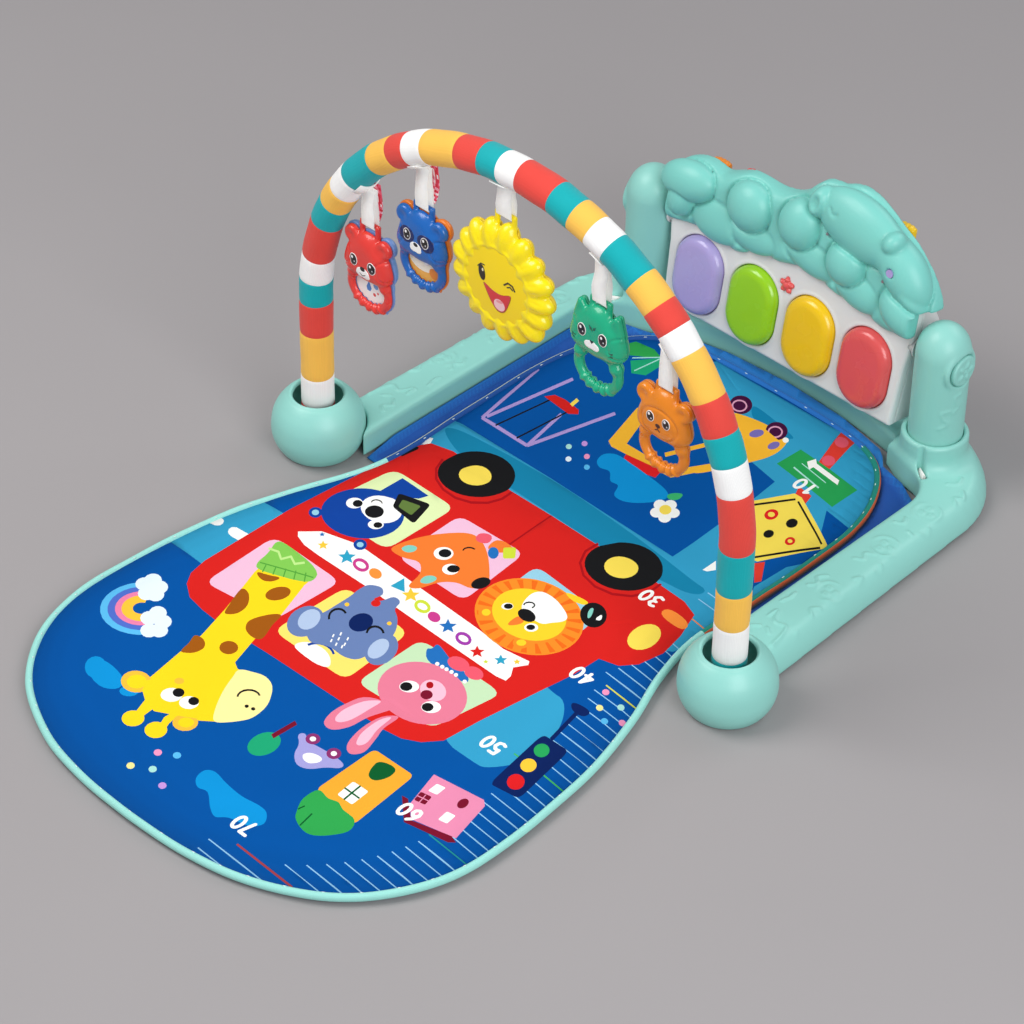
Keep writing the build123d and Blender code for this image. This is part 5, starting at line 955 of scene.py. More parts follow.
    ("mint2", [-30.6,-69.6,-31.4,-67.6,-31.6,-65.7,-31.4,-64,-30.7,-62.4,-29.6,-60.9,-28.3,-59.8,-27.1,-59.2,-25.7,-59,-24.3,-59.2,-23.3,-60,-22.7,-61.2,-22.6,-63,-22.8,-65.2,-23.4,-67.2,-24.3,-68.8,-25.5,-70.1,-27.2,-71.1,-28.5,-71.4,-29.7,-70.9]),
    ("fox", [-23.7,-2.1,-24.1,1.6,-23.2,4.5,-21,6.3,-17.5,7.3,-12.8,7.2,-9.3,6.7,-7.1,5.8,-6.1,4.3,-6.3,2.4,-7,0.5,-8.2,-1.4,-9.8,-3.3,-11.9,-5.1,-14,-6.5,-16,-7.5,-18,-7.9,-20,-7.8,-21.7,-6.9,-22.9,-5]),
    ("pinkred", [-37.7,-2.4,-38,-0.4,-37.7,1.4,-36.7,2.9,-35.1,4.2,-32.8,5.2,-30.8,5.4,-29,4.7,-27.4,3.2,-26.1,0.9,-25.6,-1.2,-25.8,-3,-26.8,-4.5,-28.5,-5.7,-30.2,-6.5,-31.8,-6.8,-33.4,-6.7,-35,-6.2,-36.2,-5.3,-37.1,-4]),
    ("blue2", [-11.7,-5.5,-9.9,-7.9,-9,-10.5,-9.2,-12.6,-10.5,-13.9,-12.6,-14.1,-15.1,-13.2,-17.5,-11.3,-19.3,-8.8,-20.3,-6.3,-20,-4.1,-18.7,-2.8,-16.6,-2.6,-14.1,-3.6]),
    ("lime", [-12,-0.4,-12.7,0.5,-13,1.4,-12.9,2.2,-12.4,2.9,-8.3,7.1,-7.6,7.5,-6.9,7.6,-6.1,7.2,-5.2,6.5,-0.1,0.5,0.6,-0.5,0.9,-1.4,0.8,-2.1,0.3,-2.9,-3.6,-6.8,-4.3,-7.3,-5,-7.3,-5.8,-7,-6.7,-6.2]),
    ("white", [-35.3,-30,-34,-31.8,-33.2,-33.8,-33.1,-35.9,-33.5,-38,-34.5,-39.9,-36,-41.4,-37.9,-42.4,-40,-42.9,-42.1,-42.7,-44.1,-41.9,-45.8,-40.6,-47.1,-38.9,-47.9,-36.9,-48.1,-34.7,-47.6,-32.6,-46.6,-30.8,-45.1,-29.2,-43.3,-28.2,-41.2,-27.8,-39,-28,-37,-28.7]),
    ("black", [-36.6,-30.9,-35.5,-32.5,-35.1,-34.4,-35.4,-36.3,-36.5,-37.8,-38.1,-38.9,-39.9,-39.3,-41.8,-38.9,-43.4,-37.8,-44.5,-36.2,-44.9,-34.3,-44.5,-32.4,-43.5,-30.8,-41.9,-29.8,-40,-29.4,-38.2,-29.8]),
    ("white", [-19.3,-40.3,-18.2,-41.8,-17.6,-43.5,-17.5,-45.3,-17.9,-47.1,-18.7,-48.6,-20,-49.9,-21.6,-50.8,-23.3,-51.2,-25.1,-51,-26.8,-50.4,-28.2,-49.3,-29.3,-47.8,-30,-46.1,-30.1,-44.3,-29.7,-42.6,-28.9,-41,-27.6,-39.7,-26,-38.8,-24.3,-38.5,-22.5,-38.6,-20.8,-39.2]),
    ("black", [-19.2,-39.4,-18.3,-40.8,-18.1,-42.6,-18.5,-44.4,-19.6,-45.9,-21.1,-47,-22.9,-47.4,-24.6,-47.2,-26,-46.3,-26.9,-44.8,-27.2,-43.1,-26.8,-41.3,-25.7,-39.7,-24.1,-38.7,-22.4,-38.2,-20.6,-38.5]),
    ("black", [6.5,-33,7.8,-34.3,8.7,-36.1,9.2,-38.2,9.3,-40.5,8.9,-42.8,8,-44.8,6.8,-46.5,5.3,-47.6,3.7,-48.2,2.1,-48.1,0.5,-47.4,-0.8,-46.1,-1.7,-44.3,-2.2,-42.2,-2.3,-39.9,-1.9,-37.7,-1,-35.6,0.2,-33.9,1.7,-32.8,3.3,-32.2,4.9,-32.3]),
    ("black", [-33,-22.8,-33.9,-21.5,-34.2,-19.9,-33.9,-18.3,-33.1,-16.7,-31.9,-15.5,-30.3,-14.7,-28.7,-14.4,-27.2,-14.7,-27.5,-15.9,-28.5,-15.8,-29.7,-16.2,-30.8,-16.8,-31.8,-17.8,-32.4,-18.9,-32.8,-20.1,-32.7,-21.2,-32.2,-22]),
    ("mane", [92.6,-23.7,95.7,-28.7,98,-34.1,99.4,-39.5,99.9,-45.1,99.5,-50.5,98.3,-55.8,96.1,-60.8,93.2,-65.5,89.5,-69.7,85.2,-73.3,80.2,-76.3,74.8,-78.7,68.9,-80.3,62.8,-81.1,56.5,-81.2,50.2,-80.5,43.9,-79,37.9,-76.8,32.3,-73.8,27.1,-70.3,22.4,-66.1,18.4,-61.5,15.2,-56.4,12.8,-51.1,11.2,-45.5,10.6,-39.9,10.9,-34.3,12.1,-28.9,14.2,-23.7,17.2,-19,21,-14.7,25.4,-11,30.5,-7.9,36.1,-5.6,42.1,-4,48.4,-3.2,54.8,-3.2,61.2,-4,67.5,-5.6,73.5,-8,79.1,-11,84.2,-14.7,88.8,-19]),
    ("mane2", [82.7,-31,92.2,-25.9,94.5,-30.1,83.7,-32.8]),
    ("mane2", [85.9,-38.5,96.8,-36.1,97.8,-40.5,86.3,-40.4]),
    ("mane2", [86.7,-46.2,98.1,-46.6,97.7,-51,86.5,-48.1]),
    ("mane2", [84.9,-53.6,96,-56.9,94.2,-60.9,84.1,-55.3]),
    ("mane2", [80.8,-60.1,90.7,-65.9,87.6,-69.2,79.5,-61.5]),
    ("mane2", [74.7,-65.2,82.6,-73.1,78.5,-75.4,73,-66.2]),
    ("mane2", [67.1,-68.5,72.3,-77.8,67.5,-78.9,65,-69]),
    ("mane2", [58.5,-69.7,60.6,-79.7,55.5,-79.6,56.3,-69.6]),
    ("mane2", [49.6,-68.7,48.5,-78.6,43.5,-77.2,47.5,-68.1]),
    ("mane2", [41.2,-65.6,36.9,-74.6,32.4,-72.1,39.3,-64.5]),
    ("mane2", [34,-60.5,26.7,-67.9,23.1,-64.5,32.4,-59.1]),
    ("mane2", [28.4,-54,18.9,-59.2,16.4,-55,27.4,-52.3]),
    ("mane2", [25.1,-46.6,13.9,-49,12.9,-44.5,24.6,-44.7]),
    ("mane2", [24.2,-38.7,12.4,-38.3,12.8,-33.8,24.4,-36.8]),
    ("mane2", [25.9,-31.2,14.4,-27.8,16.3,-23.7,26.7,-29.5]),
    ("mane2", [30,-24.6,19.8,-18.6,23,-15.2,31.4,-23.1]),
    ("mane2", [36.3,-19.4,28.1,-11.2,32.3,-8.9,38,-18.4]),
    ("mane2", [44.1,-16.1,38.7,-6.5,43.6,-5.4,46.1,-15.6]),
    ("mane2", [52.8,-15,50.6,-4.7,55.8,-4.9,55,-15.1]),
    ("mane2", [61.7,-16.1,62.9,-6,67.9,-7.4,63.8,-16.7]),
    ("mane2", [70.1,-19.4,74.5,-10.2,79,-12.8,72,-20.5]),
    ("mane2", [77.3,-24.5,84.6,-17.1,88.1,-20.6,78.8,-26]),
    ("mane", [33.9,-57.2,35.1,-58.9,36,-60.7,36.3,-62.6,36.1,-64.4,35.4,-66,34.2,-67.1,32.6,-67.9,30.9,-68.1,29,-67.7,27.2,-66.8,25.6,-65.5,24.3,-63.9,23.5,-62.1,23.1,-60.2,23.3,-58.3,24.1,-56.8,25.2,-55.6,26.8,-54.9,28.6,-54.7,30.4,-55,32.3,-55.9]),
    ("lion", [32.1,-59,33.1,-60.8,33.3,-62.6,32.5,-64.2,30.9,-65,29.1,-64.8,27.4,-63.7,26.3,-62,26.2,-60.1,27,-58.6,28.5,-57.8,30.4,-57.9]),
    ("mane", [76.2,-63.3,77.3,-64.8,78,-66.6,78.1,-68.4,77.8,-70.2,77,-71.8,75.7,-73.1,74.2,-73.9,72.4,-74.2,70.6,-74,68.9,-73.3,67.4,-72.1,66.3,-70.6,65.6,-68.8,65.5,-67,65.8,-65.2,66.6,-63.6,67.9,-62.4,69.4,-61.5,71.2,-61.2,73,-61.4,74.7,-62.2]),
    ("lion", [74.4,-65.1,75.3,-66.8,75.3,-68.7,74.3,-70.3,72.7,-71.2,70.8,-71.2,69.2,-70.3,68.3,-68.7,68.4,-66.8,69.3,-65.1,70.9,-64.2,72.8,-64.2]),
    ("lion", [80.3,-29.2,82.6,-33.4,84.1,-37.8,84.7,-42.3,84.3,-46.8,83.1,-51.1,80.9,-55,78,-58.6,74.3,-61.6,70.1,-64,65.3,-65.7,60.2,-66.6,54.9,-66.8,49.5,-66.1,44.3,-64.8,39.4,-62.7,34.9,-59.9,31,-56.5,27.8,-52.7,25.3,-48.4,23.8,-44,23.1,-39.4,23.4,-34.9,24.7,-30.5,26.8,-26.5,29.8,-22.9,33.5,-19.8,37.9,-17.4,42.7,-15.7,47.9,-14.8,53.3,-14.7,58.7,-15.4,63.9,-16.9,68.8,-19,73.3,-21.9,77.1,-25.3]),
    ("white", [45.9,-40.3,43,-37.3,41,-33.2,39.7,-28.9,39,-25.2,38.9,-22.2,39.5,-19.5,40.8,-17.2,42.6,-15.5,45.1,-14.5,48.3,-14.1,51.9,-14.1,55.6,-14.5,59.7,-15.4,64.3,-16.9,68.5,-18.6,71.9,-20.2,74.3,-21.7,76,-23.2,77,-24.9,77.3,-26.7,76.8,-28.9,75.5,-31.3,73.8,-33.7,72.1,-35.9,70.9,-37.9,69.8,-39.8,68.2,-41.4,65.7,-42.4,61.4,-42.8,55.8,-42.7,50.3,-42]),
    ("fox", [49.3,-56.1,49,-51.9,49.3,-49,50.3,-47.2,51.9,-46.7,54.2,-47.4,55.8,-48.4,56.7,-49.7,57,-51.3,56.6,-53.2,55.9,-55,54.9,-56.7,53.7,-58.4,52.1,-59.9,50.9,-60.1,49.9,-58.8]),
    ("black", [61,-41.6,61.5,-43.2,61.3,-44.8,60.5,-46.3,59.2,-47.5,57.3,-48.3,55.2,-48.6,52.9,-48.5,50.6,-47.9,48.6,-46.9,46.9,-45.6,45.8,-44,45.3,-42.4,45.4,-40.7,46.2,-39.3,47.6,-38.1,49.4,-37.3,51.6,-36.9,53.9,-37.1,56.1,-37.7,58.2,-38.7,59.8,-40]),
    ("white", [39.1,-42.3,39.8,-43.3,40.1,-44.4,40.1,-45.5,39.8,-46.7,39.2,-47.8,38.3,-48.7,37.2,-49.3,36.1,-49.6,34.9,-49.6,33.8,-49.3,32.9,-48.6,32.3,-47.7,31.9,-46.6,31.9,-45.4,32.2,-44.2,32.8,-43.1,33.7,-42.2,34.8,-41.6,36,-41.3,37.2,-41.3,38.2,-41.6]),
    ("black", [38.9,-42.6,39.6,-43.8,39.7,-45.2,39.2,-46.6,38.1,-47.6,36.8,-48.1,35.4,-48,34.2,-47.3,33.5,-46.1,33.4,-44.7,33.9,-43.3,35,-42.2,36.3,-41.7,37.7,-41.8]),
    ("white", [68.8,-46.7,69.6,-47.8,70,-49.1,70.1,-50.5,69.7,-51.9,69,-53.2,67.9,-54.2,66.7,-55,65.3,-55.3,64,-55.2,62.7,-54.8,61.6,-54,60.8,-52.9,60.4,-51.5,60.4,-50.1,60.7,-48.7,61.4,-47.5,62.5,-46.4,63.7,-45.7,65.1,-45.4,66.5,-45.4,67.8,-45.9]),
    ("black", [67.1,-48.1,67.8,-49.3,67.9,-50.7,67.4,-52,66.3,-53.1,65,-53.6,63.6,-53.5,62.4,-52.7,61.7,-51.5,61.7,-50.1,62.2,-48.8,63.2,-47.7,64.6,-47.2,65.9,-47.3]),
    ("black", [43.4,-36.4,42.4,-34.5,42.5,-32.1,43.7,-30.1,45.7,-28.9,48,-28.8,49.9,-29.9,50.9,-31.9,50.8,-34.2,49.4,-33.5,49.7,-31.9,49.1,-30.7,47.9,-30.1,46.4,-30.3,44.9,-31.3,43.9,-32.8,43.6,-34.4,44.2,-35.6]),
    ("lion", [57,-2.6,58.8,-1.8,61.1,-1,63.8,-0.4,67,0.1,70.7,0.6,73.4,0.6,75.1,0.1,75.9,-0.9,75.7,-2.4,74.9,-3.7,73.5,-4.7,71.6,-5.5,69,-6.1,66.3,-6.4,63.7,-6.3,61,-5.8,58.3,-5,56.8,-4.2,56.3,-3.4]),
    ("black", [96.2,-2.3,98.1,-5.4,99.2,-8.6,99.5,-11.7,99.1,-14.5,97.8,-16.8,95.8,-18.5,93.3,-19.4,90.4,-19.5,87.3,-18.7,84.2,-17.2,81.3,-15,78.8,-12.3,76.9,-9.2,75.8,-6,75.4,-2.9,75.9,-0,77.2,2.3,79.1,4,81.7,4.9,84.6,5,87.8,4.2,90.9,2.7,93.8,0.5]),
    ("mint2", [81.1,-3.4,81.4,-2.1,82,-1.8,83,-2.3,84.2,-3.9,85.7,-6.3,86.8,-8.4,87.5,-10.1,87.7,-11.5,87.5,-12.5,87,-12.7,86.1,-12.1,84.8,-10.7,83.1,-8.6,82,-6.7,81.3,-4.9]),
    ("white", [91.1,-7.1,91.1,-4.7,91.3,-3.3,92,-2.9,92.9,-3.6,94.2,-5.3,94.8,-6.7,94.9,-8,94.3,-8.9,93.1,-9.6,92.1,-9.6,91.5,-8.7]),
    ("white", [-43.3,-183,-41.8,-180.1,-39.4,-177.7,-36.3,-176,-32.3,-175,-27.5,-174.5,-23,-174.9,-18.9,-176.1,-15,-178,-11.5,-180.8,-9.4,-183.2,-8.6,-185.2,-9.2,-186.8,-11.1,-188.1,-13.7,-189,-16.9,-189.7,-20.9,-190,-25.5,-189.9,-29.8,-189.8,-33.7,-189.4,-37.3,-189,-40.6,-188.4,-42.7,-187.2,-43.6,-185.4]),
    ("bear", [-37.9,-179.1,-36.9,-175.9,-35.1,-173.1,-32.6,-171,-29.5,-169.7,-26,-169.2,-22.4,-169.5,-18.8,-170.7,-15.4,-172.7,-16.3,-174.2,-19.1,-172.6,-22.2,-171.7,-25.3,-171.5,-28.2,-172,-30.9,-173.2,-33,-175,-34.6,-177.3,-35.5,-180.1]),
    ("koala", [-54.4,-141.2,-54.4,-135.9,-54.3,-130.5,-54.2,-125.3,-54.2,-120.9,-54.4,-117.4,-54.8,-114.6,-55.1,-112.2,-55.2,-109.7,-55.1,-107.3,-55,-104.9,-54.6,-102.8,-53.6,-100.9,-51.9,-99.2,-49.7,-97.8,-47.2,-96.7,-45.1,-96.4,-43.2,-96.8,-41.3,-98,-39.7,-99.6,-38.7,-101.3,-38.6,-103.3,-39.1,-105.8,-39.7,-108.1,-39.6,-109.4,-38.7,-109.7,-37.2,-109.3,-35.6,-108.3,-34.3,-106.9,-33.4,-104.8,-32.7,-102,-31.9,-99.2,-30.8,-97.4,-29.2,-96.7,-27.2,-96.6,-25.2,-97.1,-23.6,-98.1,-22.6,-99.7,-22,-102,-21.3,-104.5,-20.1,-106.7,-18.2,-108.3,-15.9,-109.6,-13.3,-111.2,-10.8,-113.3,-8.2,-116,-5.4,-119.2,-2.9,-122.9,-0.8,-126.9,0.5,-131.7,1.3,-137.1,1.7,-142.5,2,-147.6,2.2,-152.3,2.2,-156.8,1.9,-160.9,0.9,-164.2,-0.8,-166.6,-3,-168.1,-5.7,-169.2,-8.7,-170,-12.2,-170.3,-16.2,-170.1,-20.3,-169.8,-24.3,-170.1,-28.1,-171.5,-32,-173.7,-35.7,-175.5,-39.5,-175.6,-43.7,-173.6,-48,-170,-51.9,-165.7,-54.6,-161.2,-55.7,-156.6,-55.5,-151.6,-54.8,-146.3]),
    ("koala", [-54.5,-147.2,-51,-149.6,-47.9,-152.8,-45.5,-156.7,-43.8,-161.1,-43,-165.5,-43.2,-169.7,-44.3,-173.5,-46.3,-176.5,-49,-178.6,-52.2,-179.6,-55.7,-179.5,-59.4,-178.3,-62.9,-175.9,-66,-172.7,-68.5,-168.8,-70.2,-164.5,-71,-160.1,-70.8,-155.8,-69.7,-152,-67.8,-148.9,-65,-146.8,-61.8,-145.8,-58.2,-145.9]),
    ("koalaIn", [-57.2,-148.4,-54.5,-149.9,-52,-152.3,-50,-155.4,-48.6,-158.8,-48,-162.3,-48.3,-165.5,-49.4,-168.1,-51.2,-169.8,-53.5,-170.5,-56.1,-170.1,-58.8,-168.7,-61.3,-166.3,-63.3,-163.2,-64.7,-159.8,-65.3,-156.3,-65.1,-153.1,-64,-150.5,-62.2,-148.7,-59.8,-148]),
    ("koala", [2.5,-128.5,6,-130.1,9.5,-132.6,12.6,-136,15.2,-140.1,17,-144.4,18,-148.8,18.1,-152.9,17.2,-156.4,15.5,-159.2,13.1,-161.1,10,-161.8,6.6,-161.4,3.1,-159.9,-0.4,-157.3,-3.5,-154,-6.1,-150,-8,-145.6,-9,-141.2,-9.1,-137.1,-8.2,-133.5,-6.5,-130.7,-4,-128.8,-1,-128.1]),
    ("koalaIn", [1.2,-135,3.6,-136.2,5.9,-138.4,7.8,-141.3,9.3,-144.7,10.1,-148.2,10.1,-151.6,9.5,-154.3,8.1,-156.3,6.3,-157.3,4,-157.2,1.7,-156.1,-0.6,-153.9,-2.6,-151,-4,-147.6,-4.8,-144.1,-4.9,-140.7,-4.3,-137.9,-2.9,-135.9,-1,-134.9]),
    ("red", [-32.5,-109.2,-31.5,-110.9,-31.4,-112.9,-32.3,-114.5,-34,-115.5,-36,-115.4,-37.7,-114.4,-38.8,-112.6,-38.9,-110.7,-38,-109,-36.3,-108.1,-34.3,-108.1]),
    ("navy", [-23.8,-125.9,-21.6,-127.8,-19.9,-130.3,-18.9,-133.1,-18.5,-136.1,-18.8,-138.9,-19.9,-141.4,-21.5,-143.4,-23.6,-144.6,-26,-145,-28.6,-144.6,-31,-143.4,-33.2,-141.5,-34.9,-139.1,-36,-136.2,-36.4,-133.3,-36,-130.4,-35,-127.9,-33.3,-125.9,-31.2,-124.7,-28.8,-124.3,-26.2,-124.7]),
    ("black", [-46.8,-149.6,-49.6,-147,-51.6,-143.9,-52.6,-140.5,-52.4,-137.4,-51,-135,-48.7,-133.6,-45.7,-133.4,-42.4,-134.5,-42.7,-136.3,-45.1,-135.5,-47.4,-135.7,-49.2,-136.8,-50.3,-138.7,-50.5,-141.1,-49.8,-143.7,-48.2,-146.1,-46.1,-148]),
    ("black", [-16.5,-140.5,-18.4,-137.7,-19.4,-134.6,-19.2,-131.8,-17.8,-129.6,-15.5,-128.2,-12.6,-128,-9.4,-128.9,-6.5,-130.8,-7.5,-132.1,-9.7,-130.7,-12.1,-130.1,-14.3,-130.3,-16,-131.3,-17.1,-133,-17.3,-135.1,-16.6,-137.4,-15.2,-139.5]),
    ("white", [-32.5,-157.8,-30.9,-160.9,-29.7,-160.7,-31.3,-157.7]),
    ("white", [-30.1,-152.6,-28.4,-155.7,-27.2,-155.5,-28.8,-152.4]),
    ("white", [-22.5,-152.8,-20.8,-155.9,-19.6,-155.8,-21.2,-152.7]),
    ("white", [-29.5,-162.7,-27.9,-165.8,-26.7,-165.6,-28.3,-162.5]),
    ("white", [-27.1,-157.5,-25.5,-160.6,-24.2,-160.4,-25.9,-157.3]),
    ("white", [-19.6,-158.6,-18,-161.7,-16.8,-161.5,-18.4,-158.4]),
    ("white", [-24,-163,-22.4,-166.1,-21.2,-165.9,-22.8,-162.8]),
    ("white", [-19.1,-162,-17.4,-165,-16.2,-164.8,-17.8,-161.8]),
    ("yel2", [-47.9,-126.6,-47.1,-128.1,-47.5,-129.4,-48.9,-129.9,-50.5,-129.2,-51.2,-127.7,-50.8,-126.3,-49.4,-125.8]),
    ("yel2", [-10.6,-119.4,-9.9,-120.9,-10.3,-122.2,-11.7,-122.7,-13.2,-122,-13.9,-120.5,-13.5,-119.1,-12.1,-118.7]),
    ("blue2", [33.3,-127.6,30.6,-124.9,28.9,-122.8,28.1,-121.1,28.2,-120.1,29.2,-119.5,29.9,-118.6,30.1,-117.4,29.9,-115.9,29.4,-114,29.6,-112.8,30.6,-112.2,32.5,-112.3,35.2,-113.1,37.7,-113.8,40.1,-114.6,42.3,-115.4,44.4,-116.2,47.4,-117,51.4,-117.9,56.4,-118.7,62.3,-119.5,67,-120.6,70.6,-122,73.1,-123.8,74.4,-125.8,74.3,-127.3,72.7,-128.4,69.7,-129.1,65.2,-129.3,60.5,-129.6,55.6,-130,50.5,-130.4,45.2,-130.8,40.6,-130.5,36.6,-129.4]),
    ("pinkred", [64.3,-114.3,65.1,-117,64.5,-119.5,62.6,-121.7,59.6,-123.1,56.1,-123.6,52.5,-123.1,49.4,-121.5,47.3,-119.3,46.5,-116.7,47.1,-114.1,49,-111.9,52,-110.5,55.5,-110,59.1,-110.6,62.2,-112.1]),
    ("pinkred", [78.3,-114.1,79.1,-116.5,78.7,-118.9,77,-120.8,74.5,-122.1,71.4,-122.5,68.2,-121.9,65.5,-120.5,63.6,-118.4,62.8,-116,63.2,-113.6,64.9,-111.7,67.4,-110.4,70.5,-110,73.7,-110.6,76.4,-112]),
    ("rabbit", [48.6,-183.2,45.1,-184.3,40.8,-185.9,36.7,-188,33.5,-190.9,31.4,-194.7,30.2,-199.5,29.4,-204.4,28.8,-208.7,28.5,-212.4,28.5,-215.7,28.7,-218.7,29.2,-221.5,29.9,-224.2,30.8,-226.7,31.9,-228.8,33.4,-230.4,35.2,-231.4,37.4,-232,39.7,-231.9,41.9,-231.1,43.8,-229.5,45.7,-227,47.3,-223.9,48.7,-220.6,49.6,-216.7,50,-212.4,50.4,-207.8,51.2,-203.2,52.8,-198.1,54.8,-192.6,56.6,-187.6,57.1,-184.1,56.2,-182.4,54.2,-182,51.6,-182.4]),
    ("rabbitIn", [45.3,-185.4,43.6,-185.9,41.2,-188,38.7,-190.9,36.7,-194,35.3,-197.7,34.1,-202,33.3,-206.4,32.9,-210.2,33,-213.6,33.5,-216.6,34.3,-219.2,35.2,-221.1,36.3,-222.2,37.5,-222.8,38.9,-222.7,40.1,-222.1,41.3,-220.9,42.4,-219,43.5,-216.7,44.3,-213.8,44.8,-210.2,45.2,-206,45.4,-201.6,45.5,-197.6,45.7,-193.8,46,-190,46,-186.9]),
    ("rabbit", [89.5,-142.5,92.2,-146.8,94.1,-151.4,95.1,-156.1,95.3,-160.8,94.6,-165.5,93,-169.9,90.7,-174.1,87.6,-177.9,83.8,-181.1,79.5,-183.9,74.6,-186,69.4,-187.4,64,-188,58.4,-188,52.9,-187.2,47.5,-185.7,42.5,-183.5,37.8,-180.7,33.6,-177.3,30.1,-173.4,27.4,-169.1,25.4,-164.5,24.3,-159.8,24,-155,24.7,-150.2,26.2,-145.7,28.5,-141.4,31.7,-137.6,35.5,-134.2,40,-131.5,44.9,-129.4,50.2,-128,55.8,-127.3,61.4,-127.5,67,-128.3,72.4,-129.9,77.4,-132.2,82,-135.1,86.1,-138.6]),
    ("rabbit", [66.2,-188.1,64.4,-188.3,61.9,-190.3,59.3,-193.4,57.5,-196.9,56.4,-200.8,55.9,-205.5,55.7,-210.4,55.9,-215.2,56.5,-220,57.5,-224.8,58.8,-229.4,60.3,-233,62.1,-235.7,64.3,-237.8,66.6,-239,68.6,-239.3,70.6,-238.5,72.5,-236.7,74.1,-234.1,74.9,-231.2,74.6,-227.6,73.5,-223.3,72.1,-218.9,70.9,-215,69.9,-212,68.8,-209.4,67.9,-206.9,67.2,-203.9,66.9,-199.7,67,-194.8,67,-190.4]),
    ("rabbitIn", [63,-192.4,62,-192.6,60.7,-194.4,59.5,-197.3,58.7,-200.5,58.4,-204.3,58.5,-208.8,58.8,-213.4,59.4,-217.3,60.2,-220.6,61.3,-223.5,62.6,-225.9,63.7,-227.7,64.8,-228.8,65.8,-229.2,66.8,-229.1,67.6,-228.6,68.4,-227.6,69,-226.3,69.4,-224.4,69.3,-222.1,68.6,-219.1,67.4,-215.6,66,-211.8,65,-208,64.4,-203.6,64,-198.8,63.6,-194.7]),
    ("rabbitIn", [73.4,-147.6,74.7,-151,74.7,-154.3,73.3,-157.1,70.7,-159.2,67.3,-160.2,63.4,-160.1,59.5,-158.8,56.1,-156.5,53.5,-153.5,52.2,-150.1,52.2,-146.8,53.5,-143.9,56.1,-141.9,59.6,-140.8,63.5,-141,67.4,-142.3,70.8,-144.6]),
    ("white", [46.1,-126.6,46.9,-128,46.5,-129.3,45.2,-129.6,43.8,-128.9,43.1,-127.4,43.4,-126.2,44.7,-125.8]),
    ("white", [55.1,-126.1,55.8,-127.5,55.4,-128.8,54.2,-129.1,52.8,-128.4,52,-126.9,52.4,-125.7,53.6,-125.3]),
    ("white", [64.3,-125.7,65,-127.1,64.7,-128.3,63.4,-128.7,62,-127.9,61.3,-126.5,61.6,-125.3,62.9,-124.9]),
    ("white", [73.9,-126.4,74.6,-127.8,74.2,-129.1,73,-129.4,71.6,-128.7,70.8,-127.3,71.2,-126,72.5,-125.6]),
    ("white", [51,-126.3,51.7,-127.7,51.4,-129,50.1,-129.4,48.7,-128.6,47.9,-127.2,48.3,-125.9,49.6,-125.6]),
    ("white", [59.7,-125.6,60.5,-127.1,60.1,-128.3,58.8,-128.7,57.4,-127.9,56.7,-126.5,57,-125.2,58.3,-124.9]),
    ("white", [53.3,-154.6,54.4,-156.1,55,-157.9,55,-159.8,54.5,-161.7,53.5,-163.5,52.1,-164.9,50.3,-165.9,48.4,-166.5,46.5,-166.4,44.7,-165.9,43.2,-164.8,42.1,-163.3,41.5,-161.5,41.5,-159.6,42,-157.7,43,-155.9,44.4,-154.5,46.2,-153.5,48.1,-152.9,50,-153,51.8,-153.6]),
    ("black", [49.9,-158.1,51,-159.6,51.4,-161.4,51.1,-163.2,50.2,-164.6,48.7,-165.6,46.9,-165.9,45.1,-165.5,43.6,-164.4,42.5,-162.9,42.1,-161.1,42.3,-159.3,43.3,-157.8,44.8,-156.9,46.5,-156.6,48.3,-157]),
    ("white", [80.1,-159.2,81.2,-160.6,81.7,-162.4,81.8,-164.3,81.3,-166.2,80.2,-167.9,78.8,-169.4,77.1,-170.4,75.2,-170.9,73.3,-170.9,71.5,-170.3,70,-169.3,69,-167.8,68.4,-166,68.4,-164.1,68.9,-162.2,69.9,-160.5,71.3,-159,73.1,-158,75,-157.5,76.9,-157.5,78.6,-158.1]),
    ("black", [76.3,-162.9,77.3,-164.4,77.7,-166.1,77.4,-167.8,76.5,-169.2,75.1,-170.1,73.4,-170.4,71.7,-170,70.3,-169,69.3,-167.6,68.9,-165.9,69.2,-164.2,70.1,-162.8,71.5,-161.9,73.2,-161.6,74.9,-162]),
    ("maroon", [66.5,-153.9,67.7,-155.5,68.2,-157.4,67.9,-159.2,67,-160.7,65.5,-161.6,63.7,-161.8,61.8,-161.4,60.2,-160.2,59.1,-158.6,58.6,-156.8,58.8,-155,59.8,-153.5,61.3,-152.5,63.1,-152.3,64.9,-152.8]),
    ("darkred", [59.5,-146.1,60.6,-147.7,60.9,-149.4,60.3,-150.7,59,-151.3,57.3,-151,55.7,-149.9,54.6,-148.3,54.4,-146.7,55,-145.4,56.3,-144.8,57.9,-145]),
    ("giraffe", [-124.7,-150.3,-109.3,-193.5,-99.5,-227.2,-96.7,-251.7,-91,-288.3,-85.2,-297.8,-74.6,-304.1,-62.3,-306.8,-52.8,-301,-44.8,-298.7,-31.9,-291.3,-18,-280,-11.3,-266.9,-22.8,-246.5,-45.3,-232.9,-53.7,-233.7,-60,-230.3,-68.9,-202.3,-74.7,-170.6,-87.1,-134.9,-88.3,-126,-107.5,-126.9,-127,-134.2]),
    ("cloudblue", [-122.5,-298.9,-119.5,-302.3,-117.8,-306.1,-117.7,-309.6,-119.1,-312.4,-122,-313.9,-125.7,-314,-129.8,-312.7,-133.7,-310.1,-136.8,-306.7,-138.5,-302.9,-138.6,-299.3,-137.2,-296.6,-134.3,-295,-130.6,-294.9,-126.4,-296.3]),
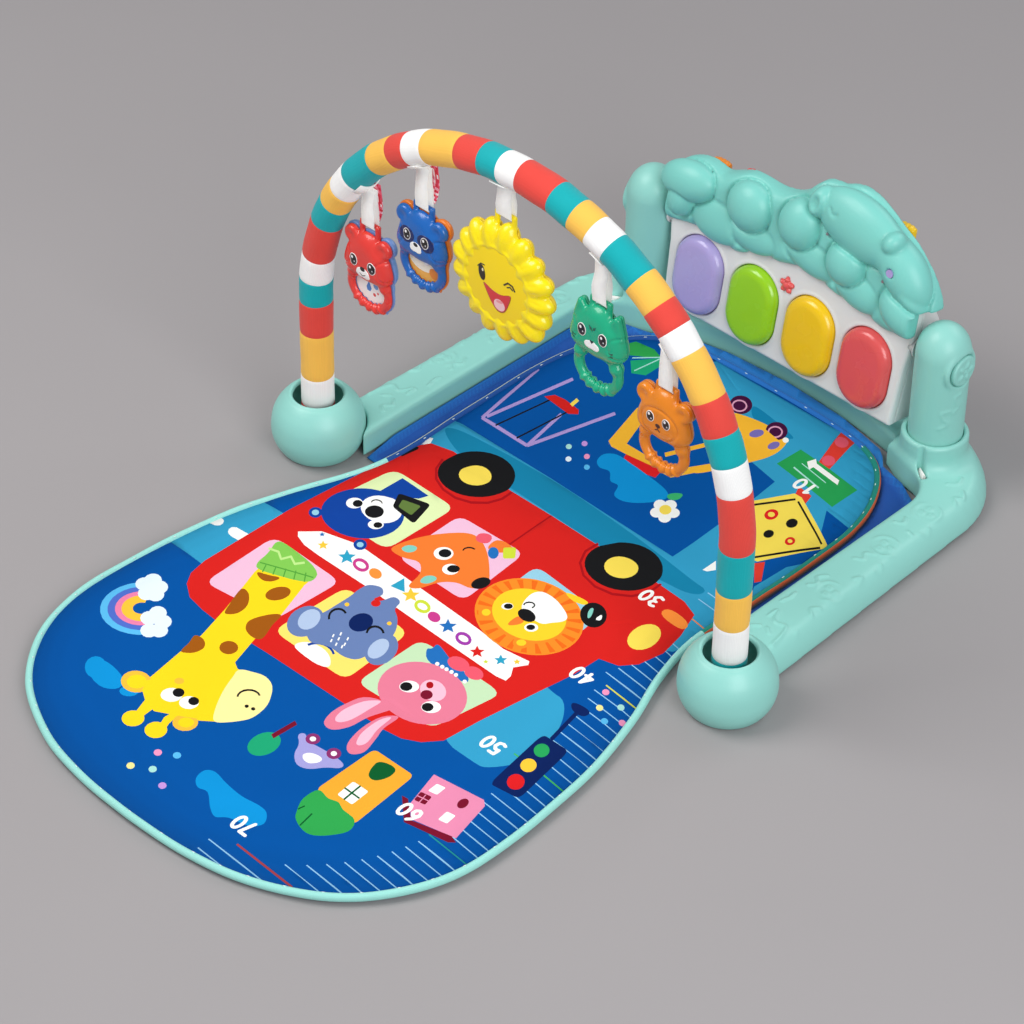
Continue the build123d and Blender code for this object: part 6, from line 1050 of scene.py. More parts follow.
    ("cloudblue", [-101.4,-306.8,-100.9,-309.4,-102.1,-311.9,-104.7,-313.9,-108.5,-315.2,-113,-315.6,-117.7,-315.2,-122.1,-313.9,-125.5,-311.9,-127.6,-309.4,-128.2,-306.8,-127,-304.3,-124.4,-302.3,-120.6,-301,-116,-300.6,-111.3,-301,-106.9,-302.4,-103.5,-304.4]),
    ("cloudblue", [-134.4,-299.7,-133,-297.3,-130.2,-295.7,-126.1,-295,-120.7,-295.1,-113.9,-296,-108.4,-297.4,-104.1,-299.4,-101.1,-301.9,-99.4,-304.9,-99.2,-307.7,-100.4,-310.4,-103.1,-312.8,-107.2,-315.1,-111.8,-315.8,-116.7,-315.1,-122,-312.8,-127.8,-309,-131.8,-305.5,-134,-302.4]),
    ("cloudblue", [-86.3,-299.6,-84.9,-301.8,-84.8,-304.6,-86,-307.4,-88.2,-309.6,-91.1,-310.9,-94,-310.9,-96.4,-309.8,-97.8,-307.6,-98,-304.8,-96.8,-302,-94.6,-299.7,-91.7,-298.5,-88.7,-298.4]),
    ("giraffe", [-77,-300.8,-72,-314.7,-69.9,-323.8,-64.4,-323.9,-64,-317.1,-65.1,-299.5]),
    ("giraffe", [-61.8,-316.5,-60,-318.7,-59.1,-321.4,-59.3,-324.2,-60.4,-326.7,-62.4,-328.7,-65,-330,-67.9,-330.2,-70.8,-329.6,-73.3,-328,-75.2,-325.7,-76.1,-323.1,-76,-320.3,-74.8,-317.7,-72.8,-315.7,-70.2,-314.5,-67.2,-314.2,-64.3,-314.9]),
    ("giraffe", [-52,-294.6,-52.3,-306.2,-47.6,-316.4,-41.2,-317.4,-44.9,-308.1,-46.8,-296.9]),
    ("giraffe", [-40.9,-313.4,-39.1,-315.7,-38.2,-318.4,-38.2,-321.2,-39.4,-323.8,-41.3,-325.8,-44,-327,-46.9,-327.2,-49.9,-326.5,-52.4,-324.9,-54.3,-322.6,-55.2,-319.8,-55.1,-317,-54,-314.4,-52,-312.4,-49.4,-311.2,-46.4,-311,-43.5,-311.7]),
    ("ear2", [-86.4,-287.7,-84.3,-290.6,-83.2,-293.9,-83.3,-297.2,-84.6,-300.3,-87,-302.9,-90.1,-304.6,-93.8,-305.3,-97.6,-305,-101.2,-303.6,-104.2,-301.4,-106.3,-298.5,-107.4,-295.2,-107.3,-291.8,-106,-288.7,-103.7,-286.2,-100.5,-284.5,-96.8,-283.7,-93,-284.1,-89.4,-285.4]),
    ("giraffe", [-90,-289.2,-88.2,-291.5,-87.5,-294.2,-87.9,-297,-89.4,-299.3,-91.8,-300.9,-94.6,-301.4,-97.5,-300.9,-100.1,-299.4,-101.9,-297.1,-102.6,-294.3,-102.2,-291.6,-100.7,-289.3,-98.3,-287.7,-95.4,-287.1,-92.5,-287.7]),
    ("ear2", [-30.9,-292.9,-29,-295.4,-28.2,-298.3,-28.4,-301.4,-29.8,-304.2,-32,-306.5,-34.9,-307.9,-38.1,-308.3,-41.2,-307.6,-43.9,-305.9,-45.8,-303.5,-46.7,-300.6,-46.4,-297.5,-45.1,-294.6,-42.8,-292.4,-39.9,-290.9,-36.7,-290.6,-33.6,-291.2]),
    ("giraffe", [-33,-295,-31.7,-297,-31.5,-299.3,-32.3,-301.6,-34.1,-303.4,-36.5,-304.3,-38.9,-304.2,-41,-303.1,-42.3,-301.1,-42.6,-298.8,-41.7,-296.5,-39.9,-294.7,-37.6,-293.8,-35.1,-293.9]),
    ("giraffe", [-91,-288.3,-85.2,-297.8,-74.6,-304.1,-62.3,-306.8,-45.8,-297.8,-33.3,-290,-24.4,-283.8,-55.9,-264.6,-81.6,-275.1]),
    ("cream", [-51.8,-233.7,-50.4,-232,-48,-230.5,-45.2,-229.3,-42.5,-228.2,-40,-227.1,-37.4,-226.2,-34.8,-225.6,-32.2,-225.5,-29.5,-225.9,-26.7,-226.6,-23.9,-227.9,-21.2,-229.7,-18.4,-232.3,-15.7,-235.6,-13.1,-239.1,-11.1,-242.3,-9.6,-245.2,-8.6,-248,-7.8,-250.8,-7.4,-253.6,-7,-256.5,-6.9,-259.4,-7.1,-262.3,-7.8,-265.3,-9.2,-268.4,-11.2,-271.7,-13.4,-274.8,-15.5,-277.5,-17.5,-279.9,-19.5,-282.1,-21.5,-283.6,-23.6,-284,-25.7,-283.1,-27.9,-281,-30.2,-278.2,-32.5,-275.1,-35,-271.5,-37.6,-267.3,-40.2,-262.9,-42.5,-258.7,-44.5,-254.5,-46.4,-250.2,-48,-246.2,-49.3,-242.7,-50.5,-239.8,-51.6,-237.5,-52.1,-235.5]),
    ("black", [-31.5,-255.2,-33.3,-252.7,-34.1,-249.7,-33.7,-246.5,-32.1,-243.8,-29.6,-241.7,-26.5,-240.6,-23.3,-240.7,-20.3,-241.9,-21,-243.2,-23.3,-242.3,-25.9,-242.4,-28.4,-243.4,-30.5,-245.1,-31.8,-247.4,-32.3,-249.9,-31.8,-252.3,-30.5,-254.2]),
    ("black", [-17.8,-255.8,-17.1,-257,-17.5,-258.2,-18.7,-258.6,-20,-258.1,-20.7,-256.8,-20.3,-255.7,-19.1,-255.2]),
    ("black", [-12.4,-254.5,-11.7,-255.7,-12.1,-256.9,-13.3,-257.3,-14.6,-256.8,-15.3,-255.6,-14.9,-254.4,-13.7,-253.9]),
    ("ear2", [-71.1,-269.9,-70.1,-271.4,-70.1,-273.2,-71,-274.8,-72.6,-275.7,-74.5,-275.8,-76.1,-274.9,-77.1,-273.4,-77.1,-271.6,-76.2,-270,-74.6,-269.1,-72.7,-269]),
    ("white", [-60.8,-280.9,-59.5,-282.5,-58.7,-284.4,-58.5,-286.6,-59,-288.7,-60.1,-290.6,-61.6,-292.2,-63.6,-293.3,-65.8,-293.8,-68,-293.8,-70.1,-293.2,-71.9,-292,-73.2,-290.3,-74,-288.4,-74.2,-286.3,-73.7,-284.2,-72.7,-282.2,-71.1,-280.6,-69.1,-279.5,-66.9,-279,-64.7,-279,-62.6,-279.7]),
    ("black", [-61.6,-278.2,-60.4,-279.7,-59.9,-281.4,-60.2,-283.1,-61,-284.5,-62.5,-285.4,-64.2,-285.7,-66,-285.3,-67.6,-284.3,-68.8,-282.8,-69.3,-281.1,-69.1,-279.4,-68.2,-278,-66.8,-277.1,-65,-276.8,-63.2,-277.2]),
    ("white", [-46.2,-278.3,-44.9,-279.8,-44.2,-281.6,-44.1,-283.5,-44.5,-285.4,-45.4,-287.2,-46.9,-288.6,-48.6,-289.6,-50.6,-290.1,-52.7,-290.1,-54.6,-289.5,-56.2,-288.3,-57.5,-286.8,-58.2,-285,-58.4,-283.1,-58,-281.2,-57,-279.4,-55.6,-278,-53.8,-277,-51.8,-276.5,-49.7,-276.5,-47.8,-277.2]),
    ("black", [-47.2,-277.1,-46.2,-278.4,-45.7,-280,-45.9,-281.6,-46.7,-282.9,-48,-283.7,-49.6,-283.9,-51.3,-283.6,-52.8,-282.6,-53.8,-281.2,-54.3,-279.6,-54.2,-278.1,-53.4,-276.8,-52,-276,-50.4,-275.7,-48.7,-276.1]),
    ("spot", [-121.2,-148.3,-118.4,-147.4,-115.8,-146.4,-113.3,-145.3,-110.9,-144.1,-108.5,-142.7,-106.9,-142.3,-105.9,-142.8,-105.6,-144.1,-106,-146.3,-106.7,-148.2,-107.8,-149.9,-109.2,-151.3,-111,-152.5,-113,-153.1,-115.4,-153.1,-118,-152.6,-120.9,-151.4,-122.4,-150.3,-122.5,-149.3]),
    ("spot", [-89.6,-146.8,-88,-148.5,-86.9,-151,-86.6,-153.8,-86.9,-156.9,-88,-159.8,-89.6,-162.3,-91.7,-164.1,-94,-165.1,-96.3,-165.2,-98.3,-164.3,-100,-162.6,-101,-160.1,-101.4,-157.3,-101,-154.2,-99.9,-151.3,-98.3,-148.8,-96.2,-146.9,-93.9,-145.9,-91.6,-145.9]),
    ("spot", [-117.2,-171.2,-116.2,-169.6,-114.1,-169.4,-111.5,-170,-109.1,-171.1,-106.8,-172.8,-104.3,-175.1,-102.1,-177.8,-100.4,-180.5,-99.3,-183.3,-98.7,-186.3,-98.6,-189.3,-98.9,-191.8,-100,-194.2,-101.7,-196.4,-103.6,-198,-105.2,-198.5,-106.5,-197.7,-107.6,-196,-108.8,-193.4,-110.1,-190.2,-112.1,-185.8,-114.4,-180.2,-116.4,-174.9]),
    ("spot", [-74.7,-170.6,-76.2,-170.7,-78,-172,-79.9,-174.2,-81.6,-176.7,-83.2,-179.8,-84.9,-183.5,-86.2,-187.4,-86.7,-190.7,-86.3,-193.4,-85.2,-195.8,-83.6,-197.9,-81.8,-199.5,-79.5,-200.8,-76.8,-201.7,-74,-202.2,-71.6,-202.3,-69.5,-202,-67.5,-201.3,-66.1,-200.1,-65.5,-198.1,-66.1,-195,-67.6,-191,-69.5,-186.7,-71.1,-182.8,-72,-179.1,-72.8,-175.4,-73.6,-172.3]),
    ("spot", [-102.7,-230.4,-101.4,-229.4,-99.2,-228.9,-96.7,-228.9,-94.6,-229.3,-92.6,-230.2,-90.7,-231.6,-89.1,-233.4,-88,-235.2,-87.6,-237.3,-87.7,-239.6,-88.2,-242,-89.1,-244,-90.6,-246.1,-92.8,-248.1,-95,-249.6,-96.7,-249.8,-97.8,-248.2,-98.6,-245.4,-99.1,-242.1,-99.8,-239.2,-100.8,-236.7,-102,-234.2,-102.8,-232]),
    ("spot", [-70.4,-217.5,-68.8,-219.5,-68,-221.9,-68.1,-224.3,-69,-226.5,-70.7,-228.2,-73,-229.2,-75.5,-229.3,-78,-228.7,-80.1,-227.3,-81.7,-225.2,-82.5,-222.9,-82.4,-220.4,-81.5,-218.2,-79.8,-216.6,-77.6,-215.6,-75,-215.4,-72.6,-216.1]),
    ("hat", [-136,-122.8,-137.8,-119.2,-138.7,-116.3,-138.6,-114.2,-137.6,-112.7,-135.6,-112,-131.5,-111.7,-125.4,-111.9,-117.2,-112.5,-107,-113.5,-98.9,-115.1,-93,-117.3,-89.2,-119.9,-87.5,-123.1,-86.8,-126,-87,-128.5,-88.2,-130.7,-90.3,-132.5,-92.9,-134.3,-96.1,-136,-99.8,-137.8,-104,-139.5,-108.2,-141.1,-112.3,-142.7,-116.3,-144.2,-120.2,-145.6,-123.5,-146.3,-126.2,-146.3,-128.2,-145.6,-129.5,-144.2,-130.7,-142.3,-131.6,-139.8,-132.2,-136.9,-132.7,-133.4,-133.5,-129.9,-134.6,-126.4]),
    ("hat2", [-136.9,-125.3,-128.5,-123,-129.8,-120.9,-138.3,-123.2]),
    ("hat2", [-129.4,-122.8,-121.7,-127.4,-121.2,-125.7,-128.9,-121.1]),
    ("hat2", [-120.4,-127.3,-117.3,-120,-119.4,-118.6,-122.5,-125.9]),
    ("hat2", [-118.4,-120.2,-110.1,-124.2,-109.9,-122.4,-118.2,-118.4]),
    ("hat2", [-109,-124.1,-104.8,-117.8,-106.9,-116.2,-111.1,-122.5]),
    ("hat2", [-128.6,-121.3,-128.1,-122.1,-128.2,-122.8,-128.9,-123,-129.7,-122.5,-130.3,-121.7,-130.1,-121,-129.4,-120.9]),
    ("hat2", [-120.9,-126,-120.4,-126.8,-120.5,-127.5,-121.2,-127.6,-122.1,-127.2,-122.6,-126.4,-122.4,-125.7,-121.7,-125.5]),
    ("hat2", [-117.7,-118.7,-117.2,-119.5,-117.4,-120.2,-118.1,-120.4,-118.9,-119.9,-119.4,-119.1,-119.3,-118.4,-118.6,-118.2]),
    ("hat2", [-109.5,-122.7,-109,-123.5,-109.1,-124.2,-109.8,-124.4,-110.6,-123.9,-111.1,-123.1,-111,-122.4,-110.3,-122.3]),
    ("hat3", [-125,-139.1,-120.7,-147,-119.6,-146.9,-124,-139]),
    ("hat3", [-118.1,-135.5,-113,-143.5,-112,-143.3,-117.1,-135.3]),
    ("hat3", [-111.1,-131.9,-105.4,-140,-104.5,-139.7,-110.2,-131.5]),
    ("hat3", [-104.2,-128.2,-97.8,-136.5,-96.9,-136.1,-103.3,-127.8]),
    ("hat3", [-97.2,-124.6,-90.2,-133,-89.4,-132.5,-96.4,-124.1]),
    ("hat3", [-129.5,-140.9,-88.3,-124.9,-89.1,-123.8,-130.3,-139.8]),
    ("rb1", [-167.2,-211,-173.2,-214.7,-178.2,-219.6,-181.9,-225.5,-184.1,-231.9,-184.8,-238.6,-183.8,-245.3,-181.3,-251.5,-177.4,-257,-172.3,-261.5,-166.2,-264.8,-159.5,-266.7,-152.4,-267.1,-145.5,-266,-138.9,-263.5,-133.1,-259.7,-128.3,-254.8,-124.8,-249,-129.8,-247,-132.7,-251.8,-136.7,-255.8,-141.5,-258.9,-146.9,-261,-152.6,-261.9,-158.3,-261.5,-163.9,-260,-168.9,-257.3,-173.1,-253.6,-176.3,-249,-178.4,-243.9,-179.1,-238.4,-178.6,-232.9,-176.8,-227.6,-173.7,-222.9,-169.6,-218.8,-164.7,-215.8]),
    ("rb2", [-164.7,-215.8,-169.6,-218.8,-173.7,-222.9,-176.8,-227.6,-178.6,-232.9,-179.1,-238.4,-178.4,-243.9,-176.3,-249,-173.1,-253.6,-168.9,-257.3,-163.9,-260,-158.3,-261.5,-152.6,-261.9,-146.9,-261,-141.5,-258.9,-136.7,-255.8,-132.7,-251.8,-129.8,-247,-134.9,-245,-137.2,-248.7,-140.3,-251.9,-144,-254.3,-148.3,-255.9,-152.7,-256.6,-157.2,-256.3,-161.6,-255.1,-165.5,-253,-168.8,-250.1,-171.3,-246.5,-172.9,-242.5,-173.5,-238.3,-173.1,-234,-171.6,-229.8,-169.3,-226.1,-166.1,-222.9,-162.2,-220.5]),
    ("rb3", [-162.2,-220.5,-166.1,-222.9,-169.3,-226.1,-171.6,-229.8,-173.1,-234,-173.5,-238.3,-172.9,-242.5,-171.3,-246.5,-168.8,-250.1,-165.5,-253,-161.6,-255.1,-157.2,-256.3,-152.7,-256.6,-148.3,-255.9,-144,-254.3,-140.3,-251.9,-137.2,-248.7,-134.9,-245,-139.3,-243.2,-141,-246,-143.4,-248.5,-146.2,-250.3,-149.5,-251.5,-152.9,-252.1,-156.3,-251.8,-159.6,-250.9,-162.5,-249.3,-165,-247.1,-166.9,-244.4,-168.2,-241.3,-168.6,-238.1,-168.3,-234.8,-167.2,-231.7,-165.4,-228.9,-163,-226.5,-160,-224.7]),
    ("rb4", [-160,-224.7,-163,-226.5,-165.4,-228.9,-167.2,-231.7,-168.3,-234.8,-168.6,-238.1,-168.2,-241.3,-166.9,-244.4,-165,-247.1,-162.5,-249.3,-159.6,-250.9,-156.3,-251.8,-152.9,-252.1,-149.5,-251.5,-146.2,-250.3,-143.4,-248.5,-141,-246,-139.3,-243.2,-147.1,-240.1,-147.9,-241.3,-148.9,-242.4,-150.2,-243.2,-151.6,-243.7,-153.1,-244,-154.6,-243.9,-156,-243.5,-157.3,-242.7,-158.4,-241.8,-159.3,-240.6,-159.8,-239.2,-160,-237.8,-159.8,-236.4,-159.4,-235,-158.6,-233.8,-157.5,-232.7,-156.2,-231.9]),
    ("cloud", [-168.5,-212.7,-166.4,-215.5,-165.6,-218.6,-166.3,-221.5,-168.4,-223.6,-171.4,-224.5,-174.8,-224,-177.9,-222.1,-180,-219.3,-180.8,-216.2,-180.1,-213.2,-178,-211.1,-174.9,-210.3,-171.6,-210.8]),
    ("cloud", [-167.1,-205.2,-165,-208,-164.2,-211.2,-165,-214.1,-167,-216.2,-170.1,-217.1,-173.5,-216.5,-176.5,-214.7,-178.7,-211.9,-179.4,-208.7,-178.7,-205.8,-176.6,-203.7,-173.6,-202.8,-170.2,-203.4]),
    ("cloud", [-157.5,-207.7,-155.4,-210.5,-154.6,-213.7,-155.3,-216.6,-157.4,-218.7,-160.4,-219.5,-163.8,-219,-166.9,-217.1,-169,-214.3,-169.8,-211.2,-169,-208.2,-167,-206.1,-163.9,-205.3,-160.5,-205.8]),
    ("cloud", [-153.1,-215.4,-151,-218.2,-150.2,-221.3,-150.9,-224.2,-153,-226.3,-156,-227.1,-159.4,-226.6,-162.4,-224.8,-164.5,-222,-165.3,-218.8,-164.6,-215.9,-162.5,-213.8,-159.5,-213,-156.1,-213.5]),
    ("cloud", [-158.7,-219,-156.6,-221.8,-155.8,-224.9,-156.5,-227.8,-158.6,-229.9,-161.6,-230.8,-165,-230.2,-168,-228.4,-170.2,-225.6,-170.9,-222.5,-170.2,-219.6,-168.1,-217.5,-165.1,-216.6,-161.7,-217.2]),
    ("cloud", [-136.4,-236.6,-134.3,-239.3,-133.5,-242.4,-134.3,-245.3,-136.3,-247.3,-139.3,-248.2,-142.6,-247.7,-145.6,-245.9,-147.7,-243.1,-148.5,-240,-147.8,-237.1,-145.7,-235.1,-142.7,-234.2,-139.4,-234.7]),
    ("cloud", [-136,-228.3,-133.9,-231,-133.2,-234.1,-133.9,-237,-136,-239.1,-139,-239.9,-142.3,-239.4,-145.3,-237.6,-147.4,-234.9,-148.2,-231.7,-147.4,-228.8,-145.4,-226.8,-142.4,-225.9,-139,-226.4]),
    ("cloud", [-126.2,-232.2,-124.1,-235,-123.4,-238.1,-124.1,-241,-126.2,-243,-129.1,-243.9,-132.4,-243.4,-135.4,-241.6,-137.5,-238.8,-138.2,-235.7,-137.5,-232.8,-135.4,-230.7,-132.5,-229.9,-129.1,-230.4]),
    ("cloud", [-120.8,-240.7,-118.8,-243.4,-118.1,-246.5,-118.8,-249.4,-120.8,-251.5,-123.8,-252.3,-127.1,-251.8,-130.1,-250,-132.1,-247.3,-132.9,-244.2,-132.1,-241.3,-130.1,-239.2,-127.1,-238.4,-123.8,-238.9]),
    ("cloud", [-126,-245.9,-123.9,-248.6,-123.2,-251.7,-123.9,-254.5,-126,-256.6,-128.9,-257.5,-132.2,-256.9,-135.2,-255.2,-137.3,-252.4,-138,-249.4,-137.3,-246.5,-135.2,-244.4,-132.3,-243.6,-128.9,-244.1]),
    ("pink2", [-26.1,-331.7,-25.2,-333.1,-25,-334.7,-25.7,-336,-27.1,-336.8,-28.8,-336.7,-30.3,-335.9,-31.3,-334.5,-31.5,-332.9,-30.7,-331.5,-29.3,-330.8,-27.7,-330.8]),
    ("rb1", [-14.1,-324.3,-13.1,-325.7,-13,-327.3,-13.7,-328.7,-15.1,-329.5,-16.8,-329.4,-18.3,-328.6,-19.3,-327.2,-19.4,-325.6,-18.7,-324.2,-17.3,-323.4,-15.6,-323.5]),
    ("yel3", [-30.5,-353.5,-29.5,-354.9,-29.4,-356.5,-30.1,-357.8,-31.5,-358.6,-33.2,-358.6,-34.7,-357.7,-35.7,-356.3,-35.8,-354.8,-35.1,-353.4,-33.7,-352.7,-32,-352.7]),
    ("mint3", [-16.3,-345.4,-15.3,-346.8,-15.2,-348.4,-15.9,-349.7,-17.3,-350.5,-18.9,-350.5,-20.5,-349.6,-21.4,-348.2,-21.6,-346.7,-20.8,-345.3,-19.5,-344.6,-17.8,-344.6]),
    ("lav2", [0.9,-351.7,1.8,-353.1,1.9,-354.7,1.2,-356,-0.1,-356.7,-1.8,-356.7,-3.3,-355.9,-4.3,-354.5,-4.4,-352.9,-3.7,-351.6,-2.3,-350.8,-0.6,-350.9]),
    ("cloudblue", [10.7,-332.9,9.6,-330.8,8.9,-328.3,8.7,-325.9,8.9,-323.8,9.8,-322.1,11.2,-320.7,13.1,-319.7,15.4,-319.1,18.3,-319.2,21.8,-319.8,25.6,-320.7,29.4,-321.3,33.4,-321.8,37.6,-322.2,41.9,-322.5,46.1,-322.5,50.4,-322.1,54.8,-321.3,59,-320.6,62.6,-320.2,65.4,-320.2,67.7,-320.4,69.6,-321,71.4,-322,73.3,-323.6,75.2,-325.7,76.6,-328,77.2,-330.3,76.8,-332.5,75.6,-334.9,73.8,-337.1,71.4,-338.9,67.9,-340.2,63.6,-341.2,59.2,-342,55.6,-343.1,53.2,-344.7,51.4,-346.5,49.8,-348.1,48,-349,45.9,-348.9,43.8,-348.1,41.6,-347,39.1,-345.5,36.2,-343.4,32.9,-340.7,29.7,-338.2,26.7,-336.5,24.3,-336.3,22.1,-337,20.1,-337.9,18.1,-338,16,-337.3,13.9,-336.1,12.1,-334.6]),
    ("treeg", [22.7,-262.9,25.3,-265,27.4,-267.9,28.8,-271.4,29.4,-275.2,29.1,-279,28.1,-282.5,26.3,-285.5,24,-287.6,21.2,-288.8,18.3,-288.8,15.4,-287.8,12.8,-285.8,10.7,-282.9,9.3,-279.4,8.7,-275.6,8.9,-271.7,9.9,-268.2,11.7,-265.2,14.1,-263.1,16.8,-261.9,19.8,-261.9]),
    ("maroon", [19.5,-266.8,20.9,-245,16.8,-243.3,15.4,-265.1]),
    ("lav", [29.3,-249.7,30.2,-248.3,31.3,-247.7,32.6,-247.8,34.2,-248.5,36,-249.9,38.2,-250.8,40.8,-251.2,43.8,-251,47.3,-250.3,51.1,-249.8,55.4,-249.3,60.2,-249,65.4,-248.8,69.5,-249,72.4,-249.6,74.3,-250.6,75,-251.9,75,-253.3,74.3,-254.9,72.7,-256.5,70.5,-258.3,68.3,-260.2,66.3,-262.4,64.5,-264.8,62.8,-267.4,60.9,-269.6,58.9,-271.3,56.7,-272.5,54.4,-273.3,52,-273.5,49.7,-273.1,47.3,-272,44.9,-270.3,42.8,-268.4,41,-266.3,39.6,-264,38.5,-261.4,37.1,-259.1,35.5,-257.1,33.5,-255.3,31.3,-253.9,29.9,-252.4,29.2,-251]),
    ("white", [46.5,-261.9,47.3,-260.2,48.5,-258.8,50.2,-257.7,52.4,-256.9,55,-256.3,57.1,-256.3,58.6,-256.7,59.6,-257.6,60.1,-258.9,60,-260.4,59.5,-262,58.4,-263.7,56.9,-265.6,55.1,-266.7,53.2,-267.1,51.1,-266.9,48.8,-265.9,47.3,-264.7,46.5,-263.4]),
    ("plum", [43.4,-243.6,44.7,-245.4,45.2,-247.5,44.9,-249.6,43.8,-251.3,42.1,-252.4,39.9,-252.8,37.8,-252.3,35.9,-251.1,34.6,-249.3,34.1,-247.2,34.4,-245.1,35.5,-243.4,37.3,-242.3,39.4,-241.9,41.5,-242.4]),
    ("white", [41.3,-245.7,42.1,-247.1,41.9,-248.6,40.9,-249.6,39.5,-249.7,38,-249,37.2,-247.6,37.4,-246.1,38.4,-245.1,39.9,-245]),
    ("plum", [64.7,-243.6,66,-245.4,66.5,-247.4,66.2,-249.5,65.1,-251.2,63.3,-252.4,61.2,-252.7,59.1,-252.2,57.2,-251,56,-249.2,55.4,-247.1,55.8,-245.1,56.9,-243.3,58.6,-242.2,60.7,-241.9,62.8,-242.3]),
    ("white", [62.6,-245.7,63.4,-247,63.2,-248.5,62.2,-249.5,60.8,-249.7,59.4,-248.9,58.6,-247.6,58.7,-246.1,59.7,-245.1,61.2,-244.9]),
    ("house", [77.9,-229.6,78.1,-227,78.9,-225.2,80.1,-224.1,81.8,-223.7,113,-222.9,114.8,-223.3,116.1,-224.5,117,-226.5,117.4,-229.4,121.4,-280.9,121.4,-283.7,120.7,-285.5,119.4,-286.5,117.6,-286.7,82.7,-281.9,80.8,-281.3,79.4,-280.1,78.5,-278.2,78.2,-275.6]),
    ("dkgreen", [94,-227.7,97.8,-226.8,100.8,-226.8,103,-227.6,104.4,-229.2,105.1,-231.7,105.4,-234.3,105.2,-236.9,104.6,-239.5,103.5,-242.1,102.3,-244.2,100.9,-245.6,99.3,-246.4,97.5,-246.6,95.8,-246.2,94.3,-245.4,92.9,-244,91.7,-242,90.7,-239.9,89.9,-237.7,89.3,-235.3,88.9,-232.8,89.5,-230.7,91.2,-229]),
    ("white", [91.1,-259.3,91.1,-258.4,91.4,-257.7,91.9,-257.3,92.7,-257.1,104,-256.7,104.8,-256.8,105.4,-257.2,105.8,-257.8,105.9,-258.7,106.8,-271.9,106.8,-272.8,106.5,-273.5,106,-273.9,105.2,-274,94.1,-274.3,93.3,-274.2,92.8,-273.8,92.4,-273.2,92.2,-272.3]),
    ("dkgreen", [96.9,-256.3,98.5,-274.3,100.1,-274.8,98.4,-256.7]),
    ("dkgreen", [91.4,-266.7,106.4,-266.7,105.9,-265.2,90.9,-265.2]),
    ("bush", [83.7,-304.4,82.1,-302,80.6,-299.3,79.3,-296.5,78.5,-293.6,78.2,-290.1,78.2,-286.3,78.7,-282.8,79.9,-280.4,82,-279.7,85,-280.2,88.1,-281,90.8,-281.3,92.9,-280.8,94.8,-280,96.6,-279.3,98.4,-279,100.3,-279.4,102,-280.2,104,-281.1,106.3,-281.8,109.3,-282,112.8,-282,116.2,-282.2,118.9,-283.2,121.1,-285.2,122.8,-287.8,123.8,-290.8,123.9,-294,122.7,-297.7,120.3,-301.8,117.5,-305.8,114.8,-309.1,112.3,-311.5,109.8,-313.5,107.1,-314.8,104.2,-315.5,100.8,-315.4,97,-314.6,93.3,-313.3,90.3,-311.9,88.1,-310.4,86.4,-308.6,85.1,-306.6]),
    ("dkgreen", [93.1,-299.5,95.5,-313.7,96.7,-313.9,94.4,-299.8]),
    ("dkgreen", [84.1,-297.9,83.1,-303.4,84.2,-303.9,85.2,-298.4]),
    ("pinkhouse", [125.6,-211.9,167.6,-204.5,172.3,-208.4,180.5,-245.4,145.8,-254.8,134.7,-244.7]),
    ("maroon", [125,-242.9,130.1,-242.1,146.6,-255.5,177.2,-246,183.3,-248.2,179.4,-252.1,144.5,-260.3]),
    ("white", [133.7,-218.4,133.7,-217.7,133.9,-217.3,134.2,-216.9,134.7,-216.7,139.8,-215.6,140.3,-215.6,140.7,-215.8,140.9,-216.2,141,-216.8,141.4,-223.5,141.4,-224.1,141.2,-224.6,140.9,-224.9,140.4,-225.1,135.3,-226.2,134.8,-226.2,134.4,-226,134.2,-225.6,134.1,-225]),
    ("white", [158,-232.9,158,-232.2,158.2,-231.7,158.5,-231.4,158.9,-231.2,164,-230.1,164.5,-230.1,164.9,-230.3,165.1,-230.7,165.3,-231.3,166.1,-238.4,166.2,-239.1,166,-239.6,165.7,-240,165.2,-240.2,160.2,-241.3,159.7,-241.3,159.3,-241.1,159.1,-240.7,158.9,-240]),
    ("maroon", [131.8,-232,131.7,-231.4,131.9,-230.9,132.2,-230.6,132.8,-230.4,139.1,-229.1,139.7,-229,140.2,-229.2,140.6,-229.6,140.8,-230.2,142.4,-236.6,142.5,-237.2,142.3,-237.7,142,-238,141.4,-238.2,135.1,-239.6,134.5,-239.6,134,-239.4,133.6,-239,133.4,-238.5]),
    ("pinkhouse", [135.7,-230.3,137.9,-239.5,138.8,-239.6,136.5,-230.4]),
    ("pinkhouse", [132.8,-235.7,141.8,-233.8,141.4,-233,132.4,-234.8]),
    ("maroon", [160.5,-212.7,161.9,-213.7,162.9,-215.3,163.6,-217.3,163.7,-219.4,163.2,-221.2,162.3,-222.5,161,-223,159.6,-222.8,158.2,-221.8,157.2,-220.2,156.5,-218.3,156.4,-216.2,156.9,-214.4,157.8,-213.1,159.1,-212.5]),
    ("navy", [147.3,-85.4,151.3,-84.7,154.4,-84.7,156.6,-85.3,158,-86.5,158.5,-88.3,158.4,-89.9,157.9,-91.3,156.9,-92.5,155.3,-93.4,153.6,-94,151.8,-94.1,149.8,-93.9,147.8,-93.4,146,-92.6,144.6,-91.5,143.4,-90.3,142.6,-88.7,143,-87.4,144.5,-86.3]),
    ("navy", [150.1,-93.3,156.5,-126.4,159.9,-127,153.6,-94]),
    ("navy", [151.7,-136,151.4,-132.1,151.6,-129.3,152.5,-127.5,153.9,-126.9,171.4,-125.8,172.9,-126.3,174.2,-127.8,175.2,-130.4,176,-134.1,182.3,-177.3,182.7,-181,182.4,-183.7,181.6,-185.4,180.2,-186.3,162.5,-189.7,160.9,-189.5,159.7,-188,158.6,-185.4,157.9,-181.6]),
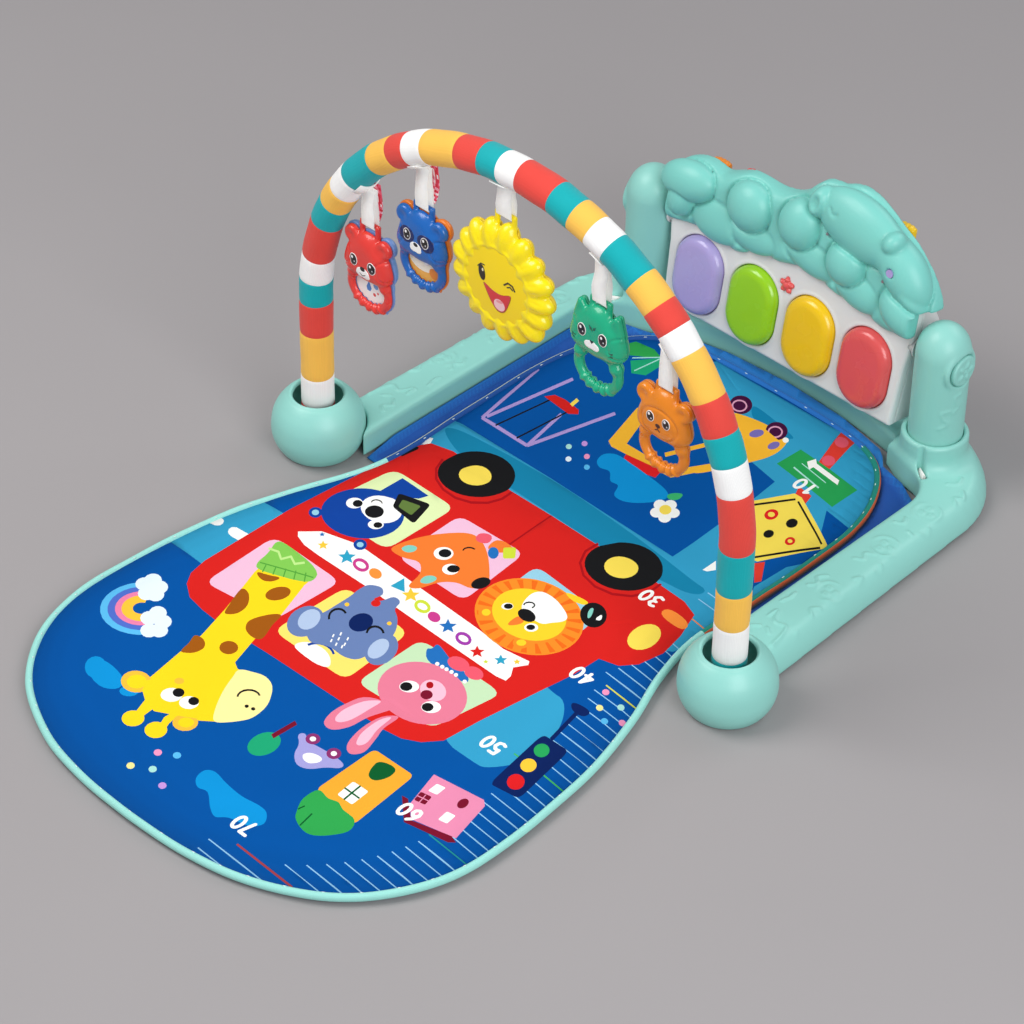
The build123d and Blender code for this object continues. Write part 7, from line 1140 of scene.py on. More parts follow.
    ("grn", [164.1,-134.6,165.5,-136,166.5,-137.7,167,-139.5,167.1,-141.3,166.7,-143,165.9,-144.5,164.7,-145.5,163.2,-146,161.5,-146,159.8,-145.5,158.3,-144.5,156.9,-143.1,155.9,-141.5,155.4,-139.6,155.3,-137.8,155.7,-136.1,156.5,-134.6,157.7,-133.6,159.2,-133.1,160.9,-133.1,162.6,-133.6]),
    ("yel2", [168.2,-152.1,169.5,-153.4,170.5,-155.1,171,-157,171.1,-158.8,170.7,-160.6,169.8,-162,168.6,-163.1,167.1,-163.7,165.4,-163.7,163.7,-163.2,162.2,-162.3,160.8,-160.9,159.9,-159.2,159.3,-157.3,159.2,-155.5,159.7,-153.7,160.5,-152.3,161.7,-151.2,163.3,-150.6,164.9,-150.6,166.6,-151.1]),
    ("red2", [173.7,-169.9,175.2,-171.5,176.3,-173.4,177,-175.4,177.1,-177.5,176.7,-179.4,175.7,-181,174.4,-182.1,172.7,-182.7,170.8,-182.7,168.9,-182.1,167.1,-181,165.6,-179.4,164.5,-177.5,163.8,-175.5,163.7,-173.4,164.1,-171.5,165,-169.9,166.4,-168.8,168.1,-168.2,170,-168.2,171.9,-168.8]),
    ("pink2", [152.7,-59.8,153.7,-61.6,153.5,-63.4,152.3,-64.6,150.6,-64.7,148.9,-63.6,148,-61.9,148.2,-60.1,149.3,-58.9,151.1,-58.8]),
    ("yel3", [160.9,-75.1,161.8,-76.9,161.7,-78.7,160.5,-79.8,158.8,-79.9,157.1,-78.9,156.2,-77.2,156.3,-75.4,157.5,-74.2,159.3,-74.1]),
    ("mint3", [170.5,-62.9,171.4,-64.6,171.2,-66.4,170.1,-67.6,168.3,-67.7,166.7,-66.7,165.8,-64.9,165.9,-63.1,167.1,-61.9,168.8,-61.8]),
    ("rb1", [172.5,-82.3,173.4,-84,173.2,-85.8,172.1,-87,170.3,-87.1,168.7,-86.1,167.8,-84.4,167.9,-82.6,169.1,-81.4,170.8,-81.3]),
    ("pink2", [181.5,-73.2,182.4,-74.9,182.3,-76.7,181.1,-77.9,179.4,-78,177.8,-77,176.8,-75.3,177,-73.5,178.2,-72.3,179.9,-72.2]),
    ("swing", [-155.2,186.4,-140.7,107.1,-137.3,106.1,-151.8,185.3]),
    ("swing", [-123.7,193.7,-138.9,111.2,-135.5,109.1,-120.3,191.5]),
    ("swing", [-138.3,104.8,-87.3,102.8,-88.7,106.3,-139.7,108.3]),
    ("swing", [-86.4,104.1,-95.1,152.2,-98.4,153.2,-89.7,105]),
    ("swing", [-86.4,103.5,-65.4,181.6,-68.7,183.8,-89.6,105.6]),
    ("black", [-123.1,105.7,-114.7,163.2,-116.3,164.1,-124.7,106.6]),
    ("black", [-99.7,105.2,-94.5,157.3,-96,158.2,-101.3,106.1]),
    ("red", [-122.5,160.1,-117.8,167.3,-107.4,168.3,-90.6,165.9,-86.9,161.6,-93,156.5,-105.4,157.9]),
    ("hub", [-97.1,165.5,-98.5,174.6,-102.4,176,-101,166.8]),
    ("mint3", [-62.1,127.9,-61.1,126.2,-61.1,124.4,-62.1,123.4,-63.8,123.4,-65.5,124.5,-66.5,126.3,-66.5,128,-65.5,129.1,-63.8,129]),
    ("cloud", [-51.6,116.4,-50.6,114.6,-50.6,112.9,-51.6,111.9,-53.3,111.9,-55,113,-56,114.8,-56,116.5,-55,117.5,-53.3,117.5]),
    ("lav2", [-56,139.2,-54.9,137.5,-54.9,135.7,-56,134.7,-57.7,134.7,-59.3,135.8,-60.4,137.6,-60.4,139.4,-59.3,140.4,-57.7,140.4]),
    ("pink2", [-43.5,128.6,-42.5,126.8,-42.5,125.1,-43.6,124.1,-45.2,124.1,-46.9,125.2,-47.9,127,-47.9,128.7,-46.9,129.8,-45.2,129.7]),
    ("rb1", [-34.4,118.9,-33.4,117.1,-33.4,115.4,-34.4,114.4,-36.1,114.4,-37.7,115.5,-38.8,117.3,-38.8,119,-37.7,120,-36.1,120]),
    ("bush", [-111.9,247.9,-100.9,255.3,-91.5,263.7,-103.8,268.7,-122.9,267.8,-124.9,262]),
    ("treeg", [-106.1,242.8,-91.7,263.9,-84.2,254.1,-83.8,236.6,-93.9,230.6]),
    ("mint3", [-107.1,246.1,-91.5,263.7,-92.6,264.8,-108.2,247.2]),
    ("mint3", [-93.9,234.3,-90.6,262.9,-91.8,263.7,-95.1,235.1]),
    ("housey", [-57.6,195.8,-51.6,194.8,-46.7,156.4,-43.4,149.6]),
    ("housey", [-59.5,199,-46.7,153.1,-40.2,149.4,18.9,153.1,37,188.2,32.3,193.5,12.5,160.1,-34.2,160.5,-46.7,196.2,-48.2,215.7,-60.1,210.8]),
    ("deep", [-43.4,192.6,-34.8,163.3,3.5,167.8,1.8,176.3,-31.4,183.9]),
    ("housey", [-1.5,169.4,12.8,202.5,8.8,205.8,-5.5,172.7]),
    ("red2", [-25.6,150.4,8.2,154.7,10.5,144.7,-19.5,137.2]),
    ("cloudblue", [-35.8,128.3,-36.9,130.5,-37.7,133.1,-38.1,135.8,-37.8,138.1,-36.8,140.2,-35.1,142.2,-32.8,143.9,-30,145,-26.4,145.4,-22,145.2,-17.5,144.7,-13.2,144.3,-9.4,144.1,-5.9,143.8,-2.2,143.4,2.2,142.9,7.7,142.3,14.2,141.6,20.4,140.6,25.3,139.5,28.7,138.2,31.1,136.8,32.7,135,33.4,132.8,33.1,129.9,31.8,126.4,29.9,122.8,27.7,119.5,24.9,116.1,21.7,112.7,18.2,109.7,14.8,107.5,11.6,106.2,8.3,105.7,5.2,105.8,2.6,106.7,0.7,108.8,-0.6,112,-1.9,115.2,-3.3,117.4,-5.2,118,-7.2,117.6,-9.4,117.1,-11.5,117.5,-13.6,119.2,-15.7,121.7,-17.9,124.1,-20.1,125.6,-22.2,125.7,-24.4,124.9,-26.5,124.1,-28.5,123.8,-30.5,124.4,-32.5,125.3,-34.3,126.7]),
    ("leaf", [31.5,137.4,32.2,139.1,33.2,140.6,34.3,142,35.7,143.2,37.3,144.2,38.7,144.5,39.7,143.9,40.4,142.4,40.9,140.2,40.9,138.2,40.4,136.5,39.5,135,38.1,133.9,36.7,133.1,35.3,132.9,33.9,133.1,32.5,133.8,31.7,134.7,31.4,135.9]),
    ("white", [52.4,126.5,53.8,124.2,54.2,121.7,53.6,119.4,52,117.8,49.8,117.3,47.5,117.9,45.4,119.4,43.9,121.7,43.5,124.2,44.1,126.5,45.7,128.1,47.9,128.6,50.3,128.1]),
    ("white", [51.4,117.8,52.8,115.5,53.2,113,52.6,110.7,51.1,109.2,48.9,108.6,46.5,109.2,44.4,110.8,43,113,42.6,115.5,43.2,117.8,44.8,119.4,46.9,119.9,49.3,119.4]),
    ("white", [43,117.8,44.4,115.5,44.8,113,44.2,110.8,42.6,109.2,40.5,108.6,38.1,109.2,36,110.8,34.6,113,34.1,115.6,34.7,117.8,36.3,119.4,38.5,120,40.9,119.4]),
    ("white", [38.7,126.5,40.1,124.3,40.5,121.7,39.9,119.5,38.4,117.9,36.2,117.3,33.8,117.9,31.7,119.5,30.3,121.8,29.8,124.3,30.4,126.6,32,128.2,34.2,128.7,36.6,128.1]),
    ("white", [44.5,131.9,45.9,129.6,46.3,127.1,45.7,124.8,44.2,123.2,42,122.7,39.6,123.3,37.5,124.8,36.1,127.1,35.6,129.7,36.2,131.9,37.8,133.5,40,134.1,42.4,133.5]),
    ("hub", [45.4,124.8,46.6,122.9,47.2,120.8,46.9,118.8,46,117.2,44.4,116.3,42.5,116.1,40.5,116.8,38.8,118.1,37.5,120,37,122.1,37.2,124.2,38.2,125.8,39.7,126.7,41.7,126.8,43.6,126.2]),
    ("lightblue", [-59.6,294.5,70.9,295.5,88.1,293.6,110.1,290.1,135.9,265.7,159.8,215.9,163.4,159.5,165.5,79.8,144.5,87.6,84.9,134.5,80.3,178.7,78.7,206.6,35.5,215,-43.3,265.6]),
    ("deep", [55.7,206.8,78.7,206.6,81.1,177.9,55.2,184.4,40.5,201]),
    ("deep", [128.2,210,151.4,209,158.1,161.6,149.1,139.1,147.1,104.8,165.3,68.1,153.5,73.5,128.2,118.2,148.3,177.1]),
    ("ground2", [2.5,267.2,2.8,268.6,4.3,269.3,7.4,269.4,12.3,268.9,20.5,267.5,31.4,265.2,41.9,262.8,49.2,260.7,52.2,259.2,52.5,257.8,51.4,256.6,50.2,255.3,49.2,253.7,47.7,252,45.4,250.6,41.8,250.1,36.1,250.5,28.6,251.6,21.1,253.2,14.9,255.3,10.3,258,6.4,261.5,3.7,264.8]),
    ("lightblue", [-82.8,262.6,-59.6,294.5,-16,273.3,2.4,252.4,-38.9,250.1]),
    ("housey", [-2.3,249.9,-0.5,251,2.4,252.2,6.4,253.5,11.6,254.8,17.9,256.1,24.1,256.9,30,257.1,35.8,256.8,41.4,256,45.8,254.9,49.2,253.5,51.6,251.9,52.8,249.9,53.8,247.4,54.7,244.2,55.4,240.6,55.9,236.3,55.8,231.8,55.1,227.2,53.9,222.4,52,217.3,49.4,211,46,203.2,41.8,194,36.8,183.5,32.8,176,29.7,171.5,27.5,170,26.2,171.4,26.3,175.1,28,181.1,31,189.3,35.6,199.8,37.3,209.1,36.1,217.2,32,224.2,25.1,230,18.6,234.9,12.7,239,7.2,242.2,2.3,244.6,-0.9,246.7,-2.5,248.4]),
    ("white", [51.7,254.2,52.7,252.3,52.7,250.4,51.6,249.3,49.9,249.4,48.1,250.7,47.1,252.6,47.1,254.5,48.2,255.6,49.9,255.5]),
    ("plum2", [0.9,268.9,2.9,266.2,4.3,263.2,5,260.2,5,257.4,4.3,254.9,3,252.9,1,251.6,-1.3,251,-4,251.2,-6.8,252.1,-9.4,253.8,-11.8,256,-13.8,258.7,-15.2,261.7,-16,264.7,-16,267.5,-15.3,270,-13.9,272,-12,273.4,-9.6,274,-6.9,273.8,-4.2,272.8,-1.5,271.1]),
    ("pink3", [-0.9,265,0.8,262.5,1.7,259.6,1.6,256.9,0.6,254.7,-1.2,253.3,-3.5,252.9,-6.1,253.5,-8.6,255.1,-10.7,257.4,-12,260.2,-12.5,263,-11.9,265.5,-10.5,267.3,-8.4,268.3,-5.9,268.2,-3.3,267,-0.9,265,-1.8,264.1,-3.6,265.6,-5.6,266.4,-7.6,266.5,-9.2,265.7,-10.4,264.2,-10.8,262.3,-10.5,260.1,-9.6,258,-8,256.3,-6.1,255.1,-4.1,254.7,-2.2,255.1,-0.8,256.2,-0,257.9,0.1,260,-0.6,262.2,-1.8,264.1]),
    ("plum2", [43.2,262.7,45,260.1,46.3,257.3,47,254.4,47,251.7,46.3,249.3,45,247.4,43.2,246.1,40.9,245.6,38.4,245.7,35.8,246.6,33.2,248.2,31,250.4,29.1,253,27.8,255.8,27.1,258.7,27.1,261.4,27.8,263.8,29.1,265.7,30.9,267,33.2,267.6,35.8,267.4,38.4,266.5,40.9,264.9]),
    ("pink3", [41.4,259,43,256.5,43.9,253.8,43.8,251.2,42.8,249.1,41.1,247.7,38.9,247.3,36.4,247.9,34,249.4,32,251.6,30.8,254.3,30.4,257,30.9,259.4,32.3,261.2,34.3,262.1,36.7,262,39.2,260.9,41.4,259,40.5,258.1,38.9,259.5,37,260.3,35.1,260.3,33.5,259.6,32.5,258.2,32,256.3,32.2,254.2,33.2,252.2,34.6,250.6,36.4,249.5,38.3,249.1,40.1,249.4,41.4,250.5,42.2,252.2,42.3,254.2,41.7,256.2,40.5,258.1]),
    ("housey", [-2.5,247.4,5.5,249,29.2,251.8,51.7,247.2,49.3,228.8,17.6,235.3]),
    ("lilac", [31.1,248.1,32.2,246.7,32.8,244.8,32.9,242.6,32.4,240.4,31.5,238.4,30.1,237,28.6,236.2,27,236.2,25.6,237,24.5,238.4,23.9,240.4,23.8,242.6,24.2,244.8,25.2,246.7,26.5,248.1,28.1,248.9,29.6,248.9]),
    ("lilac", [49.3,245.9,50.4,244.8,51.3,243.1,51.7,241.1,51.7,238.9,51.3,237,50.4,235.5,49.3,234.5,48,234.3,46.8,234.7,45.7,235.9,44.8,237.6,44.4,239.6,44.4,241.7,44.8,243.7,45.7,245.2,46.8,246.2,48.1,246.4]),
    ("postred", [64,314.5,81.8,313,97.6,249.1,86,250]),
    ("pinkred", [84.4,288.2,86,285.7,86.8,282.9,86.6,280.3,85.5,278.4,83.6,277.3,81.2,277.3,78.7,278.3,76.5,280.3,74.9,282.8,74.2,285.6,74.4,288.2,75.5,290.1,77.4,291.2,79.7,291.2,82.2,290.2]),
    ("pinkred", [93.6,260.8,95,258.6,95.6,256.1,95.3,253.8,94.2,252,92.5,250.9,90.3,250.8,88.1,251.7,86.2,253.3,84.8,255.6,84.2,258,84.4,260.4,85.5,262.2,87.3,263.2,89.4,263.4,91.7,262.5]),
    ("pinkred", [78.5,312.9,79.9,310.6,80.5,308.1,80.3,305.8,79.3,304,77.6,303,75.5,303,73.3,303.9,71.3,305.7,69.9,307.9,69.2,310.4,69.4,312.7,70.5,314.5,72.2,315.5,74.3,315.5,76.5,314.6]),
    ("postred", [95.5,215.6,109.4,214.2,112.4,203.3,100.2,204.9]),
    ("green2", [65.9,252,128,246.9,128.3,216.3,64.9,224.6]),
    ("white", [79.6,243.6,81.9,251.5,86.4,247.3,111.6,244.4,114.2,239.2,87.4,241.9,87.1,236.9]),
    ("mint3", [77.2,229.9,107.1,224.7,106.6,226.4,76.7,231.6]),
    ("mint3", [78.3,238.4,106.7,233.8,106.5,234.8,78,239.4]),
    ("hub", [74,163.2,82.7,178.1,98.5,206.9,105.5,207.2,153.1,181.9,154.4,177.3,131.1,127,112.3,120]),
    ("black", [83.8,168.8,104.4,201.3,102.7,202.9,82,170.4]),
    ("black", [106.6,200.6,150,178,150.1,179.8,106.7,202.5]),
    ("black", [150.9,176,125.3,129.4,127,127.8,152.6,174.4]),
    ("red2", [104.8,180.5,106.3,178.9,107.2,176.8,107.6,174.6,107.4,172.4,106.7,170.5,105.4,169.2,103.8,168.5,102,168.7,100.4,169.6,98.9,171.2,98,173.3,97.5,175.6,97.7,177.8,98.5,179.7,99.8,181,101.4,181.6,103.2,181.4]),
    ("black", [121.9,183.5,123.1,182.1,123.9,180.4,124.3,178.5,124.1,176.6,123.4,175,122.3,173.9,121,173.3,119.5,173.5,118.1,174.3,116.9,175.6,116.1,177.4,115.7,179.3,115.9,181.2,116.6,182.8,117.6,183.9,119,184.4,120.5,184.3]),
    ("black", [117.7,160.7,118.7,159.5,119.4,158,119.7,156.3,119.6,154.7,119,153.3,118,152.3,116.8,151.8,115.5,151.9,114.3,152.6,113.2,153.8,112.5,155.3,112.2,157,112.4,158.6,112.9,160,113.9,161,115.1,161.5,116.4,161.4]),
    ("red2", [134,166.6,135.1,165.4,135.8,163.9,136.1,162.2,135.9,160.6,135.3,159.2,134.4,158.2,133.2,157.7,131.9,157.8,130.6,158.5,129.6,159.7,128.9,161.2,128.6,162.9,128.7,164.6,129.3,166,130.3,167,131.5,167.4,132.8,167.3]),
    ("hub", [104.5,177,105.3,175.6,105.3,174.1,104.6,172.8,103.4,172.1,101.9,172.3,100.7,173.1,99.9,174.5,99.9,176.1,100.6,177.3,101.8,178,103.3,177.9]),
    ("hub", [133.7,163.9,134.2,162.9,134.2,161.9,133.7,161,132.9,160.5,131.9,160.6,131,161.2,130.5,162.2,130.4,163.3,130.9,164.2,131.8,164.6,132.8,164.5]),
    ("postred", [130.6,123.6,134.9,130.9,146.8,113.3,144.4,107.9]),
    ("fold", [-72.3,317.4,-39.4,330.2,17.3,330.1,64.5,321.6,70.9,295.5,8,297.5,-59.6,294.5,-75,301]),
]



def stroke(shapes, col, pts, w, cap=True):
    for (ax, ay), (bx, by) in zip(pts[:-1], pts[1:]):
        l = math.hypot(bx - ax, by - ay) or 1.0
        nx, ny = -(by - ay) / l * w / 2, (bx - ax) / l * w / 2
        shapes.append((col, [(ax + nx, ay + ny), (bx + nx, by + ny), (bx - nx, by - ny), (ax - nx, ay - ny)]))
    if cap:
        for (ax, ay) in pts:
            shapes.append((col, [(ax + w / 2 * math.cos(k * math.pi / 4), ay + w / 2 * math.sin(k * math.pi / 4))
                                 for k in range(8)]))


def disc(cx, cy, rx, ry, n=20, turn=0.0):
    c, s = math.cos(math.radians(turn)), math.sin(math.radians(turn))
    out = []
    for k in range(n):
        a = 2 * math.pi * k / n
        u, v = rx * math.cos(a), ry * math.sin(a)
        out.append((cx + u * c - v * s, cy + u * s + v * c))
    return out


GLYPH = {
    "0": [[(0.5 + 0.36 * math.cos(a), 0.5 + 0.46 * math.sin(a)) for a in np.linspace(0, 2 * math.pi, 15)]],
    "1": [[(0.3, 0.8), (0.55, 0.96), (0.55, 0.04)]],
    "3": [[(0.18, 0.9), (0.5, 0.97), (0.8, 0.78), (0.62, 0.55), (0.4, 0.53), (0.65, 0.5), (0.84, 0.26), (0.5, 0.03),
           (0.15, 0.1)]],
    "4": [[(0.62, 0.03), (0.62, 0.96), (0.12, 0.32), (0.88, 0.32)]],
    "5": [[(0.8, 0.96), (0.26, 0.96), (0.22, 0.56), (0.55, 0.62), (0.84, 0.42), (0.76, 0.12), (0.45, 0.03), (0.16, 0.1)]],
    "6": [[(0.7, 0.96), (0.36, 0.72), (0.18, 0.35), (0.3, 0.08), (0.55, 0.03), (0.8, 0.16), (0.82, 0.38), (0.58, 0.55),
           (0.3, 0.46), (0.2, 0.34)]],
    "7": [[(0.15, 0.94), (0.85, 0.94), (0.45, 0.03)]],
}


def number(shapes, text, cx, cy, size):
    """Ruler number, read from the piano's side of the mat."""
    wd = size * 0.62
    for i, ch in enumerate(text):
        u0 = (i - len(text) / 2) * wd * 1.12
        for l in GLYPH[ch]:
            stroke(shapes, "white", [(cx - (u0 + u * wd), cy - (v - 0.5) * size) for (u, v) in l], size * 0.2)


def mat_shapes():
    shapes = []
    ticks_at = None
    for col, flat in PRINT:
        if ticks_at is None and col not in BACKDROP:
            ruler(shapes)
            ticks_at = len(shapes)
        pts = [(flat[i], flat[i + 1]) for i in range(0, len(flat), 2)]
        if len(pts) > 2:
            shapes.append((col, pts))
    for text, cx, cy in NUMBERS:
        number(shapes, text, cx, cy, 13.5)
    return shapes


BACKDROP = ("deep", "lightblue", "stripe", "ground2", "fold", "white")


def ruler(shapes):
    loop = [tuple(q) for q in MAT_OUT]

    def right_edge(y):
        xs = []
        for (ax, ay), (bx, by) in zip(loop, loop[1:] + loop[:1]):
            if (ay > y) != (by > y):
                xs.append(ax + (bx - ax) * (y - ay) / (by - ay))
        return max(xs) if xs else None

    for k in range(-5, 75):
        y = 343.8 - 10.0 * k
        e = right_edge(y)
        if e is None or k % 10 == 0:
            continue
        if y > 286 or (14 < y < 60):
            continue
        length = 37.0 if y < -40 else (30.0 if y < 20 else 26.0)
        if y < -355:
            length = min(62.0, e - 60)
        x0 = max(e - length, 4.0)
        stroke(shapes, "tick", [(x0, y), (e - 0.5, y)], 0.9, cap=False)
    for y, x0, x1, c, w in [(-356.2, 78, 133, "t70", 1.6), (-256.2, 165, 206, "t60", 1.2), (-156.2, 150, 204, "t50", 1.3),
                            (-56.2, 146, 184, "t40", 1.3), (43.8, 122, 156, "t30", 1.2), (243.8, 126, 144, "tickw", 5.5)]:
        stroke(shapes, c, [(x0, y), (x1, y)], w, cap=False)


NUMBERS = [("70", 68.0, -341.0), ("60", 140.0, -251.0), ("50", 133.0, -161.0), ("40", 127.0, -62.0),
           ("30", 103.0, 38.0), ("10", 98.0, 219.0)]


def cdt(polys, extra=(), eps=0.02):
    vs, fs = [], []
    for p in polys:
        i = len(vs)
        vs += [Vector((float(x), float(y))) for (x, y) in p]
        a = sum(p[k - 1][0] * p[k][1] - p[k][0] * p[k - 1][1] for k in range(len(p)))
        idx = list(range(i, i + len(p)))
        fs.append(idx if a > 0 else idx[::-1])
    vs += [Vector((float(x), float(y))) for (x, y) in extra]
    ov, oe, of_, _, _, _ = delaunay_2d_cdt(vs, [], fs, 0, eps, False)
    v = np.array([(q.x, q.y) for q in ov])
    f = [list(t) for t in of_]
    f = [t for t in f if abs(sum(v[t[k - 1], 0] * v[t[k], 1] - v[t[k], 0] * v[t[k - 1], 1] for k in range(len(t)))) > 1e-5]
    return v, f


def covers(poly, c):
    """Which of the points c lie inside a polygon."""
    p = np.asarray(poly, float)
    lo, hi = p.min(0), p.max(0)
    out = np.zeros(len(c), bool)
    near = np.nonzero((c[:, 0] >= lo[0]) & (c[:, 0] <= hi[0]) & (c[:, 1] >= lo[1]) & (c[:, 1] <= hi[1]))[0]
    if not len(near):
        return out
    x, y = c[near, 0], c[near, 1]
    inside = np.zeros(len(near), bool)
    for (ax, ay), (bx, by) in zip(p, np.roll(p, -1, 0)):
        if ay != by:
            inside ^= ((ay > y) != (by > y)) & (x < (bx - ax) * (y - ay) / (by - ay) + ax)
    out[near] = inside
    return out


def centres(v, f):
    return np.array([[sum(v[i][0] for i in t) / len(t), sum(v[i][1] for i in t) / len(t)] for t in f])


def painted(v, f, polys):
    """Index of the last polygon over each face, -1 where there is none."""
    c = centres(v, f)
    top = np.full(len(f), -1)
    for k, p in enumerate(polys):
        top[covers(p, c)] = k
    return top


def simulated_pad():
    """Padded mat as cloth: a closed pad blown up a little, its edge held by the binding. Returns a lookup of the top."""
    loop = mat_loop(7.0, 4)
    xs = np.arange(-205, 206, 9.0)
    ys = np.arange(-385, 300, 9.0)
    gx, gy = np.meshgrid(xs, ys, indexing="ij")
    d = -poly_sd(gx, gy, [tuple(q) for q in loop])
    pts = [(float(a), float(b)) for a, b in zip(gx[d > 5], gy[d > 5])]
    v2, f2 = cdt([[tuple(q) for q in loop]], pts)
    inside = covers(loop, centres(v2, f2))
    f2 = [t for t, k in zip(f2, inside) if k]
    n = len(v2)
    dd = -poly_sd(v2[:, 0], v2[:, 1], [tuple(q) for q in loop])
    rim = dd < 0.5
    top = np.concatenate([v2, np.full((n, 1), 8.0)], 1)
    top[rim, 2] = 4.5
    bot = np.concatenate([v2, np.full((n, 1), 1.0)], 1)
    bot_index = np.where(rim, np.arange(n), n + np.arange(n))
    faces = [list(f) for f in f2] + [[int(bot_index[i]) for i in reversed(f)] for f in f2]
    me = bpy.data.meshes.new("pad_cloth")
    me.from_pydata((np.concatenate([top, bot]) * 0.001).tolist(), [], faces)
    o = bpy.data.objects.new("pad_cloth", me)
    bpy.context.collection.objects.link(o)
    # the binding, the underside and two stitched lines don't move
    y_seam = (np.abs(v2[:, 1] - 62.0) < 5.0) | (np.abs(v2[:, 1] + 118.0) < 0.1)
    pin = [int(i) for i in np.nonzero(rim)[0]] + [int(n + i) for i in range(n)] + [int(i) for i in np.nonzero(y_seam)[0]]
    g = o.vertex_groups.new(name="pin")
    g.add(pin, 1.0, "REPLACE")
    md = o.modifiers.new("cloth", "CLOTH")
    st = md.settings
    st.quality = 5
    st.mass = 0.15
    st.tension_stiffness = 12
    st.compression_stiffness = 6
    st.bending_stiffness = 0.6
    st.use_pressure = True
    st.uniform_pressure_force = 4.0
    st.vertex_group_mass = "pin"
    st.effector_weights.gravity = 0.0
    scene.frame_start, scene.frame_end = 1, 20
    md.point_cache.frame_start, md.point_cache.frame_end = 1, 20
    for fr in range(1, 16):
        scene.frame_set(fr)
    dg = bpy.context.evaluated_depsgraph_get()
    ev = o.evaluated_get(dg).to_mesh()
    co = np.zeros(len(ev.vertices) * 3)
    ev.vertices.foreach_get("co", co)
    co = co.reshape(-1, 3)[:n] * 1000.0
    o.evaluated_get(dg).to_mesh_clear()
    rise = np.clip(co[:, 2] - top[:, 2], 0.0, None)
    if rise.max() > 0.01:
        rise = 4.2 * np.tanh(rise / max(np.percentile(rise, 70), 0.3))
    scene.frame_set(1)
    bpy.data.objects.remove(o)
    # gridded and softened
    gz = np.zeros((len(xs), len(ys)))
    num = np.zeros_like(gz)
    ii = np.clip(np.round((v2[:, 0] + 205) / 9.0).astype(int), 0, len(xs) - 1)
    jj = np.clip(np.round((v2[:, 1] + 385) / 9.0).astype(int), 0, len(ys) - 1)
    np.add.at(gz, (ii, jj), rise)
    np.add.at(num, (ii, jj), 1.0)
    gz = np.where(num > 0, gz / np.maximum(num, 1), 0)
    for _ in range(3):
        p = np.pad(gz, 1, mode="edge")
        gz = (p[:-2, 1:-1] + p[2:, 1:-1] + p[1:-1, :-2] + p[1:-1, 2:] + 2 * gz) / 6.0
    return xs, ys, gz


PAD = None
PAD = simulated_pad()


def sample_grid(xs, ys, gz, x, y):
    u = np.clip((x - xs[0]) / (xs[1] - xs[0]), 0, len(xs) - 1.001)
    v = np.clip((y - ys[0]) / (ys[1] - ys[0]), 0, len(ys) - 1.001)
    i, j = u.astype(int), v.astype(int)
    a, b = u - i, v - j
    return (gz[i, j] * (1 - a) * (1 - b) + gz[i + 1, j] * a * (1 - b) + gz[i, j + 1] * (1 - a) * b + gz[i + 1, j + 1] * a * b)


def mat_height(x, y):
    d = np.maximum(edge_dist(x, y), 0)
    z = 6.2 + 3.9 * (1 - np.exp(-d / 12.0))
    if PAD is not None:
        z = z + 0.55 * sample_grid(*PAD, x, y) * np.clip(d / 22.0, 0, 1)
    else:
        z = z + 1.6 * np.clip(d / 40.0, 0, 1)
    z = z + 0.35 * np.sin(x / 37.0 + 1.3 * np.sin(y / 61.0)) * np.clip(d / 30.0, 0, 1)
    # soft fold behind the bus, where the mat bends over its stitched line
    f = y - (16.0 + 0.06 * x)
    z = z - 0.9 * np.exp(-((f - 44.0) / 5.0) ** 2)
    return z


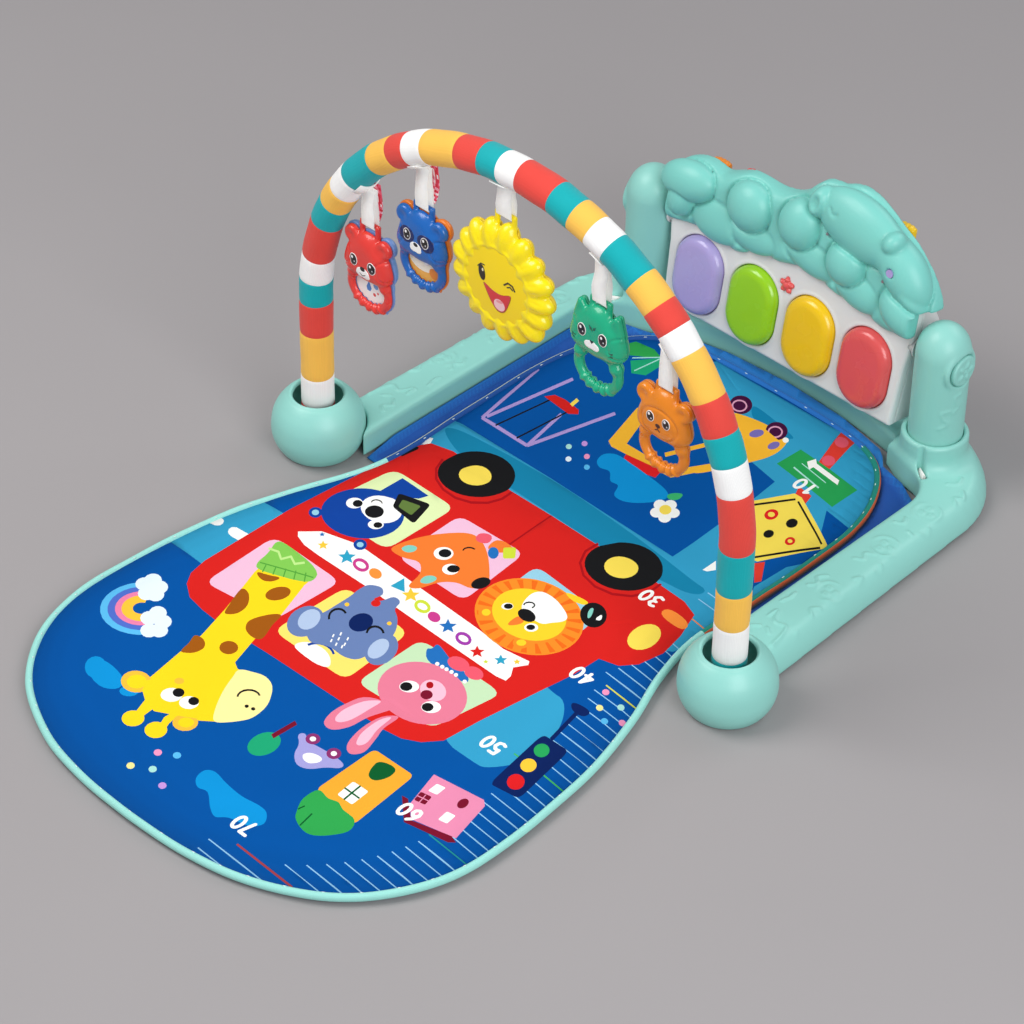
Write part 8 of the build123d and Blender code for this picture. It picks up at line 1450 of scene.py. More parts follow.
def build_mat():
    shapes = mat_shapes()
    loop = [tuple(q) for q in MAT_OUT]
    step = 6.0
    gx, gy = np.meshgrid(np.arange(-212, 213, step), np.arange(-392, 306, step), indexing="ij")
    gx = gx + (np.arange(gx.shape[1]) % 2)[None] * step * 0.5
    d = edge_dist(gx, gy)
    extra = list(zip(gx[d > 3].tolist(), gy[d > 3].tolist()))
    for ins in (2.5, 6.0, 10.5, 16.0, 23.0):
        extra += [tuple(q) for q in mat_loop(5.2 + ins, 6)]
    v2, tris = cdt([loop] + [s[1] for s in shapes], extra)
    inside = covers(loop, centres(v2, tris))
    tris = [t for t, k in zip(tris, inside) if k]
    top = painted(v2, tris, [s[1] for s in shapes])
    used = sorted({i for t in tris for i in t})
    mp = {a: k for k, a in enumerate(used)}
    v2 = v2[used]
    tris = [[mp[i] for i in t] for t in tris]
    cols = [lin(PCOL["deep"]) if k < 0 else lin(PCOL[shapes[k][0]]) for k in top]
    z = mat_height(v2[:, 0], v2[:, 1])
    ed = edge_dist(v2[:, 0], v2[:, 1])
    # painted shade: the print colour darkens towards the mat's edge, where the padded top rolls down
    edge_shade = 1.0 - 0.30 * np.exp(-np.maximum(ed, 0) / 13.0)
    verts = np.concatenate([v2, z[:, None]], 1)
    # boundary loop
    count = {}
    for t in tris:
        for a, b in zip(t, t[1:] + t[:1]):
            count[(a, b)] = 1
    nxt = {a: b for (a, b) in count if (b, a) not in count}
    start = min(nxt)
    ring = [start]
    while nxt[ring[-1]] != start and len(ring) < len(nxt) + 1:
        ring.append(nxt[ring[-1]])
    n = len(verts)
    ra = verts[ring]
    cen = np.array([0.0, -40.0])
    low = ra.copy()
    low[:, :2] = cen + (ra[:, :2] - cen) * 0.997
    low[:, 2] = 0.4
    m = len(ring)
    verts = np.concatenate([verts, low])
    side = [[ring[(i + 1) % m], ring[i], n + i, n + (i + 1) % m] for i in range(m)]
    bottom = [[n + i for i in range(m)][::-1]]
    faces = tris + side + bottom
    me_mats = [MAT_PRINT, MAT_BACK]
    o = new_object("mat_printed_pad", verts, faces, "mat", None, ["mat_pad"], "mat_print",
                   mats=me_mats, mat_index=[0] * len(tris) + [1] * (len(side) + 1))
    me = o.data
    a = me.attributes.new("Col", "FLOAT_COLOR", "CORNER")
    dk = np.concatenate([edge_shade, np.ones(m)])
    buf = []
    allc = cols + [lin(PCOL["deep"])] * (len(side) + 1)
    li = np.zeros(len(me.loops), np.int32)
    me.loops.foreach_get("vertex_index", li)
    fi = np.concatenate([np.full(len(f), k) for k, f in enumerate(faces)])
    ca = np.array(allc, np.float32)[fi]
    # multiply the painted edge shade into each corner's colour
    ca[:, :3] *= dk[li][:, None]
    a.data.foreach_set("color", ca.astype(np.float32).ravel())
    return o


build_mat()


def tube(path, normals, section, closed):
    """Sweep section (offsets along the normal and z) along a flat path."""
    n, m = len(path), len(section)
    v = []
    for p, q in zip(path, normals):
        for (a, b) in section:
            v.append((p[0] + q[0] * a, p[1] + q[1] * a, p[2] + b))
    f = []
    for i in range(n if closed else n - 1):
        for j in range(m):
            a, b = i * m + j, ((i + 1) % n) * m + j
            c, d = i * m + (j + 1) % m, ((i + 1) % n) * m + (j + 1) % m
            f.append((a, b, d, c))
    return np.array(v), f


def build_binding():
    p = mat_loop(4.4, 10)
    t = np.roll(p, -1, 0) - np.roll(p, 1, 0)
    t /= np.linalg.norm(t, axis=1)[:, None]
    out = np.stack([t[:, 1], -t[:, 0]], 1)
    m = 14
    s = np.cumsum(np.linalg.norm(np.roll(p, -1, 0) - p, axis=1))
    sec = [(2.9 * math.cos(2 * math.pi * k / m), 3.3 * math.sin(2 * math.pi * k / m)) for k in range(m)]
    path = np.concatenate([p, (5.2 + 0.25 * np.sin(s / 11.0))[:, None]], 1)
    v, f = tube(path, out, sec, True)
    cols = []
    for i in range(len(p)):
        x, y = p[i]
        for j in range(m):
            ang = (j + 0.5) / m * 360.0
            if y < 22:
                c = (158, 226, 216)
            elif x > 0 and y < 292:
                c = (232, 104, 54) if (ang < 42 or ang > 300) else (16, 136, 120)
            elif x < 0 and y < 292:
                c = (206, 214, 190) if 20 < ang < 70 else (22, 76, 150)
            else:
                c = (30, 110, 190)
            if y >= 22 and y < 34 and x > 0:
                c = (158, 226, 216)
            cols.append(lin(c))
    new_object("mat_edge_binding", v, f, "mat", BINDING, ["mat_binding"], "binding_mint", face_cols=cols)
    # binding stitches: short pale threads along the tape
    sv, sf = [], []
    step = 5
    for i in range(0, len(p), step):
        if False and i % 3:
            continue
        c = path[i]
        q = out[i]
        tt = t[i]
        for (du, dw) in ((1.3, 0.35),):
            base = np.array([c[0] - q[0] * 1.2, c[1] - q[1] * 1.2, c[2] + 3.05])
            quad = [base + np.array([tt[0] * a * du + q[0] * b * dw, tt[1] * a * du + q[1] * b * dw, zz])
                    for (a, b, zz) in ((-1, -1, 0), (1, -1, 0), (1, 1, 0), (-1, 1, 0), (0, 0, 0.32))]
            k = len(sv)
            sv += quad
            sf += [(k, k + 1, k + 4), (k + 1, k + 2, k + 4), (k + 2, k + 3, k + 4), (k + 3, k, k + 4),
                   (k + 3, k + 2, k + 1, k)]
    new_object("mat_edge_stitching", np.array(sv), sf, "mat", RIBBON, slot="ribbon_white",
               face_cols=[lin((226, 240, 236))] * len(sf))


build_binding()

SKIRT_HALF = [(173.4, 14), (173.4, 246), (165, 268), (146, 279), (122, 285), (114, 294), (106, 300), (60, 310), (0, 314)]


def build_skirt():
    outer = SKIRT_HALF + [(-x, y) for (x, y) in reversed(SKIRT_HALF[:-1])]
    fine = []
    for (a, b) in zip(outer, outer[1:] + outer[:1]):
        n = max(2, int(math.hypot(b[0] - a[0], b[1] - a[1]) / 5))
        for k in range(n):
            fine.append((a[0] + (b[0] - a[0]) * k / n, a[1] + (b[1] - a[1]) * k / n))
    inner = [tuple(q) for q in mat_loop(2.2, 6)]
    gx, gy = np.meshgrid(np.arange(-172, 173, 3.5), np.arange(16, 328, 4.0), indexing="ij")
    do = -poly_sd(gx, gy, fine)
    di = poly_sd(gx, gy, inner)
    ok = (do > 1.2) & (di > 1.2)
    v2, tris = cdt([fine, inner], list(zip(gx[ok].tolist(), gy[ok].tolist())))
    cc = centres(v2, tris)
    sel = covers(fine, cc) & ~covers(inner, cc)
    tris = [t for t, k in zip(tris, sel) if k]
    used = sorted({i for t in tris for i in t})
    mp = {a: k for k, a in enumerate(used)}
    v2 = v2[used]
    tris = [[mp[i] for i in t] for t in tris]
    do = np.maximum(-poly_sd(v2[:, 0], v2[:, 1], fine), 0)
    di = np.maximum(poly_sd(v2[:, 0], v2[:, 1], inner), 0)
    w = do / np.maximum(do + di, 1e-3)
    y = v2[:, 1]
    span = do + di
    z = 1.6 + 6.0 * np.exp(-(do / 3.2) ** 2) * np.clip((y - 14) / 30, 0, 1)
    z += 0.8 * np.sin(y / 9.0 + v2[:, 0] / 14.0) * np.clip(do / 4, 0, 1) * np.clip(di / 4, 0, 1)
    z += 1.6 * np.sin(np.clip(w, 0, 1) * math.pi) * np.clip((span - 8) / 12, 0, 1)
    n = len(v2)
    verts = np.concatenate([np.concatenate([v2, z[:, None]], 1), np.concatenate([v2, z[:, None] - 1.0], 1)])
    edges = {(a, b) for t in tris for a, b in zip(t, t[1:] + t[:1])}
    rim = [(a, b) for (a, b) in edges if (b, a) not in edges]
    faces = tris + [[n + i for i in reversed(t)] for t in tris] + [[b, a, n + a, n + b] for (a, b) in rim]
    # painted highlight: the cloth colour lightens towards the raised outer rim
    light = np.exp(-(do / 3.0) ** 2)
    cols = []
    for f in faces:
        k = float(np.mean([light[i % n] for i in f]))
        cx = float(np.mean([verts[i][0] for i in f]))
        cy = float(np.mean([verts[i][1] for i in f]))
        base = (24, 82, 168) if cy < 262 or abs(cx) > 120 else (40, 122, 196)
        rim_highlight_col = (30, 128, 208)
        cols.append(lin([base[i] * (1 - 0.75 * k) + rim_highlight_col[i] * 0.75 * k for i in range(3)]))
    new_object("mat_skirt_cloth", verts, faces, "mat", SKIRT, ["mat_skirt"], "skirt_blue", face_cols=cols)


build_skirt()


# ================================================================== straps through the frame corners
def strip(name, path, width, body, cols, slot, replaces=(), thick=0.8, wdir=(1, 0, 0), pattern=None, turn=None):
    """Woven strap along a path (mm), as a closed thin band. turn gives the width direction at each point."""
    p = np.array(catmull(path, 5, False)) if len(path) > 2 else np.array(path, float)
    n = len(p)
    tang = np.gradient(p, axis=0)
    tang /= np.linalg.norm(tang, axis=1)[:, None]
    w0 = np.array(wdir, float)
    across = 5 if pattern else 3
    v, f, c = [], [], []
    ang = np.interp(np.linspace(0, 1, n), np.linspace(0, 1, len(turn)), turn) if turn else np.zeros(n)
    for i in range(n):
        a = math.radians(ang[i])
        wd = w0 * math.cos(a) + np.cross(tang[i], w0) * math.sin(a)
        nn = np.cross(wd, tang[i])
        nn /= np.linalg.norm(nn) + 1e-9
        for k in range(across):
            u = (k / (across - 1) - 0.5) * width
            v.append(p[i] + wd * u + nn * thick / 2)
        for k in range(across):
            u = (0.5 - k / (across - 1)) * width
            v.append(p[i] + wd * u - nn * thick / 2)
    m = 2 * across
    r = np.random.default_rng(len(name) * 31 + 5)
    for i in range(n - 1):
        for j in range(m):
            f.append((i * m + j, i * m + (j + 1) % m, (i + 1) * m + (j + 1) % m, (i + 1) * m + j))
            c.append(lin(pattern[int(r.integers(len(pattern)))] if pattern else cols))
    f += [tuple(reversed(range(m))), tuple((n - 1) * m + k for k in range(m))]
    c += [lin(cols)] * 2
    return new_object(name, np.array(v), f, body, RIBBON, replaces, slot, face_cols=c)


ca, sa = math.cos(math.radians(30)), math.sin(math.radians(30))
for s, tag in ((1, "right"), (-1, "left")):
    cx, cy = s * 160.5, 283.5
    perp = np.array([s * sa, ca, 0])
    path = [np.array([cx, cy, 3.0]) + perp * 0.9, np.array([cx, cy, 14.0]) + perp * 0.9,
            np.array([cx, cy, 22.5]) + perp * 0.9, np.array([cx, cy, 25.0]), np.array([cx, cy, 22.5]) - perp * 0.9,
            np.array([cx, cy, 14.0]) - perp * 0.9, np.array([cx, cy, 3.0]) - perp * 0.9]
    strip("corner_strap_" + tag, path, 9.4, "base", (238, 238, 234), "ribbon_white",
          ["mat_corner_straps"] if s == 1 else (), wdir=(ca, -s * sa, 0), thick=0.7)

# ================================================================== arch
SR = 213.0
S_LEG = 107.0
S_TOTAL = 2 * S_LEG + math.pi * SR
STRIPES = [7.3, 33.9, 75.1, 104.1, 125.7, 148.6, 185.9, 209.5, 229.4, 249.5, 285.3, 309.6, 328.5, 349.0, 384.3, 407.2,
           425.8, 443.7, 474.9, 495.3, 512.9, 530.4, 560.0, 582.2, 600.8, 619.8, 654.0, 679.8, 702.9, 726.5, 773.4, 811.2,
           842.4, 872.9]
R_, W_, Y_, T_ = (230, 72, 62), (253, 252, 250), (255, 198, 84), (0, 172, 178)
STRIPE_COL = [R_, W_, Y_, R_, T_, W_, R_, T_, Y_, W_, T_, Y_, R_, W_, Y_, R_, T_, W_, R_, T_, Y_, W_, T_, Y_, R_, W_, Y_,
              R_, T_, W_, R_, T_, Y_, W_, T_]


def arch_point(s):
    """Centre and direction of the arch at length s from the left foot's sleeve end."""
    if s < S_LEG:
        return np.array([-SR, 0, 37 + s]), np.array([0, 0, 1.0])
    if s > S_LEG + math.pi * SR:
        return np.array([SR, 0, 144 - (s - S_LEG - math.pi * SR)]), np.array([0, 0, -1.0])
    a = math.pi - (s - S_LEG) / SR
    return np.array([SR * math.cos(a), 0, 144 + SR * math.sin(a)]), np.array([math.sin(a), 0, -math.cos(a)])


def build_sleeve():
    stations = sorted(set([round(q, 3) for q in np.arange(0, S_TOTAL, 2.6)] + STRIPES
                          + [q - 0.35 for q in STRIPES] + [q + 0.35 for q in STRIPES] + [S_TOTAL]))
    stations = [q for i, q in enumerate(stations) if i == 0 or q - stations[i - 1] > 0.12]
    m = 44
    v, f, c = [], [], []
    rng = np.random.default_rng(3)
    ph = rng.uniform(0, 6.28, 8)
    for s in stations:
        p, t = arch_point(s)
        n1 = np.array([0, 1.0, 0])
        n2 = np.cross(t, n1)
        seam = min(abs(s - b) for b in STRIPES)
        for k in range(m):
            a = 2 * math.pi * k / m
            bend = math.sin(math.pi * min(max((s - S_LEG) / (math.pi * SR), 0), 1))
            wr = (0.16 * math.sin(s / 5.1 + 2 * math.sin(a + ph[0]) + ph[1]) + 0.12 * math.sin(s / 9.3 + 3 * a + ph[2])
                  + 0.14 * math.sin(s / 17.0 + 2 * a + ph[3]))
            r = 13.0 + wr * (0.6 + 0.5 * bend) - 0.32 * math.exp(-(seam / 0.5) ** 2)
            end = min(s, S_TOTAL - s)
            r -= 0.9 * math.exp(-end / 1.5)
            v.append(p + r * (math.cos(a) * n1 + math.sin(a) * n2))
    ns = len(stations)
    for s in stations:
        p, t = arch_point(s)
        n1 = np.array([0, 1.0, 0])
        n2 = np.cross(t, n1)
        for k in range(m):
            a = 2 * math.pi * k / m
            v.append(p + 10.4 * (math.cos(a) * n1 + math.sin(a) * n2))
    N = ns * m

    def col_at(s):
        return STRIPE_COL[min(int(np.searchsorted(STRIPES, s)), len(STRIPE_COL) - 1)]

    for i in range(ns - 1):
        col = lin(col_at(0.5 * (stations[i] + stations[i + 1])))
        for k in range(m):
            a, b = i * m + k, i * m + (k + 1) % m
            f.append((a, b, b + m, a + m))
            c.append(col)
            f.append((N + a, N + a + m, N + b + m, N + b))
            c.append(lin((205, 200, 195)))
    for k in range(m):
        a, b = k, (k + 1) % m
        f.append((b, a, N + a, N + b))
        c.append(lin(STRIPE_COL[0]))
        a, b = (ns - 1) * m + k, (ns - 1) * m + (k + 1) % m
        f.append((a, b, N + b, N + a))
        c.append(lin(STRIPE_COL[-1]))
    new_object("arch_striped_sleeve", np.array(v), f, "arch", SLEEVE, ["arch_sleeve"], "sleeve_stripes", face_cols=c)


build_sleeve()

# ================================================================== toys
TOYS = {
    "red": dict(x=-153.0, eye_z=240.0, face=207.0, bottom=162.0, rx=23.5, rz=20.5),
    "blue": dict(x=-97.0, eye_z=284.0, face=254.0, bottom=211.0, rx=24.0, rz=20.5),
    "sun": dict(x=-15.5, eye_z=317.0, face=259.0, bottom=209.0),
    "green": dict(x=77.5, eye_z=290.0, face=260.0, bottom=211.0, rx=25.5, rz=21.0),
    "orange": dict(x=142.0, eye_z=250.0, face=221.0, bottom=175.0, rx=23.5, rz=20.0),
}


class Toy:
    def __init__(self, g, f):
        self.g, self.f = g, np.broadcast_to(f, g.shape)
        s = self.f < 0
        first = np.argmax(s, axis=1)
        hit = s.any(axis=1)
        i, k = np.meshgrid(np.arange(g.shape[0]), np.arange(g.shape[2]), indexing="ij")
        j = np.maximum(first, 1)
        a, b = self.f[i, j - 1, k], self.f[i, j, k]
        t = np.where(a > b, a / np.maximum(a - b, 1e-9), 0)
        self.front = np.where(hit, g.lo[1] + g.h * (j - 1 + np.clip(t, 0, 1)), 0.0)

    def y(self, x, z):
        g = self.g
        u = np.clip((x - g.lo[0]) / g.h, 0, g.shape[0] - 1.001)
        v = np.clip((z - g.lo[2]) / g.h, 0, g.shape[2] - 1.001)
        i, j = u.astype(int), v.astype(int)
        a, b = u - i, v - j
        F = self.front
        return F[i, j] * (1 - a) * (1 - b) + F[i + 1, j] * a * (1 - b) + F[i, j + 1] * (1 - a) * b + F[i + 1, j + 1] * a * b


def decal(name, toy, x0, z0, shapes, body, slot, lift=0.22, ybase=None):
    """Printed ink: thin closed patches that follow the toy's front."""
    polys = [[(x0 + x, z0 + z) for (x, z) in p] for _, p in shapes]
    lo = np.min([np.min(p, axis=0) for p in polys], axis=0)
    hi = np.max([np.max(p, axis=0) for p in polys], axis=0)
    gx, gz = np.meshgrid(np.arange(lo[0], hi[0], 1.1), np.arange(lo[1], hi[1], 1.1), indexing="ij")
    v2, tris = cdt(polys, list(zip(gx.ravel().tolist(), gz.ravel().tolist())), 0.005)
    top = painted(v2, tris, polys)
    cols = [lin(shapes[k][0]) for k in top if k >= 0]
    tris = [t for t, k in zip(tris, top) if k >= 0]
    used = sorted({i for t in tris for i in t})
    mp = {a: k for k, a in enumerate(used)}
    v2 = v2[used]
    tris = [[mp[i] for i in t] for t in tris]
    y = toy.y(v2[:, 0], v2[:, 1]) if ybase is None else np.full(len(v2), ybase)
    n = len(v2)
    top = np.stack([v2[:, 0], y - lift, v2[:, 1]], 1)
    bot = np.stack([v2[:, 0], y + 0.35, v2[:, 1]], 1)
    edges = {(a, b) for t in tris for a, b in zip(t, t[1:] + t[:1])}
    rim = [(a, b) for (a, b) in edges if (b, a) not in edges]
    rim.sort()
    rim_cols = []
    owner = {}
    for t, c in zip(tris, cols):
        for a, b in zip(t, t[1:] + t[:1]):
            owner[(a, b)] = c
    faces = tris + [[n + i for i in reversed(t)] for t in tris] + [[b, a, n + a, n + b] for (a, b) in rim]
    rim_cols = [owner[e] for e in rim]
    new_object(name, np.concatenate([top, bot]), faces, body, PAINT, (), slot, face_cols=cols + cols + rim_cols)


def eye_shapes(cx, cz, rx=3.7, rz=4.8, iris=(58, 42, 40)):
    return [((250, 248, 246), disc(cx, cz, rx + 0.45, rz + 0.5, 22)), (iris, disc(cx, cz, rx, rz, 20)),
            ((14, 12, 14), disc(cx + 0.2, cz + 0.2, rx * 0.74, rz * 0.76, 18)),
            ((255, 255, 255), disc(cx - 1.1, cz + 1.7, 1.05, 1.25, 12)),
            ((225, 225, 230), disc(cx + 1.1, cz - 1.5, 0.6, 0.7, 8))]


def build_rattle(name):
    t = TOYS[name]
    x0, zf = t["x"], t["face"]
    rc = t["bottom"] + 20.0
    h = grain(0.8)
    g = Grid((x0 - 30, -12, t["bottom"] - 3), (x0 + 30, 11.5, t["eye_z"] + 4), h)
    X, Y, Z = g.x - x0, g.y + 0.5, g.z
    zz = Z - zf
    ax = np.abs(X)
    # head: broad pillowed shape with cheeks
    low = np.where(zz < 0, 0.86, 1.0)
    e2 = (np.sqrt((X / t["rx"]) ** 2 + (zz / (t["rz"] * low)) ** 2) - 1) * t["rz"] * low
    cheek = np.hypot(ax - t["rx"] * 0.56, (zz + 5.6) * 1.1) - t["rz"] * 0.53
    head2 = smin(e2, cheek, 5.0)
    body = smax(head2, np.abs(Y) - 8.4, 11.0)
    # rounded crown that carries the eyelet
    body = smin(body, (np.sqrt((X / 12.0) ** 2 + ((zz - 16.5) / 8.8) ** 2 + (Y / 6.6) ** 2) - 1) * 6.6, 3.5)
    # ears
    if name == "green":
        tri = poly_sd(ax[:, :, 0], zz[:, 0, :][:1] + 0 * ax[:, :, 0], [(11, 12), (17.2, 21.8), (21.0, 9)])[:, None, :] - 2.9
        ear = smax(tri + 0 * Y, np.abs(Y) - 4.4, 3.5)
    else:
        er = {"red": 7.2, "blue": 7.8, "orange": 7.6}[name]
        ex = {"red": 16.5, "blue": 17.5, "orange": 18.0}[name]
        ez = {"red": 18.0, "blue": 15.5, "orange": 15.5}[name]
        q = np.hypot(ax - ex, zz - ez)
        ear = smax(q - er, np.abs(Y) - 5.2, 4.0)
        ear = ear + 1.4 * np.exp(-(q / (er * 0.5)) ** 2) * (Y < 0)
    body = smin(body, ear, 1.6)
    # grip ring with ribs underneath
    dz = Z - rc
    win = name in ("red", "blue")
    R = 16.4
    xs = X * (0.84 if win else 0.87)
    rho = np.hypot(xs, dz)
    ang = np.degrees(np.arctan2(dz, xs))
    under = np.clip((-ang - 42) / 8, 0, 1) * np.clip((ang + 138) / 8, 0, 1)
    rad = (3.3 if win else 3.6) + under * (0.55 + 0.75 * np.cos(np.radians((ang + 90) * 18)))
    ring = np.hypot(rho - R, Y) - rad
    body = smin(body, ring, 2.6)
    # knuckles where the ring meets the head
    body = smin(body, np.sqrt((ax - 17.0) ** 2 + (dz - 8.5) ** 2 + Y ** 2) - 5.4, 2.0)
    # shallow engraved outline round the muzzle
    if name in ("orange",):
        mask = np.abs(np.sqrt((X / 16.5) ** 2 + ((zz + 0.5) / 12.5) ** 2) - 1) * 12.5
        body = body + 0.9 * np.exp(-(mask / 0.9) ** 2) * (Y < 0)
    if name in ("red", "green", "blue"):
        for sgn in (1,):
            line = np.abs(np.hypot(ax - t["rx"] * 0.9, zz - 1.0) - 8.5)
            body = body + 0.6 * np.exp(-(line / 0.8) ** 2) * (Y < 0) * (ax > 12)
    full = body
    # eyelet: two lugs and a bar
    ez = t["eye_z"]
    lug = None
    for dx in (-8.2, 8.2):
        zt, zb = ez - 0.5, zf + 8.0
        zc = np.clip(Z, zb, zt)
        q = np.sqrt((X - dx) ** 2 + (g.y * 0.9) ** 2 + (Z - zc) ** 2) - 2.1
        lug = q if lug is None else np.minimum(lug, q)
    bar = np.maximum(np.hypot(g.y, Z - ez) - 1.7, ax - 8.2)
    front = smax(full, g.y + 0.05, 0.3)
    front = smin(front, lug, 1.2)
    front = np.minimum(front, bar)
    v, f = g.mesh(front)
    body_name = "toy_" + name
    new_object(name + "_rattle_front", v, f, body_name, TOYMAT[name], [name + "_front_shell"], "toy_" + name)
    grow = 1.1 if name in ("red", "blue") else 0.0
    rear = smax(full - grow, 0.15 - g.y, 0.3)
    rear = np.maximum(rear, -(lug - 0.3))
    if name in ("red", "blue"):
        plate = np.maximum(np.hypot(X * 0.84, dz) - 15.4, np.abs(g.y - 2.2) - 1.4)
        rear = np.minimum(rear, plate)
    v, f = g.mesh(rear)
    new_object(name + "_rattle_rear", v, f, body_name, REARMAT[name], [name + "_rear_shell"],
               "toy_lavender" if name == "red" else ("toy_orange" if name == "blue" else "toy_" + name))
    toy = Toy(g, np.minimum(front, 1e3))
    sh = []
    white = (250, 249, 247)
    if name == "red":
        sh += [(white, disc(0.5, -7.0, 6.6, 4.6, 22)), (white, disc(-2.6, -8.6, 4.0, 3.4, 16)), (white, disc(3.4, -8.6, 4.0, 3.4, 16))]
        sh += eye_shapes(-9.4, 1.0) + eye_shapes(9.4, 1.0)
        sh += [((30, 16, 20), disc(0.3, -3.6, 2.6, 1.9, 14))]
        lo = [(30, 16, 20)]
        st = []
        stroke(st, 0, [(-2.4, -8.0), (0.3, -9.6), (3.0, -8.0)], 0.8)
        sh += [((60, 30, 34), p) for _, p in st]
    if name == "blue":
        navy = (8, 30, 92)
        sh += [(navy, disc(-9.6, 4.6, 8.0, 6.6, 24, 18)), (navy, disc(9.6, 4.6, 8.0, 6.6, 24, -18))]
        sh += [(white, disc(0, -2.6, 5.6, 4.0, 20)), (white, disc(-2.4, -4.2, 3.4, 2.8, 14)), (white, disc(2.4, -4.2, 3.4, 2.8, 14))]
        sh += eye_shapes(-9.0, 5.0, 3.4, 4.4) + eye_shapes(9.0, 5.0, 3.4, 4.4)
        sh += [((10, 10, 20), disc(0, -0.4, 2.3, 1.7, 14))]
    if name == "green":
        dk = (8, 92, 74)
        sh += [(white, disc(-2.6, -5.0, 4.4, 3.2, 18)), (white, disc(2.6, -5.0, 4.4, 3.2, 18)), (white, disc(0, -3.6, 4.0, 3.0, 16))]
        sh += eye_shapes(-9.9, 4.6, 3.6, 4.8) + eye_shapes(9.9, 4.6, 3.6, 4.8)
        sh += [((12, 40, 40), [(-2.2, -0.6), (2.2, -0.6), (0, -3.2)])]
        sh += [(dk, [(-3.2, 11.8), (-0.6, 10.6), (0.2, 7.6), (-2.2, 9.0)]), (dk, [(3.4, 12.2), (1.0, 11.0), (0.8, 8.6), (2.6, 9.4)])]
        for sg in (1, -1):
            for zq in (-3.6, -6.4):
                sh += [(dk, [(sg * 15.5, zq), (sg * 19.5, zq + 1.4), (sg * 19.2, zq - 0.4)])]
    if name == "orange":
        sh += eye_shapes(-7.4, 3.6, 3.2, 4.0) + eye_shapes(7.4, 3.6, 3.2, 4.0)
        sh += [((60, 22, 10), disc(0, -1.4, 2.2, 1.7, 14))]
        st = []
        stroke(st, 0, [(0, -2.6), (0, -4.4), (-2.2, -5.6)], 0.8)
        stroke(st, 0, [(0, -4.4), (2.2, -5.6)], 0.8)
        sh += [((90, 40, 14), p) for _, p in st]
    decal(name + "_face_print", toy, x0, zf, sh, body_name, "toy_" + name)
    if name == "red":
        w = [(white, disc(0, 0, 17.4, 14.4, 34)), ((70, 130, 210), [(-5, -1), (-2.4, 5.0), (0.5, -1), (-1, -4), (-4, -4)]),
             ((120, 170, 230), disc(5.0, 3.0, 2.6, 2.6)), ((226, 80, 80), disc(3.5, -5.0, 1.6, 1.6, 10)),
             ((226, 80, 80), disc(7.2, -2.4, 1.1, 1.1, 10)), ((226, 80, 80), disc(-6.5, 5.2, 1.1, 1.1, 10))]
        decal("red_window_print", toy, x0, rc, w, body_name, "toy_red", 0.15, ybase=0.35)
    if name == "blue":
        w = [((250, 180, 76), disc(0, 0, 17.4, 14.4, 34)), ((252, 244, 226), disc(-2.4, 3.4, 13.6, 9.4, 28)),
             ((238, 136, 40), disc(9.5, -3.6, 4.6, 4.6, 16)), ((60, 70, 90), disc(-3.6, 4.0, 0.9, 1.4, 10)),
             ((60, 70, 90), disc(1.6, 2.6, 0.8, 1.1, 10))]
        decal("blue_window_print", toy, x0, rc, w, body_name, "toy_blue", 0.15, ybase=0.35)


for nm in ("red", "blue", "green", "orange"):
    build_rattle(nm)


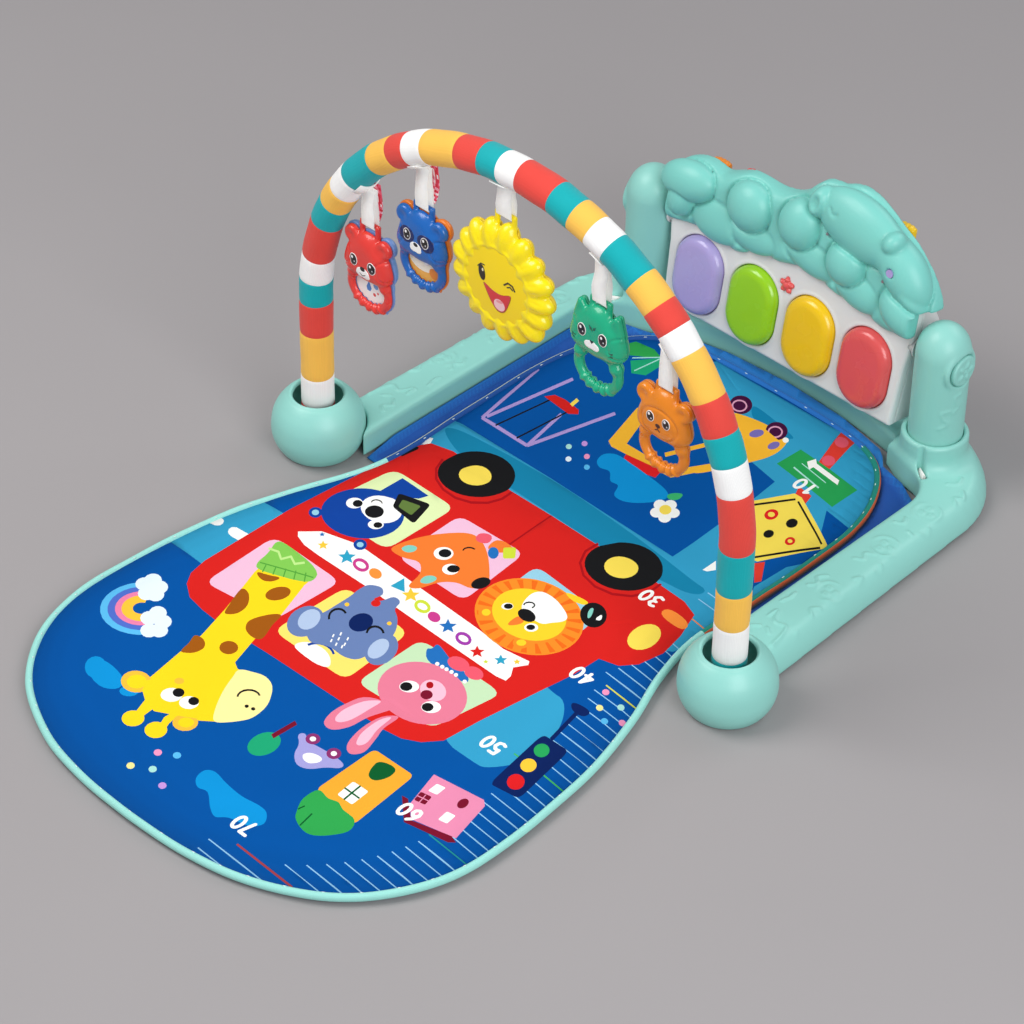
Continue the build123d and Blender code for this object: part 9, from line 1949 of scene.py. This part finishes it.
def build_sun():
    t = TOYS["sun"]
    x0, zf = t["x"], t["face"]
    g = Grid((x0 - 53, -12.5, zf - 53), (x0 + 53, 9, t["eye_z"] + 4), grain(0.95))
    X, Y, Z = g.x - x0, g.y, g.z - zf
    rho = np.hypot(X, Z)
    ang = np.arctan2(Z, X)
    petals = None
    n = 17
    # fold the plane into one petal sector, then its neighbour, for creases
    for off in (0.0, 1.0, -1.0):
        k = np.round(ang / (2 * math.pi / n)) + off
        a = ang - k * (2 * math.pi / n)
        u, w = rho * np.cos(a), rho * np.sin(a)
        wob = 0.9 * np.sin(k * 2.4) + 3.8 * np.exp(-((np.degrees(k * 2 * math.pi / n) - 93.0) / 16.0) ** 2)
        q = (np.sqrt(((u - 34.0 - wob) / 15.6) ** 2 + (w / 9.2) ** 2 + ((Y + 1.0) / 9.2) ** 2) - 1) * 8.4
        petals = q if petals is None else smin(petals, q, 2.0)
    # a soft groove down each petal
    k = np.round(ang / (2 * math.pi / n))
    a = ang - k * (2 * math.pi / n)
    groove = np.exp(-((rho * np.abs(np.sin(a)) - 3.0) / 1.0) ** 2) * np.clip((rho - 32) / 4, 0, 1) * np.clip((44 - rho) / 5, 0, 1)
    petals = petals + 0.55 * groove * (Y < 0)
    core = smax(rho - 34.0, np.abs(Y + 1.0) - 6.4, 4.0)
    rimr = np.sqrt((rho - 32.0) ** 2 + (Y + 8.2) ** 2) - 1.5
    body = smin(smin(petals, core, 1.5), rimr, 1.0)
    full = np.broadcast_to(body, g.shape)
    lug = None
    ez = t["eye_z"] - zf
    for dx in (-8.2, 8.2):
        zc = np.clip(Z, 40.0, ez - 0.5)
        q = np.sqrt((X - dx) ** 2 + (Y * 0.9) ** 2 + (Z - zc) ** 2) - 2.0
        lug = q if lug is None else np.minimum(lug, q)
    bar = np.maximum(np.hypot(Y, Z - ez) - 1.7, np.abs(X) - 8.2)
    front = smax(full, Y + 0.05, 0.3)
    front = np.minimum(smin(front, lug, 1.2), bar)
    v, f = g.mesh(front)
    new_object("sun_front", v, f, "toy_sun", TOYMAT["sun"], ["sun_front_shell"], "toy_yellow")
    rear = smax(full, 0.15 - Y, 0.3)
    rear = np.maximum(rear, -(lug - 0.3))
    v, f = g.mesh(rear)
    new_object("sun_rear", v, f, "toy_sun", REARMAT["sun"], ["sun_rear_shell"], "toy_yellow")
    g2 = Grid((x0 - 33, -12.5, zf - 33), (x0 + 33, -5, zf + 33), grain(0.9))
    r2 = np.hypot(g2.x - x0, g2.z - zf)
    dome = -9.0 - 1.6 * np.clip(1 - (r2 / 31.0) ** 2, 0, 1)
    face = smax(r2 - 31.2, dome - g2.y, 1.2)
    face = np.maximum(face, g2.y + 6.0)
    v, f = g2.mesh(face)
    new_object("sun_face_disc", v, f, "toy_sun", SUNFACE, (), "toy_yellow")
    toy = Toy(g2, face)
    st = []
    stroke(st, 0, [(9.0, 6.0), (12.5, 9.2), (16.8, 8.4), (19.0, 5.0)], 1.3)
    stroke(st, 0, [(12.0, 5.2), (14.6, 6.6), (17.0, 5.0)], 1.0)
    sh = [((40, 26, 8), disc(-13.2, 6.0, 3.3, 6.4, 24, 12)), ((250, 240, 200), disc(-12.4, 8.6, 0.9, 1.4, 10))]
    sh += [((50, 34, 10), p) for _, p in st]
    st = []
    stroke(st, 0, [(-17.5, 9.5), (-14.5, 13.0), (-11.0, 13.2)], 0.9)
    sh += [((50, 34, 10), p) for _, p in st]
    mouth = catmull([(-10.2, -2.0), (-2.0, -4.2), (6.0, -4.6), (14.6, -1.6), (13.0, -9.5), (9.0, -17.5), (3.0, -19.5),
                     (-2.5, -15.0), (-7.0, -8.5)], 4)
    sh += [((170, 84, 34), [(x * 1.07 - 0.2, (z + 10) * 1.08 - 10) for (x, z) in mouth])]
    sh += [((216, 52, 56), mouth), ((248, 202, 204), disc(4.6, -14.0, 5.4, 5.0, 20, 8)),
           ((236, 150, 156), disc(4.8, -11.0, 3.4, 1.2, 14, 8))]
    decal("sun_face_print", toy, x0, zf, sh, "toy_sun", "toy_yellow")


SUNFACE = plastic("sun_face_plastic", (255, 222, 0), rough=0.34, coat=0.1, grain=0.5)
build_sun()

# ------------------------------------------------------------------ hanging ribbons
PATTERN = [(236, 96, 120), (214, 40, 60), (246, 170, 186), (250, 232, 234), (222, 60, 90)]
for nm, t in TOYS.items():
    x0, ez = t["x"], t["eye_z"]
    ang = math.acos(x0 / 198.9)
    cx, cz = SR * math.cos(ang), 144 + SR * math.sin(ang)
    top = 144 + 198.9 * math.sin(ang)
    slope = -math.cos(ang) / math.sin(ang)
    body = "ribbon_" + nm
    wd = 12.6 if nm != "sun" else 14.5
    # sewn tab against the underside of the sleeve
    tab = []
    e1, e2 = np.array([0, 1.0, 0]), np.array([math.cos(ang), 0, math.sin(ang)])
    for deg in (-46, -30, -15, 0, 15, 30, 46):
        a = math.radians(deg)
        tab.append(np.array([cx, 0, cz]) - 14.2 * (math.cos(a) * e2 + math.sin(a) * e1))
    tdir = np.array([math.sin(ang), 0, -math.cos(ang)])
    strip("ribbon_%s_tab" % nm, tab, wd, body, (240, 239, 236), "ribbon_white", ["ribbon_" + nm], wdir=tdir, thick=0.9)
    lean = 1.5 * math.sin(x0)
    front = [(x0, -1.3, top + 0.5), (x0 + 0.5 * lean, -2.4, ez + 0.62 * (top - ez)), (x0 - 0.4 * lean, -3.0, ez + 0.3 * (top - ez)),
             (x0, -2.7, ez + 1.5), (x0, -2.2, ez - 1.4), (x0, 0.0, ez - 2.9), (x0, 2.2, ez - 1.4), (x0, 2.7, ez + 1.5),
             (x0 + 0.4 * lean, 2.6, ez + 0.35 * (top - ez)), (x0, 1.6, ez + 0.7 * (top - ez)), (x0, 1.3, top + 0.5)]
    strip("ribbon_%s_strap" % nm, front, wd, body, (242, 241, 238), "ribbon_white", wdir=(1, 0, 0), thick=0.8,
          turn=[0, 5, -4, 0, 0, 0, 0, 0, 4, -3, 0])
    if nm in ("red", "blue", "sun"):
        sx = {"red": 3.0, "blue": 5.5, "sun": -7.0}[nm]
        tp = top + slope * sx
        pat = [(x0 + sx, 3.4, tp + 1.0), (x0 + sx + 1.0, 5.2, ez + 0.6 * (tp - ez)), (x0 + sx * 0.7, 5.6, ez + 0.25 * (tp - ez)),
               (x0 + sx * 0.5, 4.0, ez + 2.5)]
        strip("ribbon_%s_patterned" % nm, pat, 8.0, body, (236, 96, 120), "ribbon_white", wdir=(1, 0, 0), thick=0.8,
              pattern=PATTERN, turn=[0, 12, -8, 0])

# ================================================================== CAD pieces that stay as they are
KEEP = {
    "pivot_pins": STEEL, "frame_screws": STEEL, "anti_slip_feet": RUBBER, "piano_rear_case": WHITE,
    "lamp_lens": KEYMAT["purple"], "pivot_bushings": WHITE, "key_membrane": SILICONE, "circuit_board": BOARD,
    "speaker": BLACK, "battery_cells": WRAP, "battery_contacts": STEEL, "piano_screws": STEEL, "power_switch": GREY,
    "battery_door": WHITE, "arch_tube_left": WHITE, "arch_tube_right": WHITE, "arch_coupler": WHITE,
    "red_rattle_beads": BEAD, "blue_rattle_beads": BEAD,
}
for n, o in NODES.items():
    if o.hide_render:
        continue
    o.data.materials.clear()
    o.data.materials.append(KEEP.get(n, WHITE))

# ================================================================== floor, light, camera
bpy.ops.mesh.primitive_plane_add(size=12, location=(0, 0, -0.0004))
floor = bpy.context.object
floor.name = "studio_floor"
fm, fnt, fb = base_material("studio_floor_paint")
ftc = node(fnt, "ShaderNodeTexCoord")
fn = node(fnt, "ShaderNodeTexNoise")
fn.inputs["Scale"].default_value = 2.2
fn.inputs["Detail"].default_value = 5.0
fnt.links.new(ftc.outputs["Object"], fn.inputs["Vector"])
fsrc = node(fnt, "ShaderNodeRGB")
fsrc.outputs[0].default_value = lin((158, 154, 155))
fnt.links.new(shade(fnt, fsrc.outputs[0], fn.outputs["Fac"], 0.96, 1.04), fb.inputs["Base Color"])
fb.inputs["Roughness"].default_value = 0.75
fb.inputs["Specular IOR Level"].default_value = 0.2
floor.data.materials.append(fm)
floor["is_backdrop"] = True

world = bpy.data.worlds.new("studio_world")
scene.world = world
world.use_nodes = True
wnt = world.node_tree
wbg = wnt.nodes["Background"]
wbg.inputs[0].default_value = (0.86, 0.88, 0.92, 1)
wbg.inputs[1].default_value = 0.42
wseen = wnt.nodes.new("ShaderNodeBackground")
wseen.inputs[0].default_value = (0.40, 0.385, 0.39, 1)
wmix = wnt.nodes.new("ShaderNodeMixShader")
wnt.links.new(wnt.nodes.new("ShaderNodeLightPath").outputs["Is Camera Ray"], wmix.inputs[0])
wnt.links.new(wbg.outputs[0], wmix.inputs[1])
wnt.links.new(wseen.outputs[0], wmix.inputs[2])
wnt.links.new(wmix.outputs[0], wnt.nodes["World Output"].inputs["Surface"])


def area(name, loc, target, size, power, col=(1, 1, 1)):
    l = bpy.data.lights.new(name, "AREA")
    l.shape = "RECTANGLE"
    l.size, l.size_y = size
    l.energy = power
    l.color = col
    o = bpy.data.objects.new(name, l)
    bpy.context.collection.objects.link(o)
    o.location = loc
    o.rotation_euler = (Vector(target) - Vector(loc)).to_track_quat("-Z", "Y").to_euler()
    return o


area("key_softbox", (-0.9, -0.9, 1.9), (0.0, 0.0, 0.05), (1.3, 1.3), 32.0, (1.0, 0.98, 0.96))
area("fill_softbox", (1.9, -0.7, 1.3), (0.0, 0.0, 0.1), (1.4, 1.4), 33.0, (0.97, 0.99, 1.0))
area("back_softbox", (0.4, 1.9, 1.7), (0.0, 0.1, 0.1), (1.6, 1.0), 10.0, (1.0, 1.0, 1.0))

AZ, EL, ROLL = math.radians(43.325), math.radians(39.194), math.radians(1.183)
back = Vector((math.sin(AZ) * math.cos(EL), -math.cos(AZ) * math.cos(EL), math.sin(EL)))
x1 = Vector((0, 0, 1)).cross(back).normalized()
y1 = back.cross(x1)
x2 = math.cos(ROLL) * x1 + math.sin(ROLL) * y1
y2 = -math.sin(ROLL) * x1 + math.cos(ROLL) * y1
cam_data = bpy.data.cameras.new("photo_camera")
cam_data.sensor_width = 36.0
cam_data.lens = 136.3
cam_data.clip_start, cam_data.clip_end = 0.05, 50
cam = bpy.data.objects.new("photo_camera", cam_data)
bpy.context.collection.objects.link(cam)
cam.matrix_world = Matrix(((x2.x, y2.x, back.x, 1.5315), (x2.y, y2.y, back.y, -1.6281),
                           (x2.z, y2.z, back.z, 1.8776), (0, 0, 0, 1)))
scene.camera = cam


def plain(b):
    return [[float(q) for q in p] if hasattr(p, "__len__") else float(p) for p in b]


bpy.context.view_layer.update()
{"cad": plain(CAD_BOUNDS), "visual": plain(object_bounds())}
